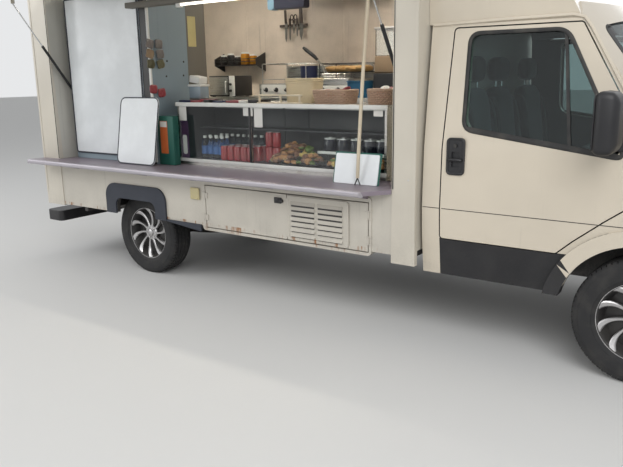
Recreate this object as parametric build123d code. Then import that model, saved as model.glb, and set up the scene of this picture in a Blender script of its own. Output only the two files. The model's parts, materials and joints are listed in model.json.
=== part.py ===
from build123d import *
from math import asin, degrees, hypot, radians, sin
import os

# Food truck: a catering box body on the chassis cab of a delivery van.
# Millimetres. +X points forward, +Y to the vehicle's left, +Z up.
# Everything is modelled from the front axle's centre on the ground; at the end the whole
# vehicle is moved so that the origin is the middle of its footprint.

# Wheels and running gear
WHEELBASE = 3750.0
TYRE_RADIUS = 336.0
TYRE_WIDTH = 205.0
RIM_RADIUS = 213.0
RIM_WIDTH = 165.0
FRONT_WHEEL_Y = 865.0
REAR_WHEEL_Y = 800.0
KINGPIN_Y = 690.0
STUB_RADIUS = 34.0
HUB_BORE_CLEARANCE = 0.4
RAIL_Y = 430.0
RAIL_WIDTH = 70.0
RAIL_BOTTOM = 400.0
RAIL_TOP = 540.0

# Cab
CAB_REAR = -1205.0
CAB_SILL = 430.0
CREASE_Z = 830.0
CREASE_Y = 987.0
BELT_Z = 1180.0
BELT_Y = 975.0
GUTTER_Z = 1850.0
GUTTER_Y = 900.0
CAB_ROOF = 1935.0
COWL_X = 270.0
COWL_Z = 1215.0
SCREEN_TOP_X = -262.0
SCREEN_TOP_Z = 1885.0
SCREEN_RADIUS = 3200.0
NOSE_X = 880.0
BONNET_FRONT_Z = 960.0
CAB_WALL = 40.0
DOOR_WALL = 62.0
GLASS = 5.0
SHUT_GAP = 7.0
DOOR_REAR = -1090.0
DOOR_FRONT = -60.0
DOOR_BOTTOM = 655.0
ARCH_RADIUS = 410.0
FLARE_RADIUS = 490.0
FLARE_Y = 1000.0

# Box body
BOX_FRONT = -1226.0
BOX_REAR = -4880.0
BOX_Y = 1030.0
BOX_WALL = 36.0
BOX_ROOF = 2650.0
FLOOR_TOP = 600.0
FLOOR_THICKNESS = 42.0
PANEL_BOTTOM = 520.0
PANEL_RECESS = 6.0
POST_BOTTOM = 470.0
FRONT_POST_WIDTH = 158.0
REAR_POST_WIDTH = 235.0
HEADER_BOTTOM = 2285.0
COUNTER_TOP = 920.0
COUNTER_THICKNESS = 26.0
COUNTER_REACH = 175.0
COUNTER_LIP_Y = BOX_Y + COUNTER_REACH
DISPLAY_SETBACK = 270.0
DISPLAY_Y = BOX_Y - DISPLAY_SETBACK
DISPLAY_DEPTH = 430.0
DISPLAY_TOP = 1400.0
SEAT_GAP = 0.3

# Hatch, hinged along the top of the serving opening and shown open
HATCH_THICKNESS = 28.0
HATCH_GAP = 8.0
HATCH_CLOSED_TURN = 90.0
STRUT_PIN_REACH = 310.0
STRUT_PIN_DROP = 92.0
STRUT_FOOT_Y = -800.0
STRUT_FOOT_Z = 1417.0
STRUT_TUBE_RADIUS = 11.0
STRUT_ROD_RADIUS = 5.0

# Rear door in the rear wall, and lockers under the counter
REAR_DOOR_HALF = 360.0
REAR_DOOR_TOP = 2430.0
LOCKER_BOTTOM = 510.0
LOCKER_TOP = 830.0
LOCKER_DOOR_THICKNESS = 24.0
LOCKER_DEPTH = 380.0
LOCKER_WALL = 11.7


# Smaller sizes and places shared by several pieces
PIN_CLEARANCE = 0.4
WHEEL_SPOKES = 10
GRILLE_BARS = 5
WELL_RADIUS = 455.0
WELL_SHEET = 8.0
WELL_CHEEK_Y = 520.0
CAB_FLOOR_TOP = 585.0
CHASSIS_FRONT = 620.0
CAB_MOUNT_X = (-1120.0, -480.0)
CROSS_MEMBER_HALF = 35.0
CROSS_MEMBER_X = (-560.0, -1500.0, -2700.0, -4400.0, -4760.0)
OUTRIGGER_X = (-1340.0, -3060.0, -4420.0)
BEARER_X = (-1330.0, -1950.0, -2600.0, -3250.0, -4260.0, -4780.0)
TOW_PLATE_X = -4852.0
TOW_PLATE_THICKNESS = 12.0
TOW_PLATE_HALF = 78.0
TOW_PLATE_Z = 476.0
TOW_BOLT_SPREAD = 83.0
TOW_BOLT_RISE = 56.0
TOW_BOLT_RADIUS = 6.5
TOW_EYE_X = 465.0
TOW_EYE_Z = 362.0
TOW_EYE_HALF = 8.0
TOW_EYE_RADIUS = 14.0
REAR_ARCH_REAR = -3930.0
REAR_ARCH_FRONT = -3462.0
REAR_ARCH_TOP = 645.0
WELL_HALF = 365.0
WELL_TOP = 745.0
WELL_INNER_Y = 640.0
LOCKER_REAR = -2923.0
LOCKER_FRONT = -1540.0
LOCKER_SPLIT = -2173.0
LOCKER_HINGE_STAND = 5.0
LOCKER_HINGE_Y = -BOX_Y - LOCKER_HINGE_STAND
LOUVRE_ROWS = 7
FAIRING_FRONT = -400.0
FAIRING_WALL = 24.0
COUNTER_REAR = -4862.0
COUNTER_FRONT = -1384.6
COUNTER_BRACKETS = (-4400.0, -3550.0, -3020.0, -2300.0, -1560.0)
BOARD_THICKNESS = 7.0
SMALL_BOARD_SETBACK = 46.0
SMALL_BOARD_Y = -BOX_Y + SMALL_BOARD_SETBACK
SMALL_BOARD_HEIGHT = 530.0
CARD_SETBACK = 68.0
DISPLAY_REAR = -3440.0
DISPLAY_FRONT = -1570.0
DISPLAY_DIVIDER = -2700.0
CABINET_REAR = -4595.0
CABINET_FRONT = -3580.0
CABINET_SETBACK = 150.0
CABINET_FACE_Y = BOX_Y - CABINET_SETBACK
WALL_SHELF_REAR = -4530.0
WALL_SHELF_FRONT = -3960.0
WALL_SHELF_Z = 1700.0
WALL_SHELF_DEPTH = 150.0
CABINET_BACK_Y = 480.0
CHASSIS_REAR = -4800.0
FLOOR_EDGE_X = -395.0
POLE_X = -1650.0
POLE_SETBACK = 46.0
POLE_Y = -BOX_Y + POLE_SETBACK
HINGE_Z = 2276.0
HINGE_PIN_RADIUS = 3.0
HINGE_KNUCKLE_RADIUS = 6.0
HINGE_LEAF = 3.8
HATCH_KNUCKLES = 5
STRUT_X = (-1415.0, -4614.0)
STRUT_EYE_HALF = 7.0
STRUT_BRACKET = 30.0
STRUT_LINING_Y = 740.0
REAR_HINGE_X = -4888.0
REAR_HINGE_Y = 363.5
DOOR_HINGE_X = -64.0
DOOR_HINGE_Y = 966.0
DOOR_HINGE_Z = (1000.0, 1125.0)
DOOR_HINGE_POCKET = 8.0
DOOR_HINGE_SWING = 23.0
FOOTWELL_FRONT = -300.0
BONNET_REAR_GAP = 12.0
BONNET_HINGE_X = 296.0
BONNET_HINGE_Y = 520.0
BONNET_HINGE_Z = 1198.0
BONNET_KNUCKLE = 6.0
STEERING_X = -470.0
STEERING_Y = 400.0
STEERING_Z = 1190.0
STEERING_RAKE = 35.0


def block(x0, x1, y0, y1, z0, z1):
    """A box between two opposite corners."""
    size = Box(abs(x1 - x0), abs(y1 - y0), abs(z1 - z0))
    return Pos((x0 + x1) / 2, (y0 + y1) / 2, (z0 + z1) / 2) * size


def outline(points, radius=0.0):
    """A closed flat outline through the points, its corners rounded where a radius is given."""
    face = Polygon(*points, align=None)
    return fillet(face.vertices(), radius) if radius else face


def side_prism(face, y0, y1):
    """A side-view outline (x, z) run across the vehicle from y0 to y1."""
    return extrude(Plane.XZ.offset(-max(y0, y1)) * face, amount=abs(y1 - y0), dir=(0, -1, 0))


def front_prism(face, x0, x1):
    """A front-view outline (y, z) run along the vehicle from x0 to x1."""
    return extrude(Plane.YZ.offset(min(x0, x1)) * face, amount=abs(x1 - x0), dir=(1, 0, 0))


def plan_prism(face, z0, z1):
    """A plan outline (x, y) run upwards from z0 to z1."""
    return extrude(Plane.XY.offset(min(z0, z1)) * face, amount=abs(z1 - z0), dir=(0, 0, 1))


def rod_between(start, end, radius):
    """A round bar from one point to another."""
    a, b = Vector(*start), Vector(*end)
    plane = Plane(origin=a, z_dir=(b - a).normalized())
    return extrude(plane * Circle(radius), amount=(b - a).length)


def across(x, z, y0, y1, radius):
    """A round bar across the vehicle."""
    return rod_between((x, min(y0, y1), z), (x, max(y0, y1), z), radius)


def solids_of(shape):
    return list(shape.solids())


def group(*shapes):
    """Separate solids kept in one node."""
    children = []
    for shape in shapes:
        children += solids_of(shape)
    return Compound(children=children)


# Cab surfaces

def cab_side_face(inset):
    """Side view of the wings, bonnet and doors below the cowl, in the (x, z) plane."""
    bottom = CAB_SILL - 200.0 if inset else CAB_SILL
    rear = CAB_REAR - 2 * inset - (1.0 if inset else 0.0)
    line = Polyline((COWL_X, COWL_Z), (rear, COWL_Z), (rear, bottom), (NOSE_X - 25.0, bottom),
                    (NOSE_X, 700.0), (NOSE_X - 22.0, BONNET_FRONT_Z - 40.0))
    nose = ThreePointArc((NOSE_X - 22.0, BONNET_FRONT_Z - 40.0), (NOSE_X - 45.0, BONNET_FRONT_Z + 5.0),
                         (NOSE_X - 110.0, BONNET_FRONT_Z + 40.0))
    bonnet = ThreePointArc((NOSE_X - 110.0, BONNET_FRONT_Z + 40.0), (540.0, 1124.0), (COWL_X, COWL_Z))
    face = make_face(line + nose + bonnet)
    return offset(face, -inset, kind=Kind.INTERSECTION) if inset else face


def cab_front_face(inset):
    """Front view of the cab, in the (y, z) plane: upright below the crease, leaning in above it."""
    bottom = CAB_SILL - 260.0 if inset else CAB_SILL - 1.0
    half = [(948.0, bottom), (CREASE_Y - 10.0, 655.0), (CREASE_Y, CREASE_Z), (BELT_Y, BELT_Z),
            (GUTTER_Y, GUTTER_Z), (GUTTER_Y - 95.0, CAB_ROOF)]
    points = half + [(-y, z) for y, z in reversed(half)]
    face = Polygon(*points, align=None)
    return offset(face, -inset, kind=Kind.INTERSECTION) if inset else face


def cab_plan_face(inset):
    """Plan view of the cab, in the (x, y) plane: straight sides and a bowed nose."""
    side, corner_x, corner_y = 1000.0, 790.0, 800.0
    right = Polyline((330.0, -side), (CAB_REAR - (60.0 if inset else 0.0), -side),
                     (CAB_REAR - (60.0 if inset else 0.0), side), (330.0, side))
    left_shoulder = ThreePointArc((330.0, side), (610.0, 940.0), (corner_x, corner_y))
    nose = ThreePointArc((corner_x, corner_y), (NOSE_X, 0.0), (corner_x, -corner_y))
    right_shoulder = ThreePointArc((corner_x, -corner_y), (610.0, -940.0), (330.0, -side))
    face = make_face(right + left_shoulder + nose + right_shoulder)
    return offset(face, -inset, kind=Kind.INTERSECTION) if inset else face


def greenhouse(inset):
    """The upper cab: a side-view trapezium cut by a screen that is bowed in plan."""
    slope = Vector(SCREEN_TOP_X - COWL_X, 0, SCREEN_TOP_Z - COWL_Z).normalized()
    top = CAB_ROOF - inset
    rear = CAB_REAR if not inset else CAB_REAR - 30.0
    run = (top - COWL_Z) * (SCREEN_TOP_X - COWL_X) / (SCREEN_TOP_Z - COWL_Z)
    ahead = 140.0
    points = [(rear, COWL_Z - 2 * inset), (COWL_X + ahead, COWL_Z - 2 * inset), (COWL_X + ahead + run,
              top), (rear, top)]
    upper = side_prism(outline(points), -1100.0, 1100.0)
    normal = Vector(-slope.Z, 0, slope.X)
    centre = Vector(COWL_X, 0, COWL_Z) + normal * SCREEN_RADIUS - slope * 500.0
    bow = extrude(Plane(origin=centre, z_dir=slope) * Circle(SCREEN_RADIUS - inset), amount=2000.0)
    return upper & bow


def cab_volume(inset):
    """The cab as a solid body, its whole skin moved in by the inset."""
    lower = side_prism(cab_side_face(inset), -1100.0, 1100.0)
    shape = lower + greenhouse(inset)
    shape &= front_prism(cab_front_face(inset), CAB_REAR - 60.0, NOSE_X + 50.0)
    return shape & plan_prism(cab_plan_face(inset), 0.0, CAB_ROOF + 100.0)


def door_face(grow=0.0):
    """Side view of a cab door, with its front edge swept round the wheel arch."""
    points = [(DOOR_REAR, DOOR_BOTTOM), (-430.0, DOOR_BOTTOM), (-350.0, 730.0), (-205.0, 850.0),
              (DOOR_FRONT, 960.0),
              (DOOR_FRONT, 1262.0), (-392.0, 1828.0), (DOOR_REAR + 25.0, 1828.0), (DOOR_REAR, BELT_Z)]
    face = fillet(Polygon(*points, align=None).vertices(), 18.0)
    return offset(face, grow) if grow else face


def window_face(grow=0.0):
    """Side view of the door window: its lower edge drops towards the front."""
    points = [(-977.0, 1800.0), (-977.0, 1282.0), (-128.0, 1164.0), (-462.0, 1800.0)]
    face = Polygon(*points, align=None)
    rear_low = face.vertices().sort_by(Axis.X)[:2].sort_by(Axis.Y)[0]
    face = fillet(rear_low, 85.0)
    sharp = [v for v in face.vertices() if v.Y > 1700.0 or v.X > -200.0]
    face = fillet(sharp, 38.0)
    return offset(face, grow) if grow else face


def arch_cut(side):
    """Space round a front wheel, open to the outside and below."""
    y0, y1 = side * 500.0, side * 1100.0
    return across(0.0, TYRE_RADIUS, y0, y1, ARCH_RADIUS) + block(-ARCH_RADIUS, ARCH_RADIUS, y0, y1, 0.0,
                                                                 TYRE_RADIUS)


def bonnet_face(grow=0.0):
    points = [(COWL_X + 20.0, -640.0), (COWL_X + 20.0, 640.0), (NOSE_X - 60.0, 560.0), (NOSE_X - 60.0,
              -560.0)]
    face = fillet(Polygon(*points, align=None).vertices(), 45.0)
    return offset(face, grow) if grow else face


def screen_face(inset=0.0):
    """The windscreen's outline seen square on: wide at the cowl, narrower at the roof."""
    length = hypot(SCREEN_TOP_X - COWL_X, SCREEN_TOP_Z - COWL_Z)
    points = [(-838.0, 25.0), (838.0, 25.0), (775.0, length - 18.0), (-775.0, length - 18.0)]
    face = fillet(Polygon(*points, align=None).vertices(), 55.0)
    return offset(face, -inset) if inset else face


def screen_prism(inset=0.0):
    slope = Vector(SCREEN_TOP_X - COWL_X, 0, SCREEN_TOP_Z - COWL_Z).normalized()
    plane = Plane(origin=Vector(COWL_X, 0, COWL_Z) + Vector(slope.Z, 0, -slope.X) * 60.0,
                  x_dir=(0, -1, 0), z_dir=Vector(-slope.Z, 0, slope.X))
    return extrude(plane * screen_face(inset), amount=330.0, dir=plane.z_dir)


def cab_pieces():
    """The cab shell, its two doors with their glass, the bonnet and the windscreen."""
    outer = cab_volume(0.0)
    skin = outer - cab_volume(CAB_WALL)
    thick = outer - cab_volume(DOOR_WALL)
    pane_skin = cab_volume(14.0) - cab_volume(14.0 + GLASS)
    nodes = {}
    shell = skin
    for side, name in ((1, "left"), (-1, "right")):
        y0, y1 = side * 700.0, side * 1100.0
        shell -= side_prism(door_face(SHUT_GAP), y0, y1)
        shell -= arch_cut(side)
        window = side_prism(window_face(), y0, y1)
        door = (thick & side_prism(door_face(), y0, y1)) - window
        nodes[f"cab_door_{name}"] = door
        nodes[f"door_glass_{name}"] = pane_skin & side_prism(window_face(-SEAT_GAP), y0, y1)
    shell -= plan_prism(bonnet_face(SHUT_GAP), 850.0, 1400.0)
    shell -= block(COWL_X + 20.0 - BONNET_REAR_GAP, COWL_X + 60.0, -640.0, 640.0, 1000.0, 1400.0)
    shell -= screen_prism()
    bonnet = skin & plan_prism(bonnet_face(), 930.0, 1400.0)
    nodes["bonnet"] = bonnet
    nodes["windscreen"] = (cab_volume(12.0) - cab_volume(12.0 + GLASS)) & screen_prism(SEAT_GAP)
    flares = []
    for side in (1, -1):
        ring = across(0.0, TYRE_RADIUS, side * 940.0, side * FLARE_Y, FLARE_RADIUS)
        ring -= across(0.0, TYRE_RADIUS, side * 900.0, side * 1100.0, ARCH_RADIUS)
        ring &= block(-FLARE_RADIUS, FLARE_RADIUS, side * 900.0, side * 1100.0, CAB_SILL, 900.0)
        flares.append(ring)
    for flare in flares:
        shell += flare
    shell -= block(-2000.0, NOSE_X - 8.0, -900.0, 900.0, CAB_SILL - 300.0, CAB_SILL + 4.0)
    nodes["cab_body"] = shell
    return nodes


# Hinges: a fixed pin, and a knuckle on the moving piece that turns on it

def pin_and_knuckle(centre, axis, length, pin_radius, knuckle_radius, ear=8.0, gap=1.0):
    """A hinge pin with an ear at each end, and the bored knuckle between the ears."""
    direction = Vector(*axis)
    middle = Vector(*centre)
    start = middle - direction * (length / 2)
    end = middle + direction * (length / 2)
    pin = rod_between(start - direction * (ear + gap), end + direction * (ear + gap), pin_radius)
    ears = [rod_between(start - direction * (ear + gap), start - direction * gap, knuckle_radius),
            rod_between(end + direction * gap, end + direction * (ear + gap), knuckle_radius)]
    knuckle = rod_between(start, end, knuckle_radius) - rod_between(start - direction, end + direction,
                                                                    pin_radius + PIN_CLEARANCE)
    return pin + ears[0] + ears[1], knuckle


# Wheels, axles and chassis

def wheel():
    """A tyre on a ten-spoke rim, its axle along Y and its outer face towards +Y, at the origin."""
    half_tyre, half_rim = TYRE_WIDTH / 2, RIM_WIDTH / 2
    bead = RIM_RADIUS - 4.0
    section = [(bead, -half_rim), (RIM_RADIUS + 14.0, -half_rim - 10.0), (TYRE_RADIUS - 62.0, -half_tyre),
               (TYRE_RADIUS - 22.0, -half_tyre + 7.0), (TYRE_RADIUS, -half_tyre + 26.0),
               (TYRE_RADIUS, half_tyre - 26.0), (TYRE_RADIUS - 22.0, half_tyre - 7.0),
               (TYRE_RADIUS - 62.0, half_tyre), (RIM_RADIUS + 14.0, half_rim + 10.0), (bead, half_rim),
               (bead - 14.0, half_rim - 14.0), (bead - 38.0, half_rim - 50.0), (bead - 38.0,
                                                                                14.0 - half_rim),
               (bead - 14.0, 8.0 - half_rim)]
    ring = revolve(Plane.XY * Polygon(*section, align=None), Axis.Y)
    inner = RIM_RADIUS - 30.0
    disc = [(STUB_RADIUS + HUB_BORE_CLEARANCE, -22.0), (82.0, -22.0), (82.0, 24.0), (inner, 34.0),
            (inner, 50.0),
            (88.0, 44.0), (70.0, 62.0), (0.0, 62.0), (0.0, 50.0), (STUB_RADIUS + HUB_BORE_CLEARANCE, 50.0)]
    centre = revolve(Plane.XY * Polygon(*disc, align=None), Axis.Y)
    slot = Polygon((94.0, -13.0), (inner - 10.0, -34.0), (inner - 10.0, 34.0), (94.0, 13.0), align=None)
    slot = fillet(slot.vertices(), 9.0)
    cutter = extrude(Plane.XZ.offset(-70.0) * slot, amount=60.0, dir=(0, -1, 0))
    for number in range(WHEEL_SPOKES):
        centre -= Rot(0, number * 360.0 / WHEEL_SPOKES, 0) * cutter
    return ring + centre


def wheel_pieces():
    """The four wheels; each stands on the ground with its outer face outwards."""
    left = wheel()
    right = mirror(left, about=Plane.XZ)
    nodes = {}
    for name, x, side_y, shape in (("wheel_front_left", 0.0, FRONT_WHEEL_Y, left),
                                   ("wheel_front_right", 0.0, -FRONT_WHEEL_Y, right),
                                   ("wheel_rear_left", -WHEELBASE, REAR_WHEEL_Y, left),
                                   ("wheel_rear_right", -WHEELBASE, -REAR_WHEEL_Y, right)):
        nodes[name] = Pos(x, side_y, TYRE_RADIUS) * shape
    return nodes


def knuckle_left():
    """Steering knuckle: an upright on the kingpin axis, a stub axle and a steering arm."""
    y, z = KINGPIN_Y, TYRE_RADIUS
    upright = rod_between((0, y, z - 95.0), (0, y, z + 110.0), 30.0)
    upright += block(-38.0, 38.0, y - 26.0, y + 34.0, z - 60.0, z + 60.0)
    stub = across(0.0, z, y, FRONT_WHEEL_Y + 44.0, STUB_RADIUS)
    disc = across(0.0, z, y + 34.0, y + 52.0, 135.0)
    arm = block(-150.0, 0.0, y - 22.0, y + 8.0, z - 88.0, z - 68.0)
    return upright + stub + disc + arm


def front_suspension():
    """Cross member, lower arms and spring struts; the knuckles turn between arm and strut."""
    y, z = KINGPIN_Y, TYRE_RADIUS
    beam = block(-110.0, 110.0, -RAIL_Y - 35.0, RAIL_Y + 35.0, 268.0, 335.0)
    for side in (1, -1):
        beam += block(-110.0, 110.0, side * (RAIL_Y - 35.0), side * (RAIL_Y + 35.0), 214.0,
                      RAIL_BOTTOM - SEAT_GAP)
    shape = beam
    for side in (1, -1):
        arm = Polygon((-105.0, side * (RAIL_Y + 20.0)), (105.0, side * (RAIL_Y + 20.0)), (24.0,
                      side * (y + 22.0)),
                      (-24.0, side * (y + 22.0)), align=None)
        shape += plan_prism(arm, z - 122.0, z - 95.0 - SEAT_GAP)
        tower = rod_between((0, side * y, z + 110.0 + SEAT_GAP), (0, side * y, 742.0), 27.0)
        tower += rod_between((0, side * y, z + 190.0), (0, side * y, z + 300.0), 44.0)
        tower += block(-40.0, 40.0, side * (RAIL_Y - 20.0), side * (y + 20.0), 700.0, 742.0)
        tower += block(-40.0, 40.0, side * (RAIL_Y - 30.0), side * (RAIL_Y + 30.0), RAIL_TOP + SEAT_GAP,
                       742.0)
        shape += tower
    return shape


def rear_axle():
    """Beam axle with its brake drums, stub ends and a leaf spring under each rail."""
    x, z = -WHEELBASE, TYRE_RADIUS
    half = REAR_WHEEL_Y + 44.0
    axle = across(x, z, -REAR_WHEEL_Y + 120.0, REAR_WHEEL_Y - 120.0, 42.0) + across(x, z, -half, half,
                                                                                    STUB_RADIUS)
    axle += Pos(x, 0, z) * Sphere(118.0)
    for side in (1, -1):
        axle += across(x, z, side * (REAR_WHEEL_Y - 105.0), side * (REAR_WHEEL_Y - 42.0), 128.0)
        y = side * RAIL_Y
        arc = ThreePointArc((x - 640.0, 372.0), (x, 300.0), (x + 640.0, 372.0))
        lower = ThreePointArc((x + 640.0, 356.0), (x, 276.0), (x - 640.0, 356.0))
        ends = Line((x - 640.0, 356.0), (x - 640.0, 372.0)) + Line((x + 640.0, 372.0), (x + 640.0, 356.0))
        axle += side_prism(make_face(arc + lower + ends), y - 32.0, y + 32.0)
        for end in (-640.0, 640.0):
            axle += block(x + end - 16.0, x + end + 16.0, y - 38.0, y + 38.0, 350.0, RAIL_BOTTOM - SEAT_GAP)
        axle += block(x - 55.0, x + 55.0, y - 40.0, y + 40.0, 266.0, z)
    return axle


def chassis_frame():
    """Two rails with cross members between them, outriggers outside them, a tow plate and a tow eye."""
    inner, outer = RAIL_Y - RAIL_WIDTH / 2, RAIL_Y + RAIL_WIDTH / 2
    pieces = []
    for side in (1, -1):
        pieces.append(block(CHASSIS_REAR, CHASSIS_FRONT, side * inner, side * outer, RAIL_BOTTOM, RAIL_TOP))
        for x in OUTRIGGER_X:
            pieces.append(block(x - 20.0, x + 20.0, side * outer, side * (BOX_Y - 60.0), RAIL_TOP - 70.0,
                                RAIL_TOP))
    for x in CROSS_MEMBER_X:
        pieces.append(block(x - CROSS_MEMBER_HALF, x + CROSS_MEMBER_HALF, -inner, inner, RAIL_BOTTOM + 20.0,
                            RAIL_TOP - 20.0))
    return group(*pieces, *tow_plate(), tow_eye())


def tow_plate():
    """Bored plate behind the last cross member, on two arms."""
    plate_front = TOW_PLATE_X + TOW_PLATE_THICKNESS
    z0, z1 = TOW_PLATE_Z - 42.0, TOW_PLATE_Z + 42.0
    plate = block(TOW_PLATE_X, plate_front, -TOW_PLATE_HALF, TOW_PLATE_HALF, z0, z1)
    arms = []
    for side in (1, -1):
        arms.append(block(plate_front, CROSS_MEMBER_X[-1] - CROSS_MEMBER_HALF,
                          side * (TOW_PLATE_HALF - 16.0),
                          side * TOW_PLATE_HALF, z0, z1))
        for z in (TOW_PLATE_Z - TOW_BOLT_RISE / 2, TOW_PLATE_Z + TOW_BOLT_RISE / 2):
            y = side * TOW_BOLT_SPREAD / 2
            plate -= rod_between((TOW_PLATE_X - 5.0, y, z), (plate_front + 5.0, y, z), TOW_BOLT_RADIUS)
    return [plate] + arms


def tow_eye():
    """Bored lug under the front end of the left rail, behind the bumper."""
    lug = block(TOW_EYE_X - 32.0, TOW_EYE_X + 32.0, RAIL_Y - TOW_EYE_HALF, RAIL_Y + TOW_EYE_HALF,
                TOW_EYE_Z - 30.0,
                RAIL_BOTTOM)
    return lug - across(TOW_EYE_X, TOW_EYE_Z, RAIL_Y - 20.0, RAIL_Y + 20.0, TOW_EYE_RADIUS)


def underbody_pieces():
    """Engine block, fuel tank and exhaust, which show from below."""
    engine = block(-230.0, 480.0, -300.0, 300.0, 345.0, 930.0)
    engine += block(150.0, 230.0, -RAIL_Y + RAIL_WIDTH / 2 + SEAT_GAP,
                    RAIL_Y - RAIL_WIDTH / 2 - SEAT_GAP, 430.0, 500.0)
    tank = block(-2220.0, -1480.0, 490.0, 820.0, 300.0, 520.0)
    tank = fillet(tank.edges().filter_by(Axis.X), 40.0)
    for x in (-2135.0, -1635.0):
        tank += block(x - 25.0, x + 25.0, RAIL_Y + RAIL_WIDTH / 2 + SEAT_GAP, 520.0, 420.0, 450.0)
    silencer = rod_between((-2350.0, 230.0, 330.0), (-1700.0, 230.0, 330.0), 95.0)
    pipe = rod_between((-1720.0, 230.0, 330.0), (-240.0, 230.0, 372.0), 26.0)
    tail = rod_between((-2330.0, 230.0, 330.0), (-3060.0, 230.0, 350.0), 26.0)
    hangers = block(-2520.0, -2490.0, 215.0, 395.0 - SEAT_GAP, 325.0, 365.0)
    hangers += block(-2000.0, -1960.0, 240.0, 395.0 - SEAT_GAP, 330.0, 440.0)
    exhaust = silencer + pipe + tail + hangers
    return {"engine_block": engine, "fuel_tank": tank, "exhaust": exhaust}


# Cab inside and front end

def cab_floor():
    """Pressed floor in three steps, a well over each front wheel, the bulkhead and four mounts."""
    wide, edge, front = 1000.0, FLOOR_EDGE_X, FOOTWELL_FRONT
    sheets = [block(CAB_REAR + 5.0, edge, -wide, wide, 560.0, CAB_FLOOR_TOP),
              block(edge - 20.0, edge, -wide, wide, CAB_FLOOR_TOP, 800.0),
              block(edge, front, -wide, wide, 780.0, 800.0),
              block(front - 20.0, front, -wide, wide, 800.0, 885.0)]
    wells = []
    for side in (1, -1):
        y0, y1 = side * WELL_CHEEK_Y, side * 938.0
        space = across(0.0, TYRE_RADIUS, y0, side * wide, WELL_RADIUS + WELL_SHEET)
        sheets = [sheet - space for sheet in sheets]
        well = across(0.0, TYRE_RADIUS, y0, y1, WELL_RADIUS + WELL_SHEET)
        well &= block(-WELL_RADIUS - 20.0, WELL_RADIUS + 20.0, y0, y1, TYRE_RADIUS + 100.0, 900.0)
        well -= across(0.0, TYRE_RADIUS, y0 + side * WELL_SHEET, side * wide, WELL_RADIUS)
        wells.append(well - block(-60.0, 60.0, side * 380.0, side * (KINGPIN_Y + 55.0), 690.0, 900.0))
    mounts = []
    for x in CAB_MOUNT_X:
        for side in (1, -1):
            mounts.append(rod_between((x, side * RAIL_Y, RAIL_TOP + SEAT_GAP), (x, side * RAIL_Y, 560.0),
                                      32.0))
    pieces = []
    for piece in sheets + wells:
        for side in (1, -1):
            piece -= block(CAB_REAR, front + 5.0, side * (CREASE_Y - DOOR_WALL - 20.0), side * wide,
                           DOOR_BOTTOM - 15.0,
                           1000.0)
        pieces.append(piece & cab_volume(CAB_WALL + SEAT_GAP))
    return group(*pieces, *mounts)


def front_bumper():
    """Bumper moulding round the nose, with the grille opening and its bars above it."""
    wrap = plan_prism(cab_plan_face(0.0), 290.0, 640.0) & block(ARCH_RADIUS + 92.0, 1000.0, -1000.0,
                                                                1000.0, 290.0, 640.0)
    grown = Pos(45.0, 0, 0) * wrap
    inner = Pos(-22.0, 0, 0) * plan_prism(cab_plan_face(26.0), 280.0, 645.0)
    shape = (grown - inner) & block(ARCH_RADIUS + 92.0, 1000.0, -985.0, 985.0, 290.0, 640.0)
    shape -= plan_prism(cab_plan_face(-1.0), CAB_SILL - SEAT_GAP, 700.0)
    intake = side_prism(outline([(800.0, 330.0), (1000.0, 330.0), (1000.0, 400.0), (800.0, 400.0)]),
                        -420.0, 420.0)
    return shape - intake


def lamps_and_grille(body_outer):
    """Grille panel and headlamps let into the nose."""
    band = body_outer - (Pos(-14.0, 0, 0) * body_outer)
    grille = band & block(700.0, 1000.0, -430.0, 430.0, 690.0, 905.0)
    for row in range(GRILLE_BARS):
        z = 712.0 + row * 38.0
        grille -= block(700.0, 1000.0, -405.0, 405.0, z, z + 20.0)
    lamps = []
    for side in (1, -1):
        face = Polygon((side * 520.0, 700.0), (side * 900.0, 716.0), (side * 930.0, 900.0),
                       (side * 560.0, 872.0), align=None)
        lamps.append(front_prism(fillet(face.vertices(), 25.0), 500.0, 1000.0))
    return grille, lamps


def seats():
    """Driver's seat and double passenger bench on their boxes."""
    shape = None
    for y0, y1 in ((240.0, 720.0), (-745.0, 120.0)):
        seat = block(-1080.0, -600.0, y0 + 30.0, y1 - 30.0, CAB_FLOOR_TOP + SEAT_GAP, 830.0)
        cushion = block(-1090.0, -570.0, y0, y1, 830.0, 950.0)
        back = side_prism(outline([(-1090.0, 930.0), (-980.0, 930.0), (-1055.0, 1500.0), (-1140.0,
                                   1500.0)], 20.0), y0, y1)
        shape = seat + cushion + back if shape is None else group(shape, seat + cushion + back)
        heads = ((y0 + y1) / 2,) if y1 - y0 < 600.0 else (y0 + 220.0, y1 - 220.0)
        for y in heads:
            rest = block(-1150.0, -1060.0, y - 125.0, y + 125.0, 1535.0, 1690.0)
            rest = fillet(rest.edges().filter_by(Axis.X), 40.0) + block(-1120.0, -1090.0, y - 40.0,
                                                                        y + 40.0, 1490.0, 1545.0)
            shape = shape + rest
    return shape


def dashboard():
    """Dashboard moulding from door to door, with the steering column."""
    face = outline([(-330.0 + 34.0, 960.0), (-296.0, 1160.0 + 30.0), (120.0, 1195.0), (-120.0, 1230.0),
                    (-430.0, 1180.0),
                    (-470.0, 1080.0), (-420.0, 920.0), (-330.0, 900.0)])
    return side_prism(face, -850.0, 850.0) & cab_volume(CAB_WALL + SEAT_GAP)


# Box body

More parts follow.
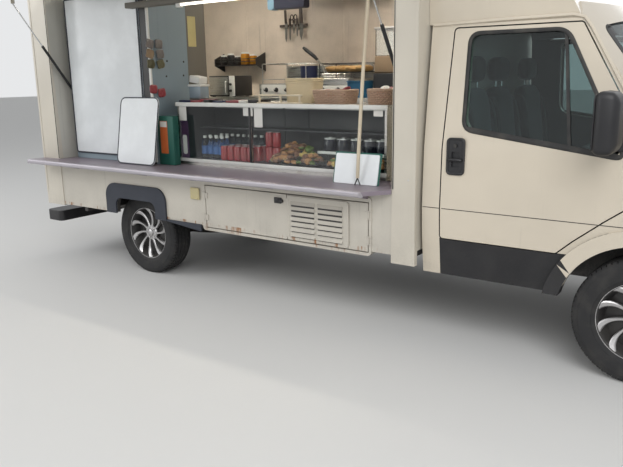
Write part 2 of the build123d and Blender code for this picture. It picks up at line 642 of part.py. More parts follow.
def box_floor():
    """Floor panel on cross bearers, with a boxed well over each rear wheel."""
    inner = BOX_Y - BOX_WALL - SEAT_GAP
    z0, z1 = FLOOR_TOP - FLOOR_THICKNESS, FLOOR_TOP
    rear, front = BOX_REAR + BOX_WALL + SEAT_GAP, BOX_FRONT - BOX_WALL - SEAT_GAP
    floor = block(rear, front, -inner, inner, z0, z1)
    for x in BEARER_X:
        floor += block(x - 30.0, x + 30.0, -inner, inner, RAIL_TOP + SEAT_GAP, z0)
    floor -= block(LOCKER_REAR - 12.0, LOCKER_FRONT + 12.0, -BOX_Y,
                   -BOX_Y + BOX_WALL + LOCKER_DEPTH + 6.0, 400.0, 700.0)
    for side in (1, -1):
        y0, y1 = side * WELL_INNER_Y, side * inner
        house = block(-WHEELBASE - WELL_HALF - 18.0, -WHEELBASE + WELL_HALF + 18.0, y0 - side * 18.0, y1,
                      z0 - 30.0,
                      WELL_TOP + 18.0)
        floor = floor + house
        floor -= block(-WHEELBASE - WELL_HALF, -WHEELBASE + WELL_HALF, y0, side * (inner + 20.0), 300.0,
                       WELL_TOP)
    return floor


def arch_outline(grow, bottom):
    """Rounded-rectangle wheel arch in a side panel, about the rear wheel."""
    left, right, top = REAR_ARCH_REAR - grow, REAR_ARCH_FRONT + grow, REAR_ARCH_TOP + grow
    face = Polygon((left, bottom), (right, bottom), (right, top), (left, top), align=None)
    upper = [v for v in face.vertices() if v.Y > top - 1.0]
    return fillet(upper, 62.0 + grow * 0.4)


def side_panel():
    """Right lower side panel under the counter, with the wheel arch and the locker opening."""
    top = COUNTER_TOP - COUNTER_THICKNESS - SEAT_GAP
    x0, x1 = BOX_REAR + REAR_POST_WIDTH + SEAT_GAP, BOX_FRONT - FRONT_POST_WIDTH - SEAT_GAP
    panel = block(x0, x1, -BOX_Y + PANEL_RECESS, -BOX_Y + BOX_WALL, PANEL_BOTTOM, top)
    panel -= side_prism(arch_outline(0.0, 400.0), -BOX_Y - 10.0, -BOX_Y + 100.0)
    frame_face = fillet(Polygon((LOCKER_REAR - 34.0, 490.0), (LOCKER_FRONT + 17.0, 490.0),
                                (LOCKER_FRONT + 17.0, 862.0),
                                (LOCKER_REAR - 34.0, 862.0), align=None).vertices(), 26.0)
    panel += side_prism(frame_face, -BOX_Y, -BOX_Y + BOX_WALL)
    return panel - block(LOCKER_REAR, LOCKER_FRONT, -BOX_Y - 10.0, -BOX_Y + BOX_WALL + 10.0,
                         LOCKER_BOTTOM, LOCKER_TOP)


def locker_box():
    """Folded sheet box behind the locker opening, open towards the doors."""
    y0, y1 = -BOX_Y + BOX_WALL, -BOX_Y + BOX_WALL + LOCKER_DEPTH
    wall = LOCKER_WALL
    box = block(LOCKER_REAR - wall, LOCKER_FRONT + wall, y0, y1, LOCKER_BOTTOM - wall, LOCKER_TOP + wall)
    return box - block(LOCKER_REAR, LOCKER_FRONT, y0 - 10.0, y1 - wall, LOCKER_BOTTOM, LOCKER_TOP)


def left_wall():
    """Full-height left wall with its rear wheel arch."""
    wall = block(BOX_REAR, BOX_FRONT, BOX_Y - BOX_WALL, BOX_Y, PANEL_BOTTOM, BOX_ROOF - BOX_WALL - SEAT_GAP)
    return wall - side_prism(arch_outline(0.0, 400.0), BOX_Y - 100.0, BOX_Y + 10.0)


def opening_frame():
    """Posts and header round the serving opening, on the right."""
    y0, y1 = -BOX_Y, -BOX_Y + BOX_WALL
    top = BOX_ROOF - BOX_WALL - SEAT_GAP
    frame = block(BOX_FRONT - FRONT_POST_WIDTH, BOX_FRONT, y0, y1, POST_BOTTOM, top)
    frame += block(BOX_REAR, BOX_REAR + REAR_POST_WIDTH, y0, y1, PANEL_BOTTOM - 10.0, top)
    frame += block(BOX_REAR, BOX_FRONT, y0, y1, HEADER_BOTTOM, top)
    frame += block(BOX_REAR + BOX_WALL + SEAT_GAP, BOX_FRONT - BOX_WALL - SEAT_GAP, y1 - 1.0,
                   POLE_Y + 40.0, HEADER_BOTTOM,
                   HEADER_BOTTOM + 40.0)
    frame += block(BOX_FRONT - FRONT_POST_WIDTH, BOX_FRONT - BOX_WALL - SEAT_GAP, y0, -STRUT_LINING_Y,
                   COUNTER_TOP + 1.0,
                   HEADER_BOTTOM + 20.0)
    rear_face = BOX_REAR + REAR_POST_WIDTH
    frame += block(rear_face - 20.0, rear_face, y0, -STRUT_LINING_Y, COUNTER_TOP + 1.0,
                   HEADER_BOTTOM + 20.0)
    return frame


def end_walls():
    """Front wall behind the cab, and rear wall with the doorway."""
    inner = BOX_Y - BOX_WALL - SEAT_GAP
    top = BOX_ROOF - BOX_WALL - SEAT_GAP
    front = block(BOX_FRONT - BOX_WALL, BOX_FRONT, -inner, inner, FLOOR_TOP - FLOOR_THICKNESS, top)
    rear = block(BOX_REAR, BOX_REAR + BOX_WALL, -inner, inner, FLOOR_TOP - FLOOR_THICKNESS, top)
    rear -= block(BOX_REAR - 10.0, BOX_REAR + BOX_WALL + 10.0, -REAR_DOOR_HALF - SHUT_GAP,
                  REAR_DOOR_HALF + SHUT_GAP,
                  FLOOR_TOP + SEAT_GAP, REAR_DOOR_TOP + SHUT_GAP)
    return front, rear


def roof():
    """Roof panel with rolled side edges and a vent cap."""
    face = Polygon((-BOX_Y, BOX_ROOF - BOX_WALL), (BOX_Y, BOX_ROOF - BOX_WALL), (BOX_Y, BOX_ROOF),
                   (-BOX_Y, BOX_ROOF),
                   align=None)
    face = fillet([v for v in face.vertices() if v.Y > BOX_ROOF - 1.0], 28.0)
    panel = front_prism(face, BOX_REAR, BOX_FRONT)
    panel += Pos(-2900.0, 640.0, BOX_ROOF) * Cylinder(150.0, 90.0, align=(Align.CENTER, Align.CENTER,
                                                      Align.MIN))
    panel += Pos(-2900.0, 640.0, BOX_ROOF + 90.0) * Cylinder(190.0, 30.0, align=(Align.CENTER,
                                                             Align.CENTER, Align.MIN))
    return panel


def overcab_fairing():
    """Fairing from the gutters of the cab up to the box roof, hollow and leaning in at the sides."""
    return (fairing_volume(0.0) - fairing_volume(FAIRING_WALL)) - cab_volume(-SEAT_GAP)


def fairing_volume(inset):
    """The fairing as a solid body, its skin moved in by the inset."""
    rear, foot = BOX_FRONT + 2.0, (FAIRING_FRONT, GUTTER_Z)
    brow_top = (rear + 60.0, BOX_ROOF - 12.0)
    profile = Polyline(foot, (rear, GUTTER_Z), (rear, BOX_ROOF - 8.0), brow_top)
    side = make_face(profile + ThreePointArc(brow_top, (-700.0, 2290.0), foot))
    half = [(GUTTER_Y - 4.0, GUTTER_Z - 1.0), (BOX_Y - 100.0, 2330.0), (BOX_Y - 135.0, 2560.0),
            (BOX_Y - 210.0, BOX_ROOF + 10.0)]
    front = Polygon(*(half + [(-y, z) for y, z in reversed(half)]), align=None)
    if inset:
        side = offset(side, -inset, kind=Kind.INTERSECTION)
        front = offset(front, -inset, kind=Kind.INTERSECTION)
    return side_prism(side, -1100.0, 1100.0) & front_prism(front, BOX_FRONT, 200.0)


def trims():
    """Dark mouldings round the rear arches and along the sills beside them, on both sides."""
    arch = side_prism(arch_outline(118.0, PANEL_BOTTOM - 6.0), BOX_Y + SEAT_GAP, BOX_Y + 16.0)
    arch -= side_prism(arch_outline(0.0, 400.0), BOX_Y - 10.0, BOX_Y + 30.0)
    sill = side_prism(outline([(REAR_ARCH_FRONT + 110.0, PANEL_BOTTOM + 6.0), (REAR_ARCH_FRONT + 110.0,
                               PANEL_BOTTOM - 6.0),
                               (-2975.0, PANEL_BOTTOM - 46.0), (-2975.0, PANEL_BOTTOM + 6.0)]),
                      BOX_Y + SEAT_GAP, BOX_Y + 12.0)
    shape = arch + sill
    right = Pos(0, PANEL_RECESS, 0) * mirror(shape, about=Plane.XZ)
    return group(shape, right)


def rear_end_pieces():
    """Step bumper on its two arms, and the rear lamps."""
    bumper = block(BOX_REAR + 60.0, BOX_REAR - 150.0, -960.0, 960.0, 330.0, 425.0)
    bumper = fillet(bumper.edges().filter_by(Axis.Z), 45.0)
    for side in (1, -1):
        bumper += block(CHASSIS_REAR - SEAT_GAP, BOX_REAR - 20.0, side * (RAIL_Y - 25.0),
                        side * (RAIL_Y + 25.0), 380.0, 520.0)
    lamps = []
    for side in (1, -1):
        lamp = block(BOX_REAR - 34.0, BOX_REAR - SEAT_GAP, side * 830.0, side * 960.0, 640.0, 900.0)
        lamps.append(fillet(lamp.edges().filter_by(Axis.X), 18.0))
    return bumper, group(*lamps)


# Serving side and kitchen

def counter():
    """Serving counter with a rounded outer lip and brackets under its overhang."""
    lip = COUNTER_THICKNESS
    face = Polygon((-COUNTER_LIP_Y, COUNTER_TOP - lip - 8.0), (-DISPLAY_Y + 14.0, COUNTER_TOP - lip - 8.0),
                   (-DISPLAY_Y + 14.0, COUNTER_TOP), (-COUNTER_LIP_Y, COUNTER_TOP), align=None)
    outer = [v for v in face.vertices() if v.X < -COUNTER_LIP_Y + 1.0]
    face = fillet(outer, 11.0)
    top = front_prism(face, COUNTER_REAR, COUNTER_FRONT)
    top -= block(COUNTER_REAR - 5.0, COUNTER_FRONT + 5.0, -COUNTER_LIP_Y + 22.0, 0.0,
                 COUNTER_TOP - lip - 20.0,
                 COUNTER_TOP - lip)
    top -= block(BOX_REAR - 40.0, BOX_REAR + REAR_POST_WIDTH + SEAT_GAP, -BOX_Y - SEAT_GAP, 0.0, 800.0,
                 1000.0)
    corner = Polygon((COUNTER_FRONT - 125.0, -COUNTER_LIP_Y - 1.0), (COUNTER_FRONT + 1.0,
                                                                     -COUNTER_LIP_Y - 1.0),
                     (COUNTER_FRONT + 1.0, -BOX_Y - 10.0), align=None)
    top -= plan_prism(corner, 800.0, 1000.0)
    for x in COUNTER_BRACKETS:
        brace = Polygon((-BOX_Y - SEAT_GAP, COUNTER_TOP - lip), (-COUNTER_LIP_Y + 40.0, COUNTER_TOP - lip),
                        (-COUNTER_LIP_Y + 40.0, COUNTER_TOP - lip - 14.0), (-BOX_Y - SEAT_GAP,
                                                                            COUNTER_TOP - lip - 46.0),
                        align=None)
        top += front_prism(brace, x - 14.0, x + 14.0)
    return top


def display_case():
    """Chilled display: base cabinet, deck, end cheeks, divider and the ledge on top."""
    front, back = -DISPLAY_Y, -DISPLAY_Y + DISPLAY_DEPTH
    x0, x1 = DISPLAY_REAR, DISPLAY_FRONT
    top = DISPLAY_TOP
    case = block(x0, x1, -BOX_Y + BOX_WALL + LOCKER_DEPTH + 8.0, back, FLOOR_TOP + SEAT_GAP,
                 COUNTER_TOP + SEAT_GAP)
    case += block(x0, x1, front, back, COUNTER_TOP + SEAT_GAP, COUNTER_TOP + 40.0)
    for x in (x0, x1 - 16.0):
        case += block(x, x + 16.0, front, back, COUNTER_TOP, top - 24.0)
    middle = DISPLAY_DIVIDER
    case += block(middle - 9.0, middle + 9.0, front, front + 22.0, COUNTER_TOP, top - 24.0)
    case += block(middle - 9.0, middle + 9.0, back - 22.0, back, COUNTER_TOP, top - 24.0)
    case += block(x0 - 12.0, x1 + 12.0, front - 12.0, back + 60.0, top - 28.0, top)
    case += block(x0, x1, front + 230.0, back, 1190.0, 1200.0)
    return case


def display_glass():
    """Front panes of the display, one each side of the divider."""
    panes = []
    for x0, x1 in ((DISPLAY_REAR + 16.0, DISPLAY_DIVIDER - 9.0), (DISPLAY_DIVIDER + 9.0,
                                                                  DISPLAY_FRONT - 16.0)):
        panes.append(block(x0 + SEAT_GAP, x1 - SEAT_GAP, -DISPLAY_Y + 6.0, -DISPLAY_Y + 12.0,
                           COUNTER_TOP + 40.0 + SEAT_GAP, DISPLAY_TOP - 28.0 - SEAT_GAP))
    return group(*panes)


def kitchen_pieces():
    """Tall cabinet, back worktop, cooking range and extractor hood."""
    inner = BOX_Y - BOX_WALL - 1.0
    tall = block(CABINET_REAR, CABINET_FRONT, -CABINET_FACE_Y, -CABINET_BACK_Y, COUNTER_TOP + SEAT_GAP,
                 2255.0)
    tall += block(CABINET_REAR, CABINET_FRONT, -WELL_INNER_Y + 30.0, -CABINET_BACK_Y, FLOOR_TOP + SEAT_GAP,
                  COUNTER_TOP + 1.0)
    back = block(-4640.0, -1460.0, 430.0, inner, FLOOR_TOP + 90.0, 1365.0)
    back += block(-4600.0, -1500.0, 480.0, inner, FLOOR_TOP + SEAT_GAP, FLOOR_TOP + 91.0)
    back += block(-4660.0, -1440.0, 400.0, inner, 1365.0, DISPLAY_TOP)
    back -= block(-WHEELBASE - WELL_HALF - 20.0, -WHEELBASE + WELL_HALF + 20.0, WELL_INNER_Y - 20.0,
                  BOX_Y, 500.0,
                  WELL_TOP + 20.0)
    table = DISPLAY_TOP + SEAT_GAP
    griddle = block(-3620.0, -3080.0, 470.0, 930.0, table, 1520.0) - block(-3600.0, -3100.0, 490.0,
                                                                           910.0, 1505.0, 1530.0)
    griddle += block(-3620.0, -3080.0, 915.0, 930.0, 1500.0, 1680.0)
    fryer = block(-3000.0, -2640.0, 480.0, 920.0, table, 1560.0) - block(-2980.0, -2660.0, 500.0, 880.0,
                                                                         1450.0, 1570.0)
    fryer += block(-3000.0, -2640.0, 900.0, 920.0, 1550.0, 1700.0)
    hood_face = outline([(470.0, 2170.0), (inner, 2170.0), (inner, BOX_ROOF - BOX_WALL - 2 * SEAT_GAP),
                         (700.0, BOX_ROOF - BOX_WALL - 2 * SEAT_GAP), (470.0, 2300.0)])
    hood_void = outline([(490.0, 2160.0), (inner - 20.0, 2160.0), (inner - 20.0, 2560.0), (715.0,
                         2560.0), (490.0, 2290.0)])
    hood = front_prism(hood_face, -3500.0, -2300.0) - front_prism(hood_void, -3480.0, -2320.0)
    return {"tall_cabinet": tall, "back_worktop": back, "cooking_range": group(griddle, fryer),
            "extractor_hood": hood}


def wall_shelf():
    """Small shelf on the left wall, with a raised rail on two end brackets."""
    inner = BOX_Y - BOX_WALL - SEAT_GAP
    rear, front, low, high = WALL_SHELF_REAR, WALL_SHELF_FRONT, WALL_SHELF_Z, WALL_SHELF_Z + 130.0
    outer = inner - WALL_SHELF_DEPTH
    shelf = block(rear, front, outer, inner, low, low + 10.0)
    for x in (rear, front - 8.0):
        bracket = Polygon((inner, low - 60.0), (inner, high), (outer, low + 70.0), (outer, low), align=None)
        shelf += front_prism(bracket, x, x + 8.0)
    for z in (low + 42.0, low + 66.0):
        shelf += rod_between((rear + 4.0, outer + 6.0, z), (front - 4.0, outer + 6.0, z), 4.0)
    return shelf


def menu_boards():
    """Large board on the cabinet, a board that leans on it, and a small card on a prop."""
    face_y = -CABINET_FACE_Y - SEAT_GAP
    large_front = face_y - BOARD_THICKNESS
    large = block(CABINET_REAR + 5.0, -3680.0, large_front, face_y, 1000.0, 2160.0)
    reach = large_front - SEAT_GAP - BOARD_THICKNESS / 2 - SMALL_BOARD_Y
    small = leaning_board(-3940.0, -3492.0, SMALL_BOARD_Y, SMALL_BOARD_HEIGHT,
                          degrees(asin(reach / SMALL_BOARD_HEIGHT)))
    card_y, lean, base = -BOX_Y + CARD_SETBACK, 12.0, COUNTER_TOP + SEAT_GAP
    card = leaning_board(-1842.0, -1524.0, card_y, 190.0, lean)
    low, high = card_y + 100.0 * sin(radians(lean)), card_y + 140.0 * sin(radians(lean))
    prop = Polygon((low, base + 100.0), (high, base + 140.0), (high + 62.0, base), (high + 46.0, base),
                   align=None)
    card += front_prism(prop, -1700.0, -1664.0)
    return group(large, small, card)


def leaning_board(x0, x1, y, height, lean):
    """A thin board with rounded corners that stands on the counter and leans inwards."""
    half = BOARD_THICKNESS / 2
    board = block(x0, x1, -half, half, 0.0, height)
    board = fillet(board.edges().filter_by(Axis.Y), 14.0)
    rise = half * sin(radians(lean)) + SEAT_GAP
    return Pos(0, y, COUNTER_TOP + rise) * (Rot(-lean, 0, 0) * board)


def hatch_pole():
    """Slim bowed stay between the counter and the header, with a forked foot."""
    top = (POLE_X + 95.0, POLE_Y, HEADER_BOTTOM - 3.0)
    foot = (POLE_X, POLE_Y, COUNTER_TOP + 46.0)
    bow = (POLE_X + 38.0, POLE_Y, 1600.0)
    path = ThreePointArc(foot, bow, top)
    tube = sweep(Plane(origin=foot, z_dir=path.tangent_at(0)) * Circle(11.0), path=path)
    tube += block(top[0] - 16.0, top[0] + 16.0, POLE_Y - 9.0, POLE_Y + 9.0, HEADER_BOTTOM - 8.0,
                  HEADER_BOTTOM - SEAT_GAP)
    for lean in (-1, 1):
        tube += rod_between((POLE_X + lean * 20.0, POLE_Y, COUNTER_TOP + 2.0), (POLE_X - lean * 6.0,
                            POLE_Y, COUNTER_TOP + 60.0),
                            3.5)
    return tube


# Moving pieces of the box

def hatch_closed():
    """The hatch as it closes the opening, before it is swung up about its hinge."""
    x0 = BOX_REAR + REAR_POST_WIDTH + HATCH_GAP
    x1 = BOX_FRONT - FRONT_POST_WIDTH - HATCH_GAP
    y0 = -BOX_Y
    top = HINGE_Z - HATCH_GAP
    bottom = COUNTER_TOP + 15.0
    panel = block(x0, x1, y0, y0 + HATCH_THICKNESS, bottom, top)
    recess = block(x0 + 45.0, x1 - 45.0, y0 + 9.0, y0 + HATCH_THICKNESS + 1.0, bottom + 45.0, top - 45.0)
    panel -= recess
    for fraction in (0.25, 0.5, 0.75):
        x = x0 + (x1 - x0) * fraction
        panel += block(x - 20.0, x + 20.0, y0 + 4.0, y0 + HATCH_THICKNESS, bottom, top)
    for x in STRUT_X:
        z = HINGE_Z - STRUT_PIN_REACH
        panel += block(max(x - STRUT_BRACKET, x0), min(x + STRUT_BRACKET, x1), y0 + 4.0,
                       y0 + HATCH_THICKNESS, z - 60.0,
                       z + 60.0)
        inward = 1 if x > -3000.0 else -1
        ear_x = x - inward * (STRUT_EYE_HALF + 1.0 + 3.0)
        panel += block(ear_x - 3.0, ear_x + 3.0, y0 + HATCH_THICKNESS - 4.0, y0 + STRUT_PIN_DROP + 8.0,
                       z - 16.0, z + 16.0)
        stud_end = x - inward * (STRUT_EYE_HALF + 0.6)
        panel += rod_between((ear_x, y0 + STRUT_PIN_DROP, z), (stud_end, y0 + STRUT_PIN_DROP, z), 4.0)
    return panel


def hatch_and_hinge():
    """The open hatch with its hinge knuckles, and the fixed hinge pin with its leaves."""
    x0 = BOX_REAR + REAR_POST_WIDTH + HATCH_GAP
    x1 = BOX_FRONT - FRONT_POST_WIDTH - HATCH_GAP
    panel = hatch_closed()
    fixed = across_length(x0, x1, HINGE_PIN_RADIUS)
    step = (x1 - x0) / (2 * HATCH_KNUCKLES + 1)
    for number in range(2 * HATCH_KNUCKLES + 1):
        a, b = x0 + number * step + 1.0, x0 + (number + 1) * step - 1.0
        if number % 2:
            knuckle = across_length(a, b, HINGE_KNUCKLE_RADIUS)
            knuckle += block(a, b, -BOX_Y, -BOX_Y + HINGE_LEAF, HINGE_Z - HATCH_GAP - 2.0, HINGE_Z)
            knuckle -= across_length(a - 2.0, b + 2.0, HINGE_PIN_RADIUS + PIN_CLEARANCE)
            panel += knuckle
        else:
            fixed += across_length(a, b, HINGE_KNUCKLE_RADIUS - 1.0)
            fixed += block(a, b, -BOX_Y, -BOX_Y + HINGE_LEAF, HINGE_Z, HEADER_BOTTOM + 2.0)
    turn = Pos(0, -BOX_Y, HINGE_Z) * Rot(-HATCH_CLOSED_TURN, 0, 0) * Pos(0, BOX_Y, -HINGE_Z)
    return turn * panel, fixed


def across_length(x0, x1, radius):
    """A round bar along the hatch's hinge axis."""
    return rod_between((x0, -BOX_Y, HINGE_Z), (x1, -BOX_Y, HINGE_Z), radius)


def strut_ends():
    """Foot pin, and the rod eye's place with the hatch open and closed, as (y, z)."""
    foot = (STRUT_FOOT_Y, STRUT_FOOT_Z)
    opened = (-BOX_Y - STRUT_PIN_REACH, HINGE_Z - STRUT_PIN_DROP)
    closed = (-BOX_Y + STRUT_PIN_DROP, HINGE_Z - STRUT_PIN_REACH)
    return foot, opened, closed


def gas_struts():
    """A gas strut at each end of the hatch: a tube pinned to the post, and its sliding rod."""
    foot, opened, closed = strut_ends()
    long_y, long_z = opened[0] - foot[0], opened[1] - foot[1]
    length = hypot(long_y, long_z)
    closed_length = hypot(closed[0] - foot[0], closed[1] - foot[1])
    dy, dz = long_y / length, long_z / length
    tube_length = closed_length - 26.0
    rod_start = length - closed_length + 30.0
    nodes = {}
    for name, x in (("front", STRUT_X[0]), ("rear", STRUT_X[1])):
        def at(distance, shift=0.0):
            return (x + shift, foot[0] + dy * distance, foot[1] + dz * distance)
        tube = rod_between(at(7.0), at(tube_length), STRUT_TUBE_RADIUS)
        tube -= rod_between(at(24.0), at(tube_length + 1.0), STRUT_ROD_RADIUS + 0.4)
        tube += rod_between(at(0.0, -STRUT_EYE_HALF), at(0.0, STRUT_EYE_HALF), 10.0)
        tube -= rod_between(at(0.0, -20.0), at(0.0, 20.0), 4.0 + PIN_CLEARANCE)
        rod = rod_between(at(rod_start), at(length - 7.0), STRUT_ROD_RADIUS)
        rod += rod_between(at(length, -STRUT_EYE_HALF), at(length, STRUT_EYE_HALF), 9.0)
        nodes[f"strut_tube_{name}"] = tube
        nodes[f"strut_rod_{name}"] = rod
    return nodes


def strut_foot_pins():
    """Pins that carry the struts' feet, on the linings of the two posts."""
    pins = []
    for x, wall in ((STRUT_X[0], BOX_FRONT - FRONT_POST_WIDTH), (STRUT_X[1], BOX_REAR + REAR_POST_WIDTH)):
        pins.append(rod_between((x - (1 if wall > x else -1) * STRUT_EYE_HALF, STRUT_FOOT_Y, STRUT_FOOT_Z),
                                (wall, STRUT_FOOT_Y, STRUT_FOOT_Z), 4.0))
    return pins


def rear_door():
    """Rear door leaf with a window, on two hinges at its left edge, and a lever handle."""
    y0, y1 = BOX_REAR, BOX_REAR + 30.0
    leaf = block(y0, y1, -REAR_DOOR_HALF, REAR_DOOR_HALF, FLOOR_TOP + 8.0, REAR_DOOR_TOP)
    leaf -= front_prism(outline([(-230.0, 1560.0), (230.0, 1560.0), (230.0, 2230.0), (-230.0, 2230.0)],
                                50.0), y0 - 10.0,
                        y1 + 10.0)
    leaf += front_prism(outline([(-230.0, 1560.0), (230.0, 1560.0), (230.0, 2230.0), (-230.0, 2230.0)],
                                50.0), y0 + 12.0,
                        y0 + 17.0)
    handle = block(y0 - 34.0, y0 - 20.0, -REAR_DOOR_HALF + 35.0, -REAR_DOOR_HALF + 60.0, 1150.0, 1330.0)
    handle += block(y0 - 34.0, y0 + 1.0, -REAR_DOOR_HALF + 35.0, -REAR_DOOR_HALF + 60.0, 1160.0, 1180.0)
    handle += block(y0 - 34.0, y0 + 1.0, -REAR_DOOR_HALF + 35.0, -REAR_DOOR_HALF + 60.0, 1300.0, 1320.0)
    leaf += handle
    fixed = []
    for z in (900.0, 1500.0, 2250.0):
        pin, knuckle = pin_and_knuckle((REAR_HINGE_X, REAR_HINGE_Y, z), (0, 0, 1), 60.0, 4.0, 8.0)
        leaf += knuckle + block(REAR_HINGE_X - 3.0, y0 + 1.0, REAR_HINGE_Y - 30.0, REAR_HINGE_Y - 5.5,
                                z - 30.0, z + 30.0)
        for z0 in (z - 39.0, z + 31.0):
            pin += block(REAR_HINGE_X - 3.0, y0 + 1.0, REAR_HINGE_Y + 5.5, REAR_HINGE_Y + 34.0, z0,
                         z0 + 8.0)
        fixed.append(pin)
    return leaf, fixed


def locker_doors():
    """Two locker doors; the front one carries the louvred vent, the rear one the lock."""
    y0, y1 = -BOX_Y, -BOX_Y + LOCKER_DOOR_THICKNESS
    split = LOCKER_SPLIT
    rear = block(LOCKER_REAR + SHUT_GAP, split - SHUT_GAP / 2, y0, y1, LOCKER_BOTTOM + SHUT_GAP,
                 LOCKER_TOP - SHUT_GAP)
    front = block(split + SHUT_GAP / 2, LOCKER_FRONT - SHUT_GAP, y0, y1, LOCKER_BOTTOM + SHUT_GAP,
                  LOCKER_TOP - SHUT_GAP)
    rear += across(split - 74.0, 776.0, y0 - 12.0, y0 + 1.0, 17.0)
    rear += block(split - 60.0, split - 30.0, y0 - 14.0, y0 + 1.0, 766.0, 786.0)
    x0, x1, z0, z1 = split + 6.0, split + 488.0, LOCKER_BOTTOM + 9.0, LOCKER_TOP - 12.0
    plate = side_prism(outline([(x0, z0), (x1, z0), (x1, z1), (x0, z1)], 16.0), y0 - 7.0, y0 + 1.0)
    front += plate
    pitch = (z1 - z0 - 44.0) / LOUVRE_ROWS
    for column in (0, 1):
        for row in range(LOUVRE_ROWS):
            a = x0 + 34.0 + column * 214.0
            z = z0 + 26.0 + row * pitch
            front -= block(a, a + 190.0, y0 - 20.0, y1 + 5.0, z, z + 9.0)
            hood = Polygon((y0 - 6.0, z + 22.0), (y0 - 19.0, z + 3.0), (y0 - 16.5, z + 1.0), (y0 - 3.0,
                           z + 18.0), align=None)
            front += front_prism(hood, a - 3.0, a + 193.0)
    fixed = []
    axes = ((LOCKER_REAR + 1.0, 1, "rear"), (LOCKER_FRONT - 1.0, -1, "front"))
    for x, inward, name in axes:
        for z in (590.0, 750.0):
            pin, knuckle = pin_and_knuckle((x, LOCKER_HINGE_Y, z), (0, 0, 1), 40.0, 2.5, 5.0, ear=6.0)
            leaf = block(x + inward * 3.5, x + inward * 26.0, y0 - 6.0, y0 + 1.0, z - 20.0, z + 20.0)
            if name == "rear":
                rear += knuckle + leaf
            else:
                front += knuckle + leaf
            for ear_z in (z - 27.0, z + 21.0):
                pin += block(x - inward * 3.5, x - inward * 24.0, y0 - 6.0, y0 + 1.0, ear_z, ear_z + 6.0)
            fixed.append(pin)
    return rear, front, fixed


# Hinges, mirrors and steering of the cab

def hang_doors(nodes):
    """Carves the doors' front edges round their hinge axes and adds pins, knuckles, handles and mirrors."""
    for side, name in ((1, "left"), (-1, "right")):
        y = side * DOOR_HINGE_Y
        door, shell = nodes[f"cab_door_{name}"], nodes["cab_body"]
        lip = block(DOOR_HINGE_X, DOOR_HINGE_X + 40.0, side * 880.0, side * 1010.0, 850.0, 1300.0)
        lip -= rod_between((DOOR_HINGE_X, y, 800.0), (DOOR_HINGE_X, y, 1350.0), 17.0)
        door -= lip
        shell -= rod_between((DOOR_HINGE_X, y, 900.0), (DOOR_HINGE_X, y, 1300.0), DOOR_HINGE_SWING)
        for z in DOOR_HINGE_Z:
            door -= block(DOOR_HINGE_X - 80.0, DOOR_HINGE_X + 22.0, side * 880.0,
                          y + side * DOOR_HINGE_POCKET,
                          z - 36.0, z + 36.0)
            pin, knuckle = pin_and_knuckle((DOOR_HINGE_X, y, z), (0, 0, 1), 44.0, 3.5, 7.0)
            leaf = block(DOOR_HINGE_X - 30.0, DOOR_HINGE_X, y + side * 4.6,
                         y + side * (DOOR_HINGE_POCKET + 2.0),
                         z - 22.0, z + 22.0)
            door += knuckle + leaf
            for z0 in (z - 31.0, z + 23.0):
                arm = Polygon((DOOR_HINGE_X - 6.0, y), (DOOR_HINGE_X - 34.0, y - side * 52.0),
                              (DOOR_HINGE_X - 34.0, y - side * 84.0), (DOOR_HINGE_X + 50.0,
                                                                       y - side * 84.0),
                              (DOOR_HINGE_X + 50.0, y - side * 13.0), (DOOR_HINGE_X + 34.0,
                                                                       y - side * 13.0),
                              (DOOR_HINGE_X + 34.0, y - side * 66.0), (DOOR_HINGE_X - 14.0,
                                                                       y - side * 66.0),
                              (DOOR_HINGE_X + 5.0, y - side * 4.0), align=None)
                pin += plan_prism(arm, z0, z0 + 8.0)
            shell += pin
        frame = block(-1052.0, -962.0, side * 960.0, side * (BELT_Y + 11.0), 1040.0, 1228.0)
        handle = fillet(frame.edges().filter_by(Axis.Y), 16.0)
        handle -= block(-1030.0, -985.0, side * (BELT_Y + 2.0), side * 1010.0, 1075.0, 1160.0)
        door += handle
        nodes[f"cab_door_{name}"] = door
        nodes["cab_body"] = shell
        nodes[f"mirror_{name}"] = door_mirror(side)
    return nodes


def door_mirror(side):
    """Tall door mirror on an arm from the front lower corner of the window."""
    head = block(-236.0, -128.0, side * 1045.0, side * 1245.0, 1205.0, 1500.0)
    head = fillet(head.edges(), 34.0)
    face = outline([(side * 1065.0, 1228.0), (side * 1225.0, 1228.0), (side * 1225.0, 1478.0),
                    (side * 1065.0, 1478.0)], 22.0)
    head -= front_prism(face, -240.0, -226.0)
    arm = block(-210.0, -150.0, side * 973.0, side * 1060.0, 1232.0, 1262.0)
    foot = block(-235.0, -135.0, side * 969.0, side * 985.0, 1205.0, 1290.0)
    return (head + arm + foot) - cab_volume(0.0)


def hang_bonnet(nodes):
    """Two bonnet hinges let into its rear edge, so that the edge turns about its own corner."""
    bonnet, shell = nodes["bonnet"], nodes["cab_body"]
    x, z = BONNET_HINGE_X, BONNET_HINGE_Z
    tray_rear, tray_front = x - 61.0, x - 41.0
    for side in (1, -1):
        y = side * BONNET_HINGE_Y
        pin, knuckle = pin_and_knuckle((x, y, z), (0, 1, 0), 24.0, 3.0, BONNET_KNUCKLE, ear=6.0)
        bonnet -= block(x - 20.0, x + 20.0, y - 24.0, y + 24.0, z - 90.0, z + 40.0)
        bonnet += knuckle + block(x + BONNET_KNUCKLE - 2.0, x + 26.0, y - 12.0, y + 12.0, z - 14.0, z)
        for y0 in (y - 19.0, y + 13.0):
            pin += block(x - 5.0, x + 5.0, y0, y0 + 6.0, z - 70.0, z)
            pin += block(tray_rear, x + 5.0, y0, y0 + 6.0, z - 84.0, z - 64.0)
        shell += pin
    shell += block(tray_rear, tray_front, -860.0, 860.0, z - 135.0, COWL_Z - 20.0)
    nodes["bonnet"], nodes["cab_body"] = bonnet, shell
    return nodes


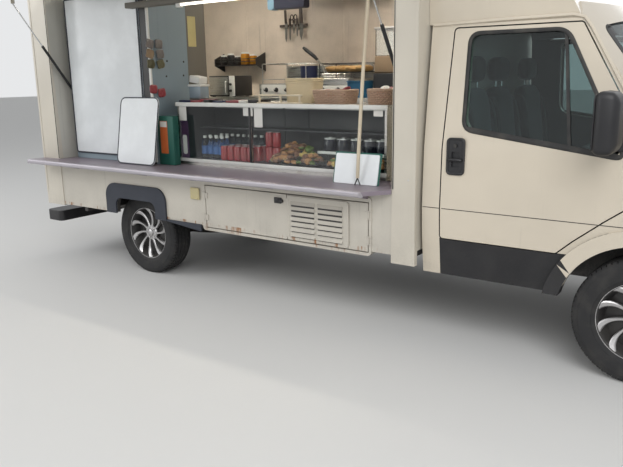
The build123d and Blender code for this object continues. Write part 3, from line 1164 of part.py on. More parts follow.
def steering_wheel():
    """Rim, three spokes and boss, square to the steering column."""
    rim = Torus(185.0, 15.0)
    boss = Pos(0, 0, -10.0) * Cylinder(52.0, 44.0)
    shape = rim + boss
    for angle in (0.0, 180.0, 270.0):
        shape += Rot(0, 0, angle) * Pos(110.0, 0, -4.0) * Box(140.0, 30.0, 14.0)
    shape += Pos(0, 0, -70.0) * Cylinder(14.0, 100.0)
    return steering_place() * shape


def steering_place():
    """Where the steering wheel sits: its plane leans back from the column."""
    return Pos(STEERING_X, STEERING_Y, STEERING_Z) * Rot(0, -(90.0 - STEERING_RAKE), 0)


def steering_column():
    """Column shroud from the dashboard to just below the wheel, and the bore for the shaft."""
    shroud = Pos(0, 0, -150.0) * Cylinder(34.0, 180.0)
    bore = Pos(0, 0, -90.0) * Cylinder(14.0 + PIN_CLEARANCE, 130.0)
    return steering_place() * shroud, steering_place() * bore


def build():
    """Every node of the vehicle, from the front axle's centre on the ground."""
    nodes = cab_pieces()
    nodes = hang_doors(nodes)
    nodes = hang_bonnet(nodes)
    outer = cab_volume(0.0)
    grille, lamp_shapes = lamps_and_grille(outer)
    shell = nodes["cab_body"]
    lamp_bodies = []
    for lamp in lamp_shapes:
        lamp_bodies.append((outer - cab_volume(60.0)) & lamp)
        shell -= lamp
    nodes["cab_body"] = shell - block(700.0, 1000.0, -430.0, 430.0, 690.0, 905.0)
    nodes["headlamps"] = group(*lamp_bodies)
    nodes["front_bumper"] = front_bumper()
    nodes["grille"] = grille
    nodes["cab_floor"] = cab_floor()
    nodes["seats"] = seats()
    shroud, bore = steering_column()
    nodes["dashboard"] = (dashboard() + shroud) - bore
    nodes["steering_wheel"] = steering_wheel()
    nodes["chassis_frame"] = chassis_frame()
    nodes["front_suspension"] = front_suspension()
    nodes["rear_axle"] = rear_axle()
    nodes.update(underbody_pieces())
    nodes["knuckle_left"] = knuckle_left()
    nodes["knuckle_right"] = mirror(knuckle_left(), about=Plane.XZ)
    nodes.update(wheel_pieces())
    nodes["box_floor"] = box_floor()
    nodes["left_wall"] = left_wall()
    front, rear = end_walls()
    nodes["front_wall"] = front
    panel = side_panel()
    frame = opening_frame()
    nodes["roof"] = roof()
    nodes["overcab_fairing"] = overcab_fairing()
    nodes["arch_trims"] = trims()
    nodes["rear_bumper"], nodes["rear_lamps"] = rear_end_pieces()
    nodes["counter"] = counter()
    nodes["display_case"] = display_case()
    nodes["display_glass"] = display_glass()
    nodes.update(kitchen_pieces())
    nodes["menu_boards"] = menu_boards()
    nodes["hatch_pole"] = hatch_pole()
    nodes["hatch"], hatch_pin = hatch_and_hinge()
    for piece in [hatch_pin] + strut_foot_pins():
        frame += piece
    nodes["opening_frame"] = frame
    nodes.update(gas_struts())
    nodes["rear_door"], pins = rear_door()
    for pin in pins:
        rear += pin
    nodes["rear_wall"] = rear
    nodes["locker_door_rear"], nodes["locker_door_front"], pins = locker_doors()
    for pin in pins:
        panel += pin
    nodes["side_panel"] = panel
    nodes["locker_box"] = locker_box()
    nodes["wall_shelf"] = wall_shelf()
    return nodes


def footprint_centre(nodes):
    """The middle of the vehicle's box in plan, where its origin goes."""
    boxes = [shape.bounding_box() for shape in nodes.values()]
    x = (min(b.min.X for b in boxes) + max(b.max.X for b in boxes)) / 2
    y = (min(b.min.Y for b in boxes) + max(b.max.Y for b in boxes)) / 2
    return Vector(x, y, min(b.min.Z for b in boxes))


def joint_places():
    """A point on the axis of each joint, from the front axle's centre on the ground."""
    foot, opened, closed = strut_ends()
    return {
        "front wheel left": (0.0, FRONT_WHEEL_Y, TYRE_RADIUS),
        "rear wheel left": (-WHEELBASE, REAR_WHEEL_Y, TYRE_RADIUS),
        "kingpin left": (0.0, KINGPIN_Y, TYRE_RADIUS),
        "steering wheel": (STEERING_X, STEERING_Y, STEERING_Z),
        "cab door left": (DOOR_HINGE_X, DOOR_HINGE_Y, DOOR_HINGE_Z[0]),
        "bonnet": (BONNET_HINGE_X, 0.0, BONNET_HINGE_Z),
        "hatch": (0.0, -BOX_Y, HINGE_Z),
        "strut foot": (STRUT_X[0], foot[0], foot[1]),
        "strut eye, hatch open": (STRUT_X[0], opened[0], opened[1]),
        "strut eye, hatch closed": (STRUT_X[0], closed[0], closed[1]),
        "tow plate": (TOW_PLATE_X, 0.0, TOW_PLATE_Z),
        "tow eye": (TOW_EYE_X, RAIL_Y, TOW_EYE_Z),
        "rear door": (REAR_HINGE_X, REAR_HINGE_Y, 900.0),
        "locker door rear": (LOCKER_REAR + 1.0, LOCKER_HINGE_Y, 590.0),
        "locker door front": (LOCKER_FRONT - 1.0, LOCKER_HINGE_Y, 590.0),
    }


def main():
    os.makedirs("parts", exist_ok=True)
    nodes = build()
    centre = footprint_centre(nodes)
    print("origin moved by", round(-centre.X, 3), round(-centre.Y, 3), round(-centre.Z, 3))
    for name, (x, y, z) in joint_places().items():
        print("joint", name, round(x - centre.X, 3), round(y - centre.Y, 3), round(z - centre.Z, 3))
    for name, shape in nodes.items():
        moved = Pos(-centre.X, -centre.Y, -centre.Z) * Compound(children=solids_of(shape))
        export_step(moved, f"parts/{name}.step")


main()
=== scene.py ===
import json
import logging
import math
from collections.abc import Iterable, Sequence
from dataclasses import dataclass, field
from enum import Enum

import bmesh
import bpy
import numpy as np
from mathutils import Matrix, Vector

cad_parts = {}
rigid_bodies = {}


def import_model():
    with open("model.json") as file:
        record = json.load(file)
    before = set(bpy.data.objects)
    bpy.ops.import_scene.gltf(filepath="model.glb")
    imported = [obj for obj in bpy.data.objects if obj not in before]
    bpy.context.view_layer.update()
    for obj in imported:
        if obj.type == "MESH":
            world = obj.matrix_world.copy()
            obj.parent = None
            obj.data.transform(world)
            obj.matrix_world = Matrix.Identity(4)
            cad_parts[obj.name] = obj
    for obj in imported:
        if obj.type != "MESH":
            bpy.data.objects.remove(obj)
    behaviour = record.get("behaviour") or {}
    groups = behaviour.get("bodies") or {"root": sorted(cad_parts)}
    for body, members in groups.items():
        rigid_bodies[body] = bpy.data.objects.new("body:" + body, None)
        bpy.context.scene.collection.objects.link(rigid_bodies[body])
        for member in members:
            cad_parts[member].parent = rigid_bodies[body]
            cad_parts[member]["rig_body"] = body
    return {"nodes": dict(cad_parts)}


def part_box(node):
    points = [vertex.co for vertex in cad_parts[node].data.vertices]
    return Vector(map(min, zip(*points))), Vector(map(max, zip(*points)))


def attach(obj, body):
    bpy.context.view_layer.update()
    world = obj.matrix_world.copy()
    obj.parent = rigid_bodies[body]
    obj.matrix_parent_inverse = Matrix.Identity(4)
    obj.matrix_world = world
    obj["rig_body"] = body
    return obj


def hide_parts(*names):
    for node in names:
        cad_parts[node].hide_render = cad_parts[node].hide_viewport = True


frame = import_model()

LOG = logging.getLogger("food_truck")
Array = np.ndarray
Colour = tuple[float, float, float]
Point = tuple[float, float, float]
TAU = 2.0 * math.pi
SIDES = (-1.0, 1.0)
ORIGIN = (0.0, 0.0, 0.0)
UP, DOWN = (0.0, 0.0, 1.0), (0.0, 0.0, -1.0)
LEFT, RIGHT = (0.0, 1.0, 0.0), (0.0, -1.0, 0.0)
AHEAD, BACK = (1.0, 0.0, 0.0), (-1.0, 0.0, 0.0)


def front_axle() -> Array:
    """Point on the ground midway between the front wheels, from which every piece is laid out.

    Returns:
        The point in the frame's coordinates, in metres.
    """
    left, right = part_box("wheel_front_left"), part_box("wheel_front_right")
    middle = (left[0] + left[1] + right[0] + right[1]) / 4
    return np.array([middle.x, middle.y, 0.0])


AXLE = front_axle()
SAME_POINT, SAME_CAD_POINT, NO_LENGTH = 2e-6, 1e-5, 1e-6
SKIN_SHARP, SOFTENED_FROM, FLAT_WITHIN = 30.0, 34.0, 0.4
LOOKS_THAT_WAY = 0.7


def node_box(node: str) -> tuple[Array, Array]:
    """Lowest and highest corner of a CAD node, from the front axle's middle on the ground."""
    low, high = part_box(node)
    return np.array(low) - AXLE, np.array(high) - AXLE


# Surfaces worked out as arrays


@dataclass
class Shape:
    """One surface: its points, its faces as rows of point numbers, and how it is shaded."""

    points: Array
    faces: list[Array]
    finish: int = 0

    def moved(self, x: float = 0.0, y: float = 0.0, z: float = 0.0) -> "Shape":
        """The surface shifted by a distance along each axis."""
        return Shape(self.points + np.array([x, y, z]), self.faces, self.finish)

    def turned(self, axis: str, degrees: float, about: Point = (0.0, 0.0, 0.0)) -> "Shape":
        """The surface turned about an axis through a point, by the right-hand rule.

        Args:
            axis: "X", "Y" or "Z".
            degrees: Angle of the turn.
            about: A point on the axis.

        Returns:
            The turned surface.
        """
        turn = np.array(Matrix.Rotation(math.radians(degrees), 3, axis))
        middle = np.array(about)
        return Shape((self.points - middle) @ turn.T + middle, self.faces, self.finish)

    def stretched(self, x: float = 1.0, y: float = 1.0, z: float = 1.0) -> "Shape":
        """The surface scaled along each axis from the origin."""
        return Shape(self.points * np.array([x, y, z]), self.faces, self.finish)

    def dressed(self, finish: int) -> "Shape":
        """The same surface with another of its piece's finishes."""
        return Shape(self.points, self.faces, finish)


def grid(points: Array, wrap_u: bool = False, wrap_v: bool = False) -> Shape:
    """Quads between neighbouring points of a grid; a wrapped direction joins its last row to its first.

    Args:
        points: Array of shape (rows, columns, 3).
        wrap_u: Whether the rows close on themselves.
        wrap_v: Whether the columns close on themselves.

    Returns:
        The surface.
    """
    rows, columns = points.shape[:2]
    u = np.arange(rows if wrap_u else rows - 1)[:, None]
    v = np.arange(columns if wrap_v else columns - 1)[None, :]
    u2, v2 = (u + 1) % rows, (v + 1) % columns
    quads = np.stack([u * columns + v, u * columns + v2, u2 * columns + v2, u2 * columns + v], axis=-1)
    return Shape(points.reshape(-1, 3), [quads.reshape(-1, 4)])


def capped(points: Array) -> Shape:
    """A tube of rings, closed by one face over its first ring and one over its last.

    Args:
        points: Array of shape (rings, points of a ring, 3).

    Returns:
        The closed surface.
    """
    wall = grid(points, wrap_v=True)
    rows, columns = points.shape[:2]
    first = np.arange(columns)[::-1][None, :]
    last = (np.arange(columns) + (rows - 1) * columns)[None, :]
    return Shape(wall.points, wall.faces + [first, last])


def rounded_box(low: Sequence[float], high: Sequence[float], radius: float, steps: int = 2) -> Shape:
    """A box with rounded edges.

    A point is the nearest corner of the box shrunk by the radius, plus the radius times a direction on
    the unit sphere; directions run over each eighth of the sphere, so the corners are parts of balls.

    Args:
        low: Lowest corner.
        high: Highest corner.
        radius: Radius of the edges.
        steps: Facets over a quarter turn.

    Returns:
        The closed surface.
    """
    low, high = np.minimum(low, high).astype(float), np.maximum(low, high).astype(float)
    radius = min(radius, float((high - low).min()) * 0.499)
    middle, half = (low + high) / 2, (high - low) / 2 - radius
    quarter = np.linspace(0.0, math.pi / 2, steps + 1)
    lon = np.concatenate([quarter + k * math.pi / 2 for k in range(4)])
    lon_x = np.repeat([1.0, -1.0, -1.0, 1.0], steps + 1)
    lon_y = np.repeat([1.0, 1.0, -1.0, -1.0], steps + 1)
    lat = np.concatenate([quarter - math.pi / 2, quarter])
    lat_z = np.repeat([-1.0, 1.0], steps + 1)
    x = radius * np.outer(np.cos(lat), np.cos(lon)) + half[0] * lon_x
    y = radius * np.outer(np.cos(lat), np.sin(lon)) + half[1] * lon_y
    z = np.repeat((radius * np.sin(lat) + half[2] * lat_z)[:, None], len(lon), axis=1)
    return capped(np.stack([x, y, z], axis=-1) + middle)


def lathe(profile: Sequence[tuple[float, float]], centre: Point, axis: str = "Y", steps: int = 48,
          ring: bool = False) -> Shape:
    """A profile of (radius, distance along the axis) turned about an axis through the centre.

    A point is centre + radius * (cos t, sin t) in the plane square to the axis + distance along it.

    Args:
        profile: Radius and distance of each ring.
        centre: A point on the axis.
        axis: "X", "Y" or "Z".
        steps: Facets round the axis.
        ring: Whether the profile closes on itself.

    Returns:
        The surface.
    """
    section = np.array(profile, dtype=float)
    t = np.linspace(0.0, TAU, steps, endpoint=False)
    radial = np.outer(section[:, 0], np.cos(t)), np.outer(section[:, 0], np.sin(t))
    along = np.repeat(section[:, 1:2], len(t), axis=1)
    order = {"X": (along, radial[0], radial[1]), "Y": (radial[1], along, radial[0]), "Z": (*radial, along)}
    return grid(np.stack(order[axis], axis=-1) + np.array(centre), wrap_u=ring, wrap_v=True)


def frames_along(path: Array, closed: bool) -> tuple[Array, Array]:
    """Two directions square to a path at each of its points, carried along it without twist.

    Args:
        path: Points of the path.
        closed: Whether the last point joins the first.

    Returns:
        The two directions, each of the path's shape.
    """
    ahead = np.roll(path, -1, axis=0) - np.roll(path, 1, axis=0)
    if not closed:
        ahead[0], ahead[-1] = path[1] - path[0], path[-1] - path[-2]
    ahead /= np.linalg.norm(ahead, axis=1)[:, None]
    side = np.cross(ahead[0], [0.0, 0.0, 1.0] if abs(ahead[0][2]) < 0.9 else [1.0, 0.0, 0.0])
    sides = np.empty_like(path)
    for k, direction in enumerate(ahead):
        side = side - direction * float(side @ direction)
        side /= np.linalg.norm(side)
        sides[k] = side
    return sides, np.cross(ahead, sides)


def tube(path: Array | Sequence[Point], radius: float | Array, steps: int = 10,
         closed: bool = False) -> Shape:
    """A round bar along a path: centre + radius * (cos t * side + sin t * up) at each point of the path.

    Args:
        path: Points of the centre line.
        radius: One radius, or one for each point.
        steps: Facets round the bar.
        closed: Whether the bar is a ring.

    Returns:
        The surface, with capped ends where it is open.
    """
    line = np.array(path, dtype=float)
    side, up = frames_along(line, closed)
    t = np.arange(steps) * TAU / steps
    reach = np.broadcast_to(np.asarray(radius, dtype=float), (len(line),))[:, None, None]
    ring = np.cos(t)[None, :, None] * side[:, None, :] + np.sin(t)[None, :, None] * up[:, None, :]
    rings = line[:, None, :] + reach * ring
    return grid(rings, wrap_u=True, wrap_v=True) if closed else capped(rings)


def strip(path: Array | Sequence[Point], section: Sequence[tuple[float, float]],
          out: Array | Sequence[float], closed: bool = True) -> Shape:
    """A flat section of (sideways, outwards) carried along a path that lies in a surface.

    A point is path + sideways * (direction of travel x out) + outwards * out.

    Args:
        path: Points of the line that the strip follows.
        section: Closed outline of the strip's section.
        out: Outward direction, one for the whole path or one for each point.
        closed: Whether the path closes on itself.

    Returns:
        The surface.
    """
    line = np.array(path, dtype=float)
    ahead = np.roll(line, -1, axis=0) - np.roll(line, 1, axis=0)
    if not closed:
        ahead[0], ahead[-1] = line[1] - line[0], line[-1] - line[-2]
    ahead /= np.linalg.norm(ahead, axis=1)[:, None]
    outward = np.broadcast_to(np.asarray(out, dtype=float), line.shape)
    sideways = np.cross(ahead, outward)
    sideways /= np.linalg.norm(sideways, axis=1)[:, None]
    flat = np.array(section, dtype=float)
    rings = line[:, None] + flat[None, :, :1] * sideways[:, None] + flat[None, :, 1:] * outward[:, None]
    return grid(rings, wrap_u=True, wrap_v=True) if closed else capped(rings)


def rounded_outline(corners: Sequence[tuple[float, float]], radius: float, steps: int = 6) -> Array:
    """A flat outline whose corners are arcs.

    Each corner becomes points on a quadratic curve from a radius before it to a radius after it.

    Args:
        corners: Corners in order.
        radius: How far from the corner the rounding starts.
        steps: Points on each corner.

    Returns:
        The outline's points, of shape (n, 2).
    """
    points = np.array(corners, dtype=float)
    before, after = np.roll(points, 1, axis=0) - points, np.roll(points, -1, axis=0) - points
    length_before, length_after = np.linalg.norm(before, axis=1), np.linalg.norm(after, axis=1)
    reach = np.minimum(radius, np.minimum(length_before, length_after) * 0.49)[:, None]
    start = points + before / length_before[:, None] * reach
    end = points + after / length_after[:, None] * reach
    t = np.linspace(0.0, 1.0, steps)[None, :, None]
    arcs = (1 - t) ** 2 * start[:, None, :] + 2 * t * (1 - t) * points[:, None, :] + t**2 * end[:, None, :]
    return arcs.reshape(-1, 2)


def rounded_rectangle(low: tuple[float, float], high: tuple[float, float], radius: float,
                      steps: int = 6) -> Array:
    """A flat rectangle between two corners, its own corners rounded as those of rounded_outline."""
    return rounded_outline([low, (high[0], low[1]), high, (low[0], high[1])], radius, steps)


def flat_section(half: float, low: float, high: float) -> list[tuple[float, float]]:
    """A strip's section: a rectangle of a half width, from one height off the surface to another."""
    return [(-half, low), (-half, high), (half, high), (half, low)]


def laid(outline: Array, plane: str, place: float) -> Array:
    """A flat outline put in an upright or level plane.

    Args:
        outline: Points in the plane.
        plane: "XZ", "YZ" or "XY".
        place: Where the plane stands along the third axis.

    Returns:
        Points of shape (n, 3).
    """
    first, second, third = outline[:, 0], outline[:, 1], np.full(len(outline), place)
    order = {"XZ": (first, third, second), "YZ": (third, first, second), "XY": (first, second, third)}
    return np.stack(order[plane], axis=-1)


def plate(outline: Array, plane: str, low: float, high: float, edge: float = 0.0) -> Shape:
    """A flat outline given a thickness, its two faces drawn in by an edge radius.

    Args:
        outline: Points of the outline in the plane.
        plane: "XZ", "YZ" or "XY".
        low: Where it starts along the third axis.
        high: Where it ends.
        edge: How far the rim of each face is drawn in and back.

    Returns:
        The closed surface.
    """
    ahead = np.roll(outline, -1, axis=0) - np.roll(outline, 1, axis=0)
    inward = np.stack([-ahead[:, 1], ahead[:, 0]], axis=1)
    inward /= np.maximum(np.linalg.norm(inward, axis=1), 1e-9)[:, None]
    area = np.sum(outline[:, 0] * np.roll(outline[:, 1], -1) - np.roll(outline[:, 0], -1) * outline[:, 1])
    inward *= math.copysign(1.0, area)
    levels = [(low, 0.0), (high, 0.0)]
    if edge:
        levels = [(low, edge), (low + edge, 0.0), (high - edge, 0.0), (high, edge)]
    return capped(np.array([laid(outline + inward * draw, plane, level) for level, draw in levels]))


def tub(outline: Array, rows: Sequence[tuple[float, float]]) -> Shape:
    """An upright tub: its outline at each height, scaled about its middle.

    Args:
        outline: Points (x, y).
        rows: Height and scale of each ring.

    Returns:
        The closed surface.
    """
    middle = outline.mean(axis=0)
    return capped(np.array([laid(middle + (outline - middle) * scale, "XY", z) for z, scale in rows]))


def cushion(low: Sequence[float], high: Sequence[float], crown: float, power: float = 4.0,
            steps: int = 20) -> Shape:
    """A padded block: the surface |x|^p + |y|^p + |z|^p = 1 stretched to a box, its faces crowned.

    Args:
        low: Lowest corner.
        high: Highest corner.
        crown: Share by which the middle of each face is fuller than its rim.
        power: How square the block is.
        steps: Facets from pole to pole.

    Returns:
        The closed surface.
    """
    low, high = np.array(low, dtype=float), np.array(high, dtype=float)
    lat = np.linspace(-math.pi / 2, math.pi / 2, steps + 1)[:, None]
    lon = np.arange(2 * steps)[None, :] * TAU / (2 * steps)
    ball = np.stack([np.cos(lat) * np.cos(lon), np.cos(lat) * np.sin(lon), np.sin(lat) + 0 * lon], axis=-1)
    norm = (np.abs(ball) ** power).sum(axis=-1, keepdims=True) ** (1 / power)
    body = ball / norm
    inwards = np.sqrt(np.clip(1.0 - (body * 0.98) ** 2, 0.0, 1.0)) + 0.35
    fullness = 1.0 - crown * (1.0 - np.prod(inwards, axis=-1, keepdims=True).clip(0.0, 1.0))
    return capped(body * fullness * (high - low) / 2 + (low + high) / 2)


@dataclass
class Piece:
    """One object of the vehicle, put together from surfaces."""

    name: str
    shapes: list[Shape] = field(default_factory=list)

    def add(self, *shapes: Shape) -> "Piece":
        """Puts surfaces into the piece."""
        self.shapes += shapes
        return self

    def build(self, *finishes: "Finish", body: str = "root", replaces: Iterable[str] = (),
              angle: float = 34.0, slot: str | None = None) -> bpy.types.Object:
        """Makes the mesh, dresses it and lets it ride on a body.

        Args:
            finishes: Its finishes, in the order that the surfaces number them.
            body: The CAD body that carries it.
            replaces: CAD nodes that it stands for.
            angle: Edges sharper than this many degrees stay sharp.
            slot: The record's material slot; not used.

        Returns:
            The object.
        """
        points, faces, slots, start = [], [], [], 0
        for shape in self.shapes:
            points.append(shape.points)
            for rows in shape.faces:
                faces += (rows + start).tolist()
                slots += [shape.finish] * len(rows)
            start += len(shape.points)
        mesh = bpy.data.meshes.new(self.name)
        mesh.from_pydata((np.concatenate(points) + AXLE).tolist(), [], faces)
        mesh.polygons.foreach_set("material_index", np.array(slots, dtype=np.int32))
        tidy_mesh(mesh, angle)
        for finish in finishes:
            mesh.materials.append(finish.material())
        piece = bpy.data.objects.new(self.name, mesh)
        bpy.context.scene.collection.objects.link(piece)
        return settle(piece, body, replaces)


def settle(piece: bpy.types.Object, body: str, replaces: Iterable[str]) -> bpy.types.Object:
    """Lets a finished object ride on its body and stand for its CAD nodes.

    Args:
        piece: The object.
        body: The CAD body that carries it.
        replaces: CAD nodes that it stands for.

    Returns:
        The same object.
    """
    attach(piece, body)
    if replaces:
        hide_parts(*replaces)
    LOG.info("%s rides on %s, %d faces", piece.name, body, len(piece.data.polygons))
    return piece


def tidy_mesh(mesh: bpy.types.Mesh, angle: float) -> None:
    """Merges doubles, closes seams, turns the faces outwards and keeps edges over an angle sharp.

    Args:
        mesh: The mesh, changed in place.
        angle: Edges sharper than this many degrees stay sharp.
    """
    work = bmesh.new()
    work.from_mesh(mesh)
    bmesh.ops.remove_doubles(work, verts=work.verts, dist=SAME_POINT)
    bmesh.ops.dissolve_degenerate(work, dist=NO_LENGTH, edges=work.edges)
    bmesh.ops.recalc_face_normals(work, faces=work.faces)
    work.to_mesh(mesh)
    work.free()
    mesh.shade_smooth()
    mesh.set_sharp_from_angle(angle=math.radians(angle))
    mesh.update()


# Finishes


class Graph:
    """Makes and joins the nodes of one shader tree."""

    def __init__(self, tree: bpy.types.NodeTree) -> None:
        """Takes the tree to build in."""
        self.tree = tree

    def node(self, kind: str, inputs: dict | None = None, **settings: object) -> bpy.types.Node:
        """Adds a node, sets its properties, and fills or joins its inputs.

        Args:
            kind: Blender's node type.
            inputs: Socket name or number to a value or to another node's output.
            settings: Properties of the node.

        Returns:
            The node.
        """
        made = self.tree.nodes.new(kind)
        for name, value in settings.items():
            setattr(made, name, value)
        for key, value in (inputs or {}).items():
            if isinstance(value, bpy.types.NodeSocket):
                self.tree.links.new(value, made.inputs[key])
            else:
                made.inputs[key].default_value = value
        return made

    def maths(self, operation: str, first: object, second: object = 0.0,
              clamp: bool = False) -> bpy.types.NodeSocket:
        """The result of one sum on two values."""
        return self.node("ShaderNodeMath", {0: first, 1: second}, operation=operation,
                         use_clamp=clamp).outputs[0]

    def span(self, value: object, low: float, high: float, out_low: float = 0.0,
             out_high: float = 1.0) -> bpy.types.NodeSocket:
        """A value mapped smoothly from one range to another, and held at its ends.

        Args:
            value: The value or socket to map.
            low: Where the first range starts.
            high: Where it ends.
            out_low: What the low end becomes.
            out_high: What the high end becomes.

        Returns:
            The mapped value.
        """
        inputs = {"Value": value, "From Min": low, "From Max": high, "To Min": out_low, "To Max": out_high}
        return self.node("ShaderNodeMapRange", inputs, interpolation_type="SMOOTHSTEP",
                         clamp=True).outputs[0]

    def blend(self, share: object, first: object, second: object) -> bpy.types.NodeSocket:
        """A colour between two, by a share.

        Args:
            share: How much of the second colour.
            first: First colour or socket.
            second: Second colour or socket.

        Returns:
            The colour.
        """
        made = self.node("ShaderNodeMix", data_type="RGBA")
        for key, value in (("Factor_Float", share), ("A_Color", first), ("B_Color", second)):
            socket = next(s for s in made.inputs if s.identifier == key)
            if isinstance(value, bpy.types.NodeSocket):
                self.tree.links.new(value, socket)
            else:
                socket.default_value = value if key == "Factor_Float" else (*value[:3], 1.0)
        return next(s for s in made.outputs if s.identifier == "Result_Color")

    def noise(self, scale: float, detail: float = 3.0, stretch: Point = (1.0, 1.0,
                                                                         1.0)) -> bpy.types.NodeSocket:
        """Smooth noise over Object coordinates stretched along each axis.

        Args:
            scale: Cells in a metre.
            detail: Octaves.
            stretch: Factor on each axis before the noise.

        Returns:
            The noise, from 0 to 1.
        """
        place = self.node("ShaderNodeTexCoord").outputs["Object"]
        if stretch != (1.0, 1.0, 1.0):
            place = self.node("ShaderNodeMapping", {"Vector": place, "Scale": stretch}).outputs[0]
        inputs = {"Vector": place, "Scale": scale, "Detail": detail, "Roughness": 0.55}
        return self.node("ShaderNodeTexNoise", inputs).outputs["Fac"]


def new_group(name: str, inputs: Sequence[tuple[str, str, object]],
              outputs: Sequence[tuple[str, str]]) -> tuple:
    """An empty node group with its sockets.

    Args:
        name: The group's name.
        inputs: Name, kind ("Float" or "Color") and starting value of each input.
        outputs: Name and kind of each output.

    Returns:
        The group, a Graph in it, its input node and its output node.
    """
    group = bpy.data.node_groups.new(name, "ShaderNodeTree")
    for label, kind, value in inputs:
        socket = group.interface.new_socket(label, in_out="INPUT", socket_type=f"NodeSocket{kind}")
        socket.default_value = value
    for label, kind in outputs:
        group.interface.new_socket(label, in_out="OUTPUT", socket_type=f"NodeSocket{kind}")
    graph = Graph(group)
    return group, graph, graph.node("NodeGroupInput"), graph.node("NodeGroupOutput")


def road_grime_group() -> bpy.types.NodeTree:
    """Dust and splash that thins out with height above the ground, with blotches in it.

    mask = amount * (1 - height / reach, smoothed) * blotches, plus a light film everywhere.

    Returns:
        The node group.
    """
    group, graph, given, result = new_group(
        "road_grime", [("Clean", "Color", (0.8, 0.8, 0.8, 1.0)), ("Dirt", "Color", (0.18, 0.15, 0.12, 1.0)),
                       ("Amount", "Float", 0.5), ("Reach", "Float", 0.9)],
        [("Colour", "Color"), ("Mask", "Float")])
    place = graph.node("ShaderNodeTexCoord").outputs["Object"]
    height = graph.node("ShaderNodeSeparateXYZ", {0: place}).outputs["Z"]
    share = graph.maths("DIVIDE", height, given.outputs["Reach"])
    low = graph.span(share, 1.0, 0.15)
    blotch = graph.span(graph.noise(5.0, 5.0), 0.34, 0.72)
    fine = graph.span(graph.noise(90.0, 3.0), 0.4, 0.72)
    film = graph.maths("MULTIPLY", graph.span(graph.noise(2.2, 4.0), 0.42, 0.8), 0.22)
    specks = graph.maths("ADD", graph.maths("MULTIPLY", blotch, 0.8), graph.maths("MULTIPLY", fine, 0.35))
    splash = graph.maths("MULTIPLY", low, specks)
    mask = graph.maths("MULTIPLY", graph.maths("ADD", splash, film), given.outputs["Amount"], clamp=True)
    graph.tree.links.new(graph.blend(mask, given.outputs["Clean"], given.outputs["Dirt"]),
                         result.inputs["Colour"])
    graph.tree.links.new(mask, result.inputs["Mask"])
    return group


def rain_streak_group() -> bpy.types.NodeTree:
    """Thin upright streaks: noise drawn out along the height, kept where a slower noise lets it show.

    Returns:
        The node group.
    """
    group, graph, given, result = new_group(
        "rain_streaks", [("Strength", "Float", 0.5)], [("Mask", "Float")])
    lines = graph.span(graph.noise(38.0, 4.0, (1.0, 1.0, 0.035)), 0.55, 0.76)
    patches = graph.span(graph.noise(3.2, 2.0, (1.0, 1.0, 0.45)), 0.46, 0.66)
    shown = graph.maths(
        "MULTIPLY", graph.maths("MULTIPLY", lines, patches), given.outputs["Strength"], clamp=True)
    graph.tree.links.new(shown, result.inputs["Mask"])
    return group


def rust_bleed_group() -> bpy.types.NodeTree:
    """Rust that runs down from a level line: drawn-out noise under the line, fading with the drop.

    Returns:
        The node group.
    """
    group, graph, given, result = new_group("rust_bleed", [("Line", "Float", 0.8), ("Drop", "Float", 0.12),
                                                           ("Strength", "Float", 1.0)], [("Mask", "Float")])
    place = graph.node("ShaderNodeTexCoord").outputs["Object"]
    height = graph.node("ShaderNodeSeparateXYZ", {0: place}).outputs["Z"]
    below = graph.maths("DIVIDE", graph.maths("SUBTRACT", given.outputs["Line"], height),
                        given.outputs["Drop"])
    start = graph.span(below, -0.06, 0.04)
    fade = graph.span(below, 1.0, 0.0)
    runs = graph.span(graph.noise(46.0, 5.0, (1.0, 1.0, 0.06)), 0.47, 0.7)
    seat = graph.span(graph.noise(17.0, 3.0, (1.0, 1.0, 0.3)), 0.45, 0.62)
    mask = graph.maths("MULTIPLY", graph.maths("MULTIPLY", start, fade),
                       graph.maths("MULTIPLY", runs, seat))
    graph.tree.links.new(graph.maths("MULTIPLY", mask, given.outputs["Strength"], clamp=True),
                         result.inputs["Mask"])
    return group


def fine_grain_group() -> bpy.types.NodeTree:
    """Moulded grain: small cells with soft borders, over a slower wave.

    Returns:
        The node group.
    """
    group, graph, given, result = new_group(
        "fine_grain", [("Scale", "Float", 900.0)], [("Height", "Float")])
    place = graph.node("ShaderNodeTexCoord").outputs["Object"]
    cells = graph.node("ShaderNodeTexVoronoi", {"Vector": place, "Scale": given.outputs["Scale"]},
                       feature="SMOOTH_F1").outputs["Distance"]
    slow = graph.maths("MULTIPLY", graph.noise(14.0, 2.0), 0.6)
    graph.tree.links.new(graph.maths("ADD", cells, slow), result.inputs["Height"])
    return group


def brushed_group() -> bpy.types.NodeTree:
    """Brush lines and handling marks on sheet metal: noise drawn out along the vehicle, and smudges.

    Returns:
        The node group.
    """
    group, graph, given, result = new_group(
        "brushed_sheet", [("Marks", "Float", 0.5)], [("Lines", "Float"), ("Smudge", "Float")])
    lines = graph.noise(260.0, 3.0, (0.02, 1.0, 1.0))
    smudge = graph.maths("MULTIPLY", graph.span(graph.noise(6.0, 4.0), 0.42, 0.7), given.outputs["Marks"])
    graph.tree.links.new(lines, result.inputs["Lines"])
    graph.tree.links.new(smudge, result.inputs["Smudge"])
    return group


GROUP_MAKERS = {"road_grime": road_grime_group, "rain_streaks": rain_streak_group,
                "rust_bleed": rust_bleed_group, "fine_grain": fine_grain_group,
                "brushed_sheet": brushed_group}


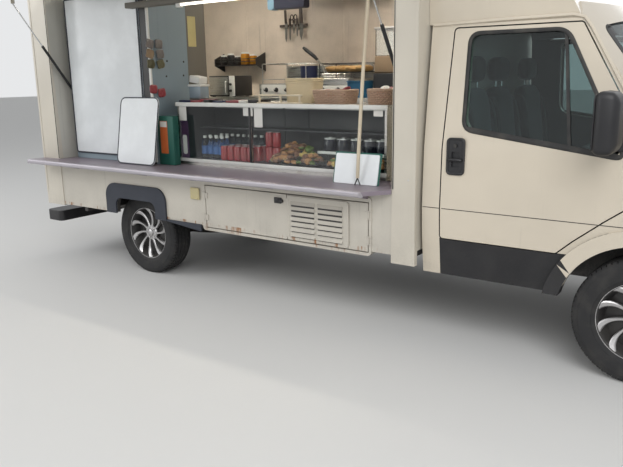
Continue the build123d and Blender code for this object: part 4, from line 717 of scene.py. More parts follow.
class Shading(Graph):
    """The tree of one material, with its main shader and its output."""

    def __init__(self, tree: bpy.types.NodeTree) -> None:
        """Empties the tree, and places the shader and the output.

        Args:
            tree: The material's tree.
        """
        super().__init__(tree)
        tree.nodes.clear()
        self.shader = self.node("ShaderNodeBsdfPrincipled")
        self.out = self.node("ShaderNodeOutputMaterial", {"Surface": self.shader.outputs[0]})

    def give(self, name: str, value: object) -> None:
        """Joins an output to an input of the shader, or sets it to a value.

        Args:
            name: The input's name.
            value: Another node's output, or a number or colour.
        """
        if isinstance(value, bpy.types.NodeSocket):
            self.tree.links.new(value, self.shader.inputs[name])
        else:
            self.shader.inputs[name].default_value = value

    def bump(self, height: bpy.types.NodeSocket, depth: float, strength: float = 1.0) -> None:
        """Raises the surface's shading by a height of so many metres."""
        inputs = {"Height": height, "Distance": depth, "Strength": strength}
        self.give("Normal", self.node("ShaderNodeBump", inputs).outputs[0])

    def group(self, name: str, inputs: dict | None = None) -> bpy.types.Node:
        """Places a shared effect, building its group the first time."""
        tree = bpy.data.node_groups.get(name) or GROUP_MAKERS[name]()
        return self.node("ShaderNodeGroup", inputs, node_tree=tree)


@dataclass(frozen=True)
class Finish:
    """What a surface is made of; each kind of finish says how its shader is put together."""

    name: str
    colour: Colour
    rough: float = 0.5

    def material(self) -> bpy.types.Material:
        """The finish's material, built the first time it is asked for.

        Returns:
            The material.
        """
        found = bpy.data.materials.get(self.name)
        if found:
            return found
        made = bpy.data.materials.new(self.name)
        made.use_nodes = True
        graph = Shading(made.node_tree)
        graph.give("Base Color", (*self.colour, 1.0))
        graph.give("Roughness", self.rough)
        made.diffuse_color = (*self.colour, 1.0)
        self.shade(graph)
        return made

    def shade(self, graph: Shading) -> None:
        """Joins the finish's pattern to the shader; the plain finish varies its tone and gloss a little.

        Args:
            graph: The material's tree.
        """
        tone = graph.span(graph.noise(7.0, 4.0), 0.3, 0.7)
        darker = tuple(c * 0.86 for c in self.colour)
        graph.give("Base Color", graph.blend(tone, darker, self.colour))
        graph.give("Roughness", graph.span(graph.noise(30.0, 3.0), 0.3, 0.7, self.rough * 0.85,
                                           min(1.0, self.rough * 1.15)))


@dataclass(frozen=True)
class Paint(Finish):
    """Sprayed paint with road grime, faint streaks and, where a line is given, rust that bleeds down."""

    grime: float = 0.5
    reach: float = 0.9
    streaks: float = 0.35
    rust_line: float = 0.0
    rust_drop: float = 0.12
    rust: float = 0.0
    coat: float = 0.5
    ripple: float = 0.0006

    def shade(self, graph: Shading) -> None:
        """Paint under streaks under rust under road grime, with a clear coat and orange peel.

        Args:
            graph: The material's tree.
        """
        tone = graph.span(graph.noise(1.6, 3.0), 0.3, 0.7)
        base = graph.blend(tone, tuple(c * 0.93 for c in self.colour), self.colour)
        streak = graph.group("rain_streaks", {"Strength": self.streaks}).outputs["Mask"]
        base = graph.blend(streak, base, tuple(c * 0.55 for c in self.colour))
        if self.rust:
            inputs = {"Line": self.rust_line, "Drop": self.rust_drop, "Strength": self.rust}
            rust = graph.group("rust_bleed", inputs).outputs["Mask"]
            base = graph.blend(rust, base, (0.3, 0.13, 0.045))
        grime = graph.group("road_grime", {"Clean": base, "Dirt": (0.16, 0.145, 0.13, 1.0),
                                           "Amount": self.grime, "Reach": self.reach})
        graph.give("Base Color", grime.outputs["Colour"])
        graph.give("Roughness", graph.span(grime.outputs["Mask"], 0.0, 1.0, self.rough, 0.85))
        graph.give("Coat Weight", self.coat)
        graph.give("Coat Roughness", 0.12)
        graph.bump(graph.noise(24.0, 2.0), self.ripple, 0.5)


@dataclass(frozen=True)
class Plastic(Finish):
    """Moulded plastic with a fine grain and dust in it."""

    grain: float = 900.0
    depth: float = 0.0002
    dust: float = 0.25
    reach: float = 1.2

    def shade(self, graph: Shading) -> None:
        """Grained plastic, a little faded in patches, with dust that thins out with height.

        Args:
            graph: The material's tree.
        """
        faded = tuple(min(1.0, c * 1.12 + 0.005) for c in self.colour)
        base = graph.blend(graph.span(graph.noise(4.0, 4.0), 0.35, 0.75), self.colour, faded)
        grime = graph.group("road_grime", {"Clean": base, "Dirt": (0.2, 0.185, 0.165, 1.0),
                                           "Amount": self.dust, "Reach": self.reach})
        graph.give("Base Color", grime.outputs["Colour"])
        graph.give("Roughness", graph.span(grime.outputs["Mask"], 0.0, 1.0, self.rough, 0.9))
        grain = graph.group("fine_grain", {"Scale": self.grain}).outputs["Height"]
        graph.bump(grain, self.depth)


@dataclass(frozen=True)
class Goods(Plastic):
    """Smooth card, film or plastic of goods inside, out of reach of the road's dust."""

    depth: float = 0.00006
    dust: float = 0.05
    reach: float = 2.2


@dataclass(frozen=True)
class Metal(Finish):
    """Bare or plated metal: brushed lines, smudges, and rust or tarnish in patches."""

    brushed: float = 0.35
    tarnish: Colour = (0.3, 0.24, 0.18)
    worn: float = 0.15
    marks: float = 0.5

    def shade(self, graph: Shading) -> None:
        """Metal whose roughness follows its brush lines and smudges, with tarnish blotches.

        Args:
            graph: The material's tree.
        """
        sheet = graph.group("brushed_sheet", {"Marks": self.marks})
        patch = graph.maths(
            "MULTIPLY", graph.span(graph.noise(9.0, 6.0), 0.52, 0.74), self.worn, clamp=True)
        shade = graph.blend(sheet.outputs["Lines"], tuple(c * 0.82 for c in self.colour), self.colour)
        graph.give("Base Color", graph.blend(patch, shade, self.tarnish))
        graph.give("Metallic", graph.maths("SUBTRACT", 1.0, graph.maths("MULTIPLY", patch, 0.9)))
        lines = graph.span(sheet.outputs["Lines"], 0.3, 0.7, self.rough * (1 - self.brushed * 0.5),
                           self.rough * (1 + self.brushed * 0.5))
        rough = graph.maths(
            "ADD", lines, graph.maths("MULTIPLY", sheet.outputs["Smudge"], 0.14), clamp=True)
        graph.give("Roughness", rough)
        if self.brushed:
            graph.bump(sheet.outputs["Lines"], 0.00006 * self.brushed, 0.6)


@dataclass(frozen=True)
class Glass(Finish):
    """Clear glass or plastic that light passes through."""

    ior: float = 1.45
    smear: float = 0.04

    def shade(self, graph: Shading) -> None:
        """Transmitting glass with smears in its gloss; its shadow is let through as tinted light.

        Args:
            graph: The material's tree.
        """
        graph.give("Transmission Weight", 1.0)
        graph.give("IOR", self.ior)
        graph.give("Roughness", graph.span(graph.noise(8.0, 5.0), 0.5, 0.85, self.rough,
                                           self.rough + self.smear))
        clear = graph.node("ShaderNodeBsdfTransparent", {"Color": (*self.colour, 1.0)})
        path = graph.node("ShaderNodeLightPath")
        mixed = graph.node("ShaderNodeMixShader", {0: path.outputs["Is Shadow Ray"],
                                                   1: graph.shader.outputs[0], 2: clear.outputs[0]})
        graph.tree.links.new(mixed.outputs[0], graph.out.inputs["Surface"])


@dataclass(frozen=True)
class Rubber(Finish):
    """Rubber with pale dust in its hollows."""

    dust: float = 0.5

    def shade(self, graph: Shading) -> None:
        """Black rubber, greyed in blotches, with fine scuffs.

        Args:
            graph: The material's tree.
        """
        dusty = graph.maths(
            "MULTIPLY", graph.span(graph.noise(12.0, 6.0), 0.42, 0.74), self.dust, clamp=True)
        graph.give("Base Color", graph.blend(dusty, self.colour, (0.13, 0.12, 0.105)))
        graph.give("Roughness", graph.span(dusty, 0.0, 0.6, self.rough, 0.92))
        graph.bump(graph.noise(420.0, 2.0), 0.0002, 0.6)


@dataclass(frozen=True)
class Cloth(Finish):
    """Woven seat cloth."""

    threads: float = 700.0
    fleck: Colour = (0.2, 0.2, 0.22)

    def shade(self, graph: Shading) -> None:
        """Two crossed sets of threads, with flecks of a second colour and a soft sheen.

        Args:
            graph: The material's tree.
        """
        place = graph.node("ShaderNodeTexCoord").outputs["Object"]
        inputs = {"Vector": place, "Scale": self.threads, "Distortion": 1.0}
        across = graph.node("ShaderNodeTexWave", inputs, bands_direction="Y").outputs["Fac"]
        along = graph.node("ShaderNodeTexWave", inputs, bands_direction="DIAGONAL").outputs["Fac"]
        weave = graph.maths("MAXIMUM", across, along)
        flecks = graph.span(graph.noise(260.0, 2.0), 0.56, 0.66)
        worn = graph.span(graph.noise(6.0, 4.0), 0.35, 0.75)
        base = graph.blend(flecks, self.colour, self.fleck)
        graph.give("Base Color", graph.blend(worn, base, tuple(min(1.0, c * 1.5 + 0.01)
                                                               for c in self.colour)))
        graph.give("Sheen Weight", 0.35)
        graph.give("Sheen Roughness", 0.5)
        graph.bump(weave, 0.0006, 0.8)


@dataclass(frozen=True)
class Glow(Finish):
    """A lit diffuser."""

    power: float = 2.0

    def shade(self, graph: Shading) -> None:
        """Milky plastic that gives light, a little darker in broad patches.

        Args:
            graph: The material's tree.
        """
        shade = graph.span(graph.noise(3.0, 2.0), 0.2, 0.8, 0.85, 1.0)
        graph.give("Emission Color", graph.blend(shade, (0.0, 0.0, 0.0), self.colour))
        graph.give("Emission Strength", self.power)


# Skins of the CAD nodes


@dataclass(frozen=True)
class Zone:
    """A box in which a skin's faces take another of its finishes.

    A direction narrows it to faces that look that way, and a place to faces that look towards it.
    """

    finish: int
    low: Point
    high: Point
    facing: Point | None = None
    towards: Point | None = None


def skin(node: str, *finishes: Finish, zones: Sequence[Zone] = (), cuts: Sequence[tuple[str, float]] = (),
         edge: float = 0.0025, segments: int = 2, slot: str | None = None) -> bpy.types.Object:
    """A merged copy of a CAD node with softened edges, which then shows in its place.

    Args:
        node: The CAD node.
        finishes: Its finishes; the first covers what no zone takes.
        zones: Boxes whose faces take another finish.
        cuts: Axis and place of planes that divide the faces, so that a zone can end there.
        edge: Width of the softened edges.
        segments: Facets over each edge.
        slot: The record's material slot; not used.

    Returns:
        The object.
    """
    source = frame["nodes"][node]
    mesh = source.data.copy()
    mesh.name = f"{node}_skin"
    for name in ("custom_normal", "UVMap"):
        if name in mesh.attributes:
            mesh.attributes.remove(mesh.attributes[name])
    mesh.materials.clear()
    for finish in finishes:
        mesh.materials.append(finish.material())
    merge_mesh(mesh, cuts)
    paint_zones(mesh, zones)
    work = bmesh.new()
    work.from_mesh(mesh)
    bmesh.ops.dissolve_limit(work, angle_limit=math.radians(FLAT_WITHIN), verts=work.verts,
                             edges=work.edges, delimit={"MATERIAL"})
    work.to_mesh(mesh)
    work.free()
    mesh.shade_smooth()
    mesh.set_sharp_from_angle(angle=math.radians(SKIN_SHARP))
    copy = bpy.data.objects.new(f"{node}_skin", mesh)
    bpy.context.scene.collection.objects.link(copy)
    if edge:
        bevel = copy.modifiers.new("edge", "BEVEL")
        bevel.width = edge
        bevel.segments = segments
        bevel.limit_method = "ANGLE"
        bevel.angle_limit = math.radians(SOFTENED_FROM)
        bevel.harden_normals = True
    return settle(copy, source["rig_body"], [node])


def merge_mesh(mesh: bpy.types.Mesh, cuts: Sequence[tuple[str, float]]) -> None:
    """Joins the loose triangles of a mesh at their shared corners and divides it at planes.

    Args:
        mesh: The mesh, changed in place.
        cuts: Axis and place of each dividing plane.
    """
    work = bmesh.new()
    work.from_mesh(mesh)
    bmesh.ops.remove_doubles(work, verts=work.verts, dist=SAME_CAD_POINT)
    bmesh.ops.dissolve_degenerate(work, dist=NO_LENGTH, edges=work.edges)
    bmesh.ops.recalc_face_normals(work, faces=work.faces)
    for axis, place in cuts:
        number = "XYZ".index(axis)
        point, square = Vector(AXLE), Vector((0.0, 0.0, 0.0))
        point[number] += place
        square[number] = 1.0
        bmesh.ops.bisect_plane(work, geom=[*work.verts, *work.edges, *work.faces], dist=NO_LENGTH,
                               plane_co=point, plane_no=square)
    work.to_mesh(mesh)
    work.free()


def paint_zones(mesh: bpy.types.Mesh, zones: Sequence[Zone]) -> None:
    """Gives the faces whose middle lies in a zone that zone's finish.

    Args:
        mesh: The mesh, changed in place.
        zones: The zones; a later one wins over an earlier one.
    """
    count = len(mesh.polygons)
    middle, normal = np.empty(count * 3, np.float32), np.empty(count * 3, np.float32)
    mesh.polygons.foreach_get("center", middle)
    mesh.polygons.foreach_get("normal", normal)
    middle, normal = middle.reshape(-1, 3) - AXLE, normal.reshape(-1, 3)
    chosen = np.zeros(count, np.int32)
    for zone in zones:
        inside = np.all((middle >= zone.low) & (middle <= zone.high), axis=1)
        if zone.facing:
            inside &= normal @ np.array(zone.facing) > LOOKS_THAT_WAY
        if zone.towards:
            inside &= np.sum(normal * (np.array(zone.towards) - middle), axis=1) > 0.0
        chosen[inside] = zone.finish
    mesh.polygons.foreach_set("material_index", chosen)


def coat(node: str, finish: Finish) -> None:
    """Dresses a CAD node that shows as it is.

    Args:
        node: The CAD node.
        finish: Its finish.
    """
    mesh = frame["nodes"][node].data
    mesh.materials.clear()
    mesh.materials.append(finish.material())


# The vehicle's finishes

CAB_PAINT = Paint("cab_paint", (0.655, 0.585, 0.475), 0.3, grime=0.34, reach=0.8, streaks=0.2, coat=0.6)
BOX_PAINT = Paint("box_paint", (0.63, 0.585, 0.5), 0.38, grime=0.36, reach=0.95, streaks=0.4, coat=0.3)
SILL_PAINT = Paint("lower_panel_paint", (0.58, 0.545, 0.475), 0.42, grime=0.42, reach=0.95, streaks=0.4,
                   coat=0.2, rust_line=0.545, rust_drop=0.075, rust=2.4)
LINING = Paint("lining_white", (0.6, 0.585, 0.53), 0.45, grime=0.3, reach=1.2, streaks=0.3, coat=0.1)
CABINET = Paint(
    "cabinet_blue_grey", (0.235, 0.3, 0.345), 0.42, grime=0.1, reach=0.9, streaks=0.25, coat=0.2)
CABINET_SIDE = Paint(
    "cabinet_side", (0.15, 0.138, 0.115), 0.55, grime=0.1, reach=0.9, streaks=0.45, coat=0.0)
CHASSIS = Paint("chassis_black", (0.032, 0.032, 0.034), 0.55, grime=0.85, reach=1.3, streaks=0.1, coat=0.0)
TRIM = Plastic("trim_plastic", (0.022, 0.027, 0.04), 0.62, dust=0.06)
SILL = Plastic("black_sill", (0.01, 0.01, 0.012), 0.6, dust=0.08)
BLACK = Plastic("black_plastic", (0.012, 0.012, 0.014), 0.46, dust=0.08)
# This black finish also paints shade: the dark strips under the vent's louvres are painted shadow.
DARK_ENAMEL = Plastic("black_enamel", (0.022, 0.021, 0.021), 0.38, depth=0.0001, dust=0.15, reach=2.0)
# On the cab's inner skin this dark tone stands partly for painted shade of the dim cab.
DASH = Plastic("dash_moulding", (0.03, 0.031, 0.034), 0.62, depth=0.00008, dust=0.2)
WHITE_PLASTIC = Goods("white_plastic", (0.7, 0.7, 0.67), 0.38, depth=0.00008, dust=0.12)
CREAM_PLASTIC = Goods("cream_plastic", (0.66, 0.55, 0.36), 0.4, depth=0.00008, dust=0.15)
BLUE_PLASTIC = Goods("blue_plastic", (0.015, 0.115, 0.235), 0.36, depth=0.00008, dust=0.1)
LIP = Metal("counter_lip", (0.5, 0.475, 0.51), 0.55, brushed=0.2, worn=0.1)
GREEN_CARD = Goods("green_card", (0.01, 0.1, 0.075), 0.55, depth=0.00008)
ORANGE_CARD = Goods("orange_card", (0.6, 0.14, 0.035), 0.6, depth=0.00008)
WHITE_CARD = Goods("white_card", (0.72, 0.71, 0.67), 0.62, dust=0.06)
YELLOW_CARD = Goods("yellow_card", (0.5, 0.43, 0.2), 0.66, dust=0.08)
PURPLE_CARD = Goods("purple_card", (0.075, 0.035, 0.085), 0.4)
BOARD_WHITE = Plastic("white_board", (0.72, 0.75, 0.77), 0.2, depth=0.00002, dust=0.03, reach=2.5)
RUBBER = Rubber("seal_rubber", (0.018, 0.018, 0.018), 0.62, dust=0.35)
TYRE = Rubber("tyre_rubber", (0.017, 0.017, 0.018), 0.78, dust=0.16)
ALLOY = Metal("alloy", (0.58, 0.57, 0.57), 0.36, brushed=0.1, worn=0.05)
DARK_STEEL = Metal(
    "dark_steel", (0.09, 0.088, 0.085), 0.5, brushed=0.2, tarnish=(0.11, 0.055, 0.025), worn=0.55)
CAST = Metal("cast_iron", (0.1, 0.095, 0.09), 0.62, brushed=0.0, tarnish=(0.13, 0.06, 0.028), worn=0.7)
STAINLESS = Metal("stainless", (0.6, 0.585, 0.55), 0.3, brushed=0.6, tarnish=(0.36, 0.27, 0.17), worn=0.3)
HOOD_STEEL = Metal(
    "hood_steel", (0.075, 0.08, 0.115), 0.45, brushed=0.5, tarnish=(0.12, 0.1, 0.07), worn=0.35)
BLADE_STEEL = Metal("blade_steel", (0.26, 0.25, 0.235), 0.34, brushed=0.4, worn=0.2)
BROWN_GRIP = Plastic("brown_grip", (0.055, 0.038, 0.03), 0.5, depth=0.0001, dust=0.05, reach=2.5)
HOOD_CAP = Plastic("hood_cap", (0.16, 0.27, 0.36), 0.4, depth=0.00008, dust=0.1, reach=2.5)
SPLASHBACK = Paint("splashback", (0.72, 0.625, 0.53), 0.42, grime=0.42, reach=3.4, streaks=0.75, coat=0.15)
ALUMINIUM = Metal("aluminium", (0.66, 0.65, 0.64), 0.52, brushed=0.35, worn=0.1)
CHROME = Metal("chrome_plate", (0.72, 0.73, 0.74), 0.1, brushed=0.05, worn=0.04)
COUNTER_FACE = Plastic("counter_laminate", (0.245, 0.205, 0.245), 0.4, depth=0.00004, dust=0.14, reach=2.0)
GLASS = Glass("clear_glass", (0.93, 0.96, 0.95), 0.02)
TINTED = Glass("tinted_glass", (0.38, 0.48, 0.475), 0.015)
LENS = Glass("lamp_lens", (0.95, 0.96, 0.97), 0.03)
WATER = Glass("bottle_plastic", (0.9, 0.95, 0.99), 0.05, ior=1.33)
MIRROR = Metal("mirror_face", (0.8, 0.82, 0.84), 0.03, brushed=0.0, worn=0.0, marks=0.1)
SEAT = Cloth("seat_cloth", (0.04, 0.042, 0.05), 0.85, fleck=(0.12, 0.12, 0.14))
SEAT_SIDE = Cloth("seat_side_cloth", (0.022, 0.022, 0.026), 0.88, fleck=(0.045, 0.045, 0.05))
FLOOR_MAT = Rubber("floor_rubber", (0.035, 0.035, 0.036), 0.8, dust=0.7)
STRIP_LIGHT = Glow("strip_light", (1.0, 0.93, 0.82), 0.5, power=3.0)
CEILING_LIGHT = Glow("ceiling_light", (1.0, 0.92, 0.8), 0.5, power=30.0)
LABEL_BLUE = Plastic("blue_label", (0.05, 0.13, 0.33), 0.35, depth=0.00004, dust=0.0)
CAN_RED = Goods("red_can", (0.27, 0.008, 0.012), 0.26, depth=0.0)
WOOD = Plastic("pale_wood", (0.6, 0.52, 0.39), 0.55, grain=260.0, depth=0.0003, dust=0.15, reach=2.5)
WICKER = Plastic("wicker", (0.4, 0.27, 0.19), 0.62, grain=600.0, depth=0.0004, dust=0.2, reach=2.5)
NAVY_CARD = Goods("navy_card", (0.018, 0.026, 0.075), 0.4)
RED_FILM = Goods("red_film", (0.27, 0.045, 0.055), 0.34, dust=0.03)
BROWN_CARD = Goods("brown_card", (0.26, 0.185, 0.115), 0.6, depth=0.0001, dust=0.1)
OLIVE_FILM = Goods("olive_film", (0.1, 0.095, 0.05), 0.34, dust=0.03)
DULL_FILM = Goods("dull_film", (0.16, 0.145, 0.14), 0.3, dust=0.03)
DARK_LINER = Goods("display_liner", (0.055, 0.055, 0.06), 0.42, depth=0.00004)
FLAP = Plastic("yellowed_plastic", (0.56, 0.49, 0.27), 0.48, depth=0.0001, dust=0.3)
LAMP_RED = Plastic("red_lamp", (0.42, 0.014, 0.012), 0.14, depth=0.0, dust=0.2)
LAMP_AMBER = Plastic("lamp_amber", (0.62, 0.2, 0.02), 0.14, depth=0.0, dust=0.2)
AMBER_JAR = Plastic("amber_jar", (0.46, 0.2, 0.022), 0.16, depth=0.0, dust=0.03, reach=2.5)
DARK_POT = Goods("dark_pot", (0.012, 0.012, 0.022), 0.1, depth=0.0, dust=0.0)
BREAD = Plastic("bread_crust", (0.55, 0.34, 0.14), 0.62, grain=120.0, depth=0.0012, dust=0.0)
FOODS = (Plastic("food_green", (0.085, 0.125, 0.022), 0.5, grain=110.0, depth=0.0015, dust=0.0),
         Plastic("food_yellow", (0.46, 0.33, 0.09), 0.5, grain=90.0, depth=0.0012, dust=0.0),
         Plastic("food_fried", (0.34, 0.16, 0.055), 0.5, grain=100.0, depth=0.0012, dust=0.0),
         Plastic("food_brown", (0.16, 0.07, 0.035), 0.55, grain=120.0, depth=0.0018, dust=0.0),
         Plastic("food_pale", (0.5, 0.38, 0.2), 0.45, grain=100.0, depth=0.0012, dust=0.0))


# Wheels and running gear


@dataclass
class Wheel:
    """One wheel: treaded tyre, alloy rim with swept spokes, cap and nuts, laid out about its CAD node."""

    node: str
    spokes: int = 10
    pitches: int = 70
    groove: float = 0.0075
    sweep: float = 0.24

    def __post_init__(self) -> None:
        """Finds the wheel's middle and which way it looks."""
        low, high = node_box(self.node)
        self.middle = (low + high) / 2
        self.side = 1.0 if self.middle[1] > 0 else -1.0
        self.radius = float(high[2] - low[2]) / 2

    def place(self, shape: Shape) -> Shape:
        """A surface made about the origin with its outer face towards +Y, put where this wheel is."""
        return shape.stretched(y=self.side).moved(*self.middle)

    def tyre(self) -> Shape:
        """The tyre as a grid of angle by section, its radius cut back in the grooves.

        The angle of a point is the step's angle plus a skew that grows with its distance from the middle,
        so the cross grooves slant; steps in a cross groove and places in a round groove are drawn in.

        Returns:
            The closed surface, about the origin.
        """
        r = self.radius
        side_r = [0.209, 0.222, 0.231, 0.233, 0.25, 0.274, 0.296, 0.299, 0.312, 0.324, r - 0.004]
        side_y = [0.08, 0.0895, 0.094, 0.0975, 0.1005, 0.1025, 0.1015, 0.099, 0.0965, 0.089, 0.081]
        cuts = [0.055, 0.019]
        edges = [0.0765] + [y for c in cuts for y in (c + 0.0052, c + 0.004, c - 0.004, c - 0.0052)]
        deep = [0.0] + [d for _ in cuts for d in (0.0, 1.0, 1.0, 0.0)]
        half_r = np.array(side_r + [r - 0.0004 + 0.0004 * (1 - (y / 0.08) ** 2) for y in edges])
        half_y = np.array(side_y + edges)
        half_d = np.array([0.0] * len(side_r) + deep)
        radius = np.concatenate([half_r, half_r[::-1]])
        y = np.concatenate([half_y, -half_y[::-1]])
        groove = np.concatenate([half_d, half_d[::-1]])
        offsets = np.array([0.0, 0.76, 0.79, 0.97])
        step = TAU / self.pitches
        angle = (np.arange(self.pitches)[:, None] + offsets[None, :]).ravel() * step
        cross = np.tile([0.0, 0.0, 1.0, 1.0], self.pitches)
        shoulder = ((np.abs(y) > 0.0595) & (radius > r - 0.006)).astype(float)
        middle = ((np.abs(y) < 0.05) & (radius > r - 0.006)).astype(float) * 0.45
        blocks = np.maximum(shoulder, middle)[None, :]
        depth = np.maximum(groove[None, :], cross[:, None] * blocks) * self.groove
        reach = radius[None, :] - depth
        turn = angle[:, None] + np.sign(y)[None, :] * np.minimum(np.abs(y), 0.075)[None, :] * 1.15
        points = np.stack([reach * np.cos(turn), np.repeat(y[None, :], len(angle), axis=0),
                           reach * np.sin(turn)], -1)
        return grid(points, wrap_u=True, wrap_v=True)

    def rim(self) -> list[Shape]:
        """The rim's barrel and lip, closed all round, and the dark dish behind the spokes.

        Returns:
            The surfaces.
        """
        outer = [(0.21, 0.08), (0.2145, 0.0815), (0.215, 0.077), (0.2045, 0.073), (0.1985, 0.064),
                 (0.19, 0.035), (0.178, 0.01), (0.176, -0.05), (0.195, -0.072), (0.208, -0.0815)]
        inner = [(0.212, -0.08), (0.199, -0.067), (0.181, -0.048), (0.183, 0.011), (0.195, 0.036),
                 (0.2035, 0.063), (0.208, 0.07)]
        barrel = lathe(outer + inner, ORIGIN, steps=64, ring=True)
        dish = lathe([(0.0, 0.012), (0.12, 0.012), (0.183, 0.004), (0.183, -0.004), (0.12, 0.004),
                      (0.0, 0.004)], ORIGIN, steps=48)
        lip = lathe(
            [(0.208, 0.079), (0.209, 0.0815), (0.214, 0.082), (0.215, 0.079)], ORIGIN, steps=64, ring=True)
        return [barrel.dressed(1), dish.dressed(1), lip]

    def spoke(self, number: int) -> Shape:
        """One swept spoke: a bevelled section carried outwards while it turns about the axle.

        At a share t of the way out the radius is r(t), the section's middle stands at the spoke's angle plus
        sweep * t^1.4 and a hook of 0.1 * t^6, and a point that lies s sideways is turned by a further s / r.

        Args:
            number: Which spoke, counted from zero.

        Returns:
            The closed surface.
        """
        t = np.linspace(0.0, 1.0, 16)
        r = 0.044 + t * 0.161
        half = 0.0105 - 0.003 * np.sin(t * math.pi) + 0.015 * t**2.6
        face = 0.05 - 0.006 * np.sin(t * math.pi) + 0.024 * t**2
        section = np.array([(-1.0, -0.02), (-1.0, -0.005), (-0.62, 0.0), (0.62, 0.0), (1.0, -0.005),
                            (1.0, -0.02)])
        sideways = half[:, None] * section[None, :, 0]
        bend = self.sweep * t[:, None] ** 1.4 + 0.1 * t[:, None] ** 6
        angle = number * TAU / self.spokes + bend + sideways / r[:, None]
        y = face[:, None] + section[None, :, 1]
        return capped(np.stack([r[:, None] * np.cos(angle), y, r[:, None] * np.sin(angle)], axis=-1))

    def hub(self) -> list[Shape]:
        """Hub flange, domed cap without a badge, and five nuts.

        Returns:
            The surfaces.
        """
        flange = lathe([(0.0, 0.018), (0.062, 0.018), (0.064, 0.04), (0.058, 0.047), (0.036, 0.049),
                        (0.033, 0.045), (0.0, 0.045)], ORIGIN, steps=40)
        cap = lathe([(0.0, 0.061), (0.012, 0.0605), (0.022, 0.0585), (0.028, 0.055), (0.03, 0.049),
                     (0.03, 0.04), (0.0, 0.04)], ORIGIN, steps=36)
        nuts = []
        for k in range(5):
            angle = (k + 0.5) * TAU / 5
            centre = (0.047 * math.cos(angle), 0.0, 0.047 * math.sin(angle))
            nuts.append(lathe([(0.0, 0.056), (0.0055, 0.056), (0.0072, 0.0545), (0.0072, 0.045),
                               (0.0, 0.045)], centre, steps=6))
        return [flange, cap, *nuts]

    def build(self) -> None:
        """Builds the tyre and the rim; they stand for the CAD wheel."""
        body = frame["nodes"][self.node]["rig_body"]
        tyre = Piece(f"{self.node}_tyre").add(self.place(self.tyre()))
        tyre.build(TYRE, body=body, replaces=[self.node], slot="tyre", angle=26.0)
        rim = Piece(f"{self.node}_rim").add(*[self.place(s) for s in self.rim() + self.hub()])
        rim.add(*[self.place(self.spoke(k)) for k in range(self.spokes)])
        rim.build(ALLOY, DARK_ENAMEL, body=body, slot="chrome", angle=30.0)


@dataclass
class Underbody:
    """Chassis, axles, springs and what hangs between the rails."""

    coil_radius: float = 0.062
    coil_turns: float = 5.0
    coil_foot: float = 0.49
    coil_length: float = 0.18
    strut_offset: float = 0.69
    wire: float = 0.007
    leaf_seat: tuple[float, float] = (-3.75, 0.336)
    tank_straps: tuple[float, float] = (-2.135, -1.635)
    exhaust_clamps: tuple[float, float] = (-1.716, -2.334)

    def coil(self, side: float) -> Shape:
        """A coil spring about the strut: the wire's middle goes round the strut while it rises.

        Args:
            side: +1 for the left side, -1 for the right.

        Returns:
            The surface.
        """
        t = np.linspace(0.0, 1.0, 120)
        angle = t * self.coil_turns * TAU
        y = side * self.strut_offset
        path = np.stack([self.coil_radius * np.cos(angle), y + self.coil_radius * np.sin(angle),
                         self.coil_foot + t * self.coil_length], -1)
        return tube(path, self.wire, 8)

    def straps(self) -> list[Shape]:
        """Strap round the fuel tank at each of its brackets, and clamps on the exhaust.

        Returns:
            The surfaces.
        """
        shapes = []
        outline = rounded_rectangle((0.488, 0.298), (0.822, 0.522), 0.042)
        for x in self.tank_straps:
            path = laid(outline, "YZ", x)
            out = outline - np.array([0.655, 0.41])
            out = laid(out, "YZ", 0.0) / np.linalg.norm(out, axis=1)[:, None]
            shapes.append(strip(path, flat_section(0.016, -0.001, 0.003), out))
        for x in self.exhaust_clamps:
            shapes.append(lathe([(0.03, -0.014), (0.03, 0.014), (0.026, 0.014), (0.026, -0.014)],
                                (x, 0.23, 0.33), "X", 20, ring=True))
        return shapes

    def axle_bolts(self) -> list[Shape]:
        """Two U-bolts over each leaf spring's seat.

        Returns:
            The surfaces.
        """
        x, z = self.leaf_seat
        shapes = []
        for side in SIDES:
            for dx in (-0.05, 0.05):
                y0, y1 = side * 0.43 - 0.048, side * 0.43 + 0.048
                t = np.linspace(math.pi, 0.0, 9)
                arch = [(x + dx, (y0 + y1) / 2 + 0.048 * math.cos(a), z + 0.03 + 0.02 * math.sin(a))
                        for a in t]
                shapes.append(tube([(x + dx, y0, 0.258), *arch, (x + dx, y1, 0.258)], 0.006, 8))
        return shapes

    def build(self) -> None:
        """Dresses the running gear and adds springs, straps and bolts."""
        skin("chassis_frame", CHASSIS, slot="chassis_paint")
        skin("front_suspension", CHASSIS, slot="chassis_paint")
        skin("rear_axle", CAST, slot="cast")
        skin("engine_block", CAST, edge=0.006, slot="cast")
        skin("fuel_tank", BLACK, edge=0.003, slot="dark_trim")
        skin("exhaust", DARK_STEEL, slot="steel")
        for node in ("knuckle_left", "knuckle_right"):
            skin(node, CAST, slot="cast")
        skin("cab_floor", CHASSIS, FLOOR_MAT, zones=[Zone(1, (-1.3, -1.0, 0.575), (0.3, 1.0, 0.9), UP)],
             edge=0.002, slot="floor_mat")
        Piece("coil_springs").add(self.coil(1.0), self.coil(-1.0)).build(DARK_STEEL)
        Piece("tank_straps").add(*self.straps()).build(DARK_STEEL)
        Piece("spring_bolts").add(*self.axle_bolts()).build(DARK_STEEL)


# Cab

CREASE_HEIGHT = 0.831


def cab_side(z: Array | float) -> Array:
    """How far the cab's side stands from the middle at a height."""
    return np.interp(z, [0.43, 0.655, 0.83, 1.18, 1.85], [0.948, 0.977, 0.987, 0.975, 0.9])


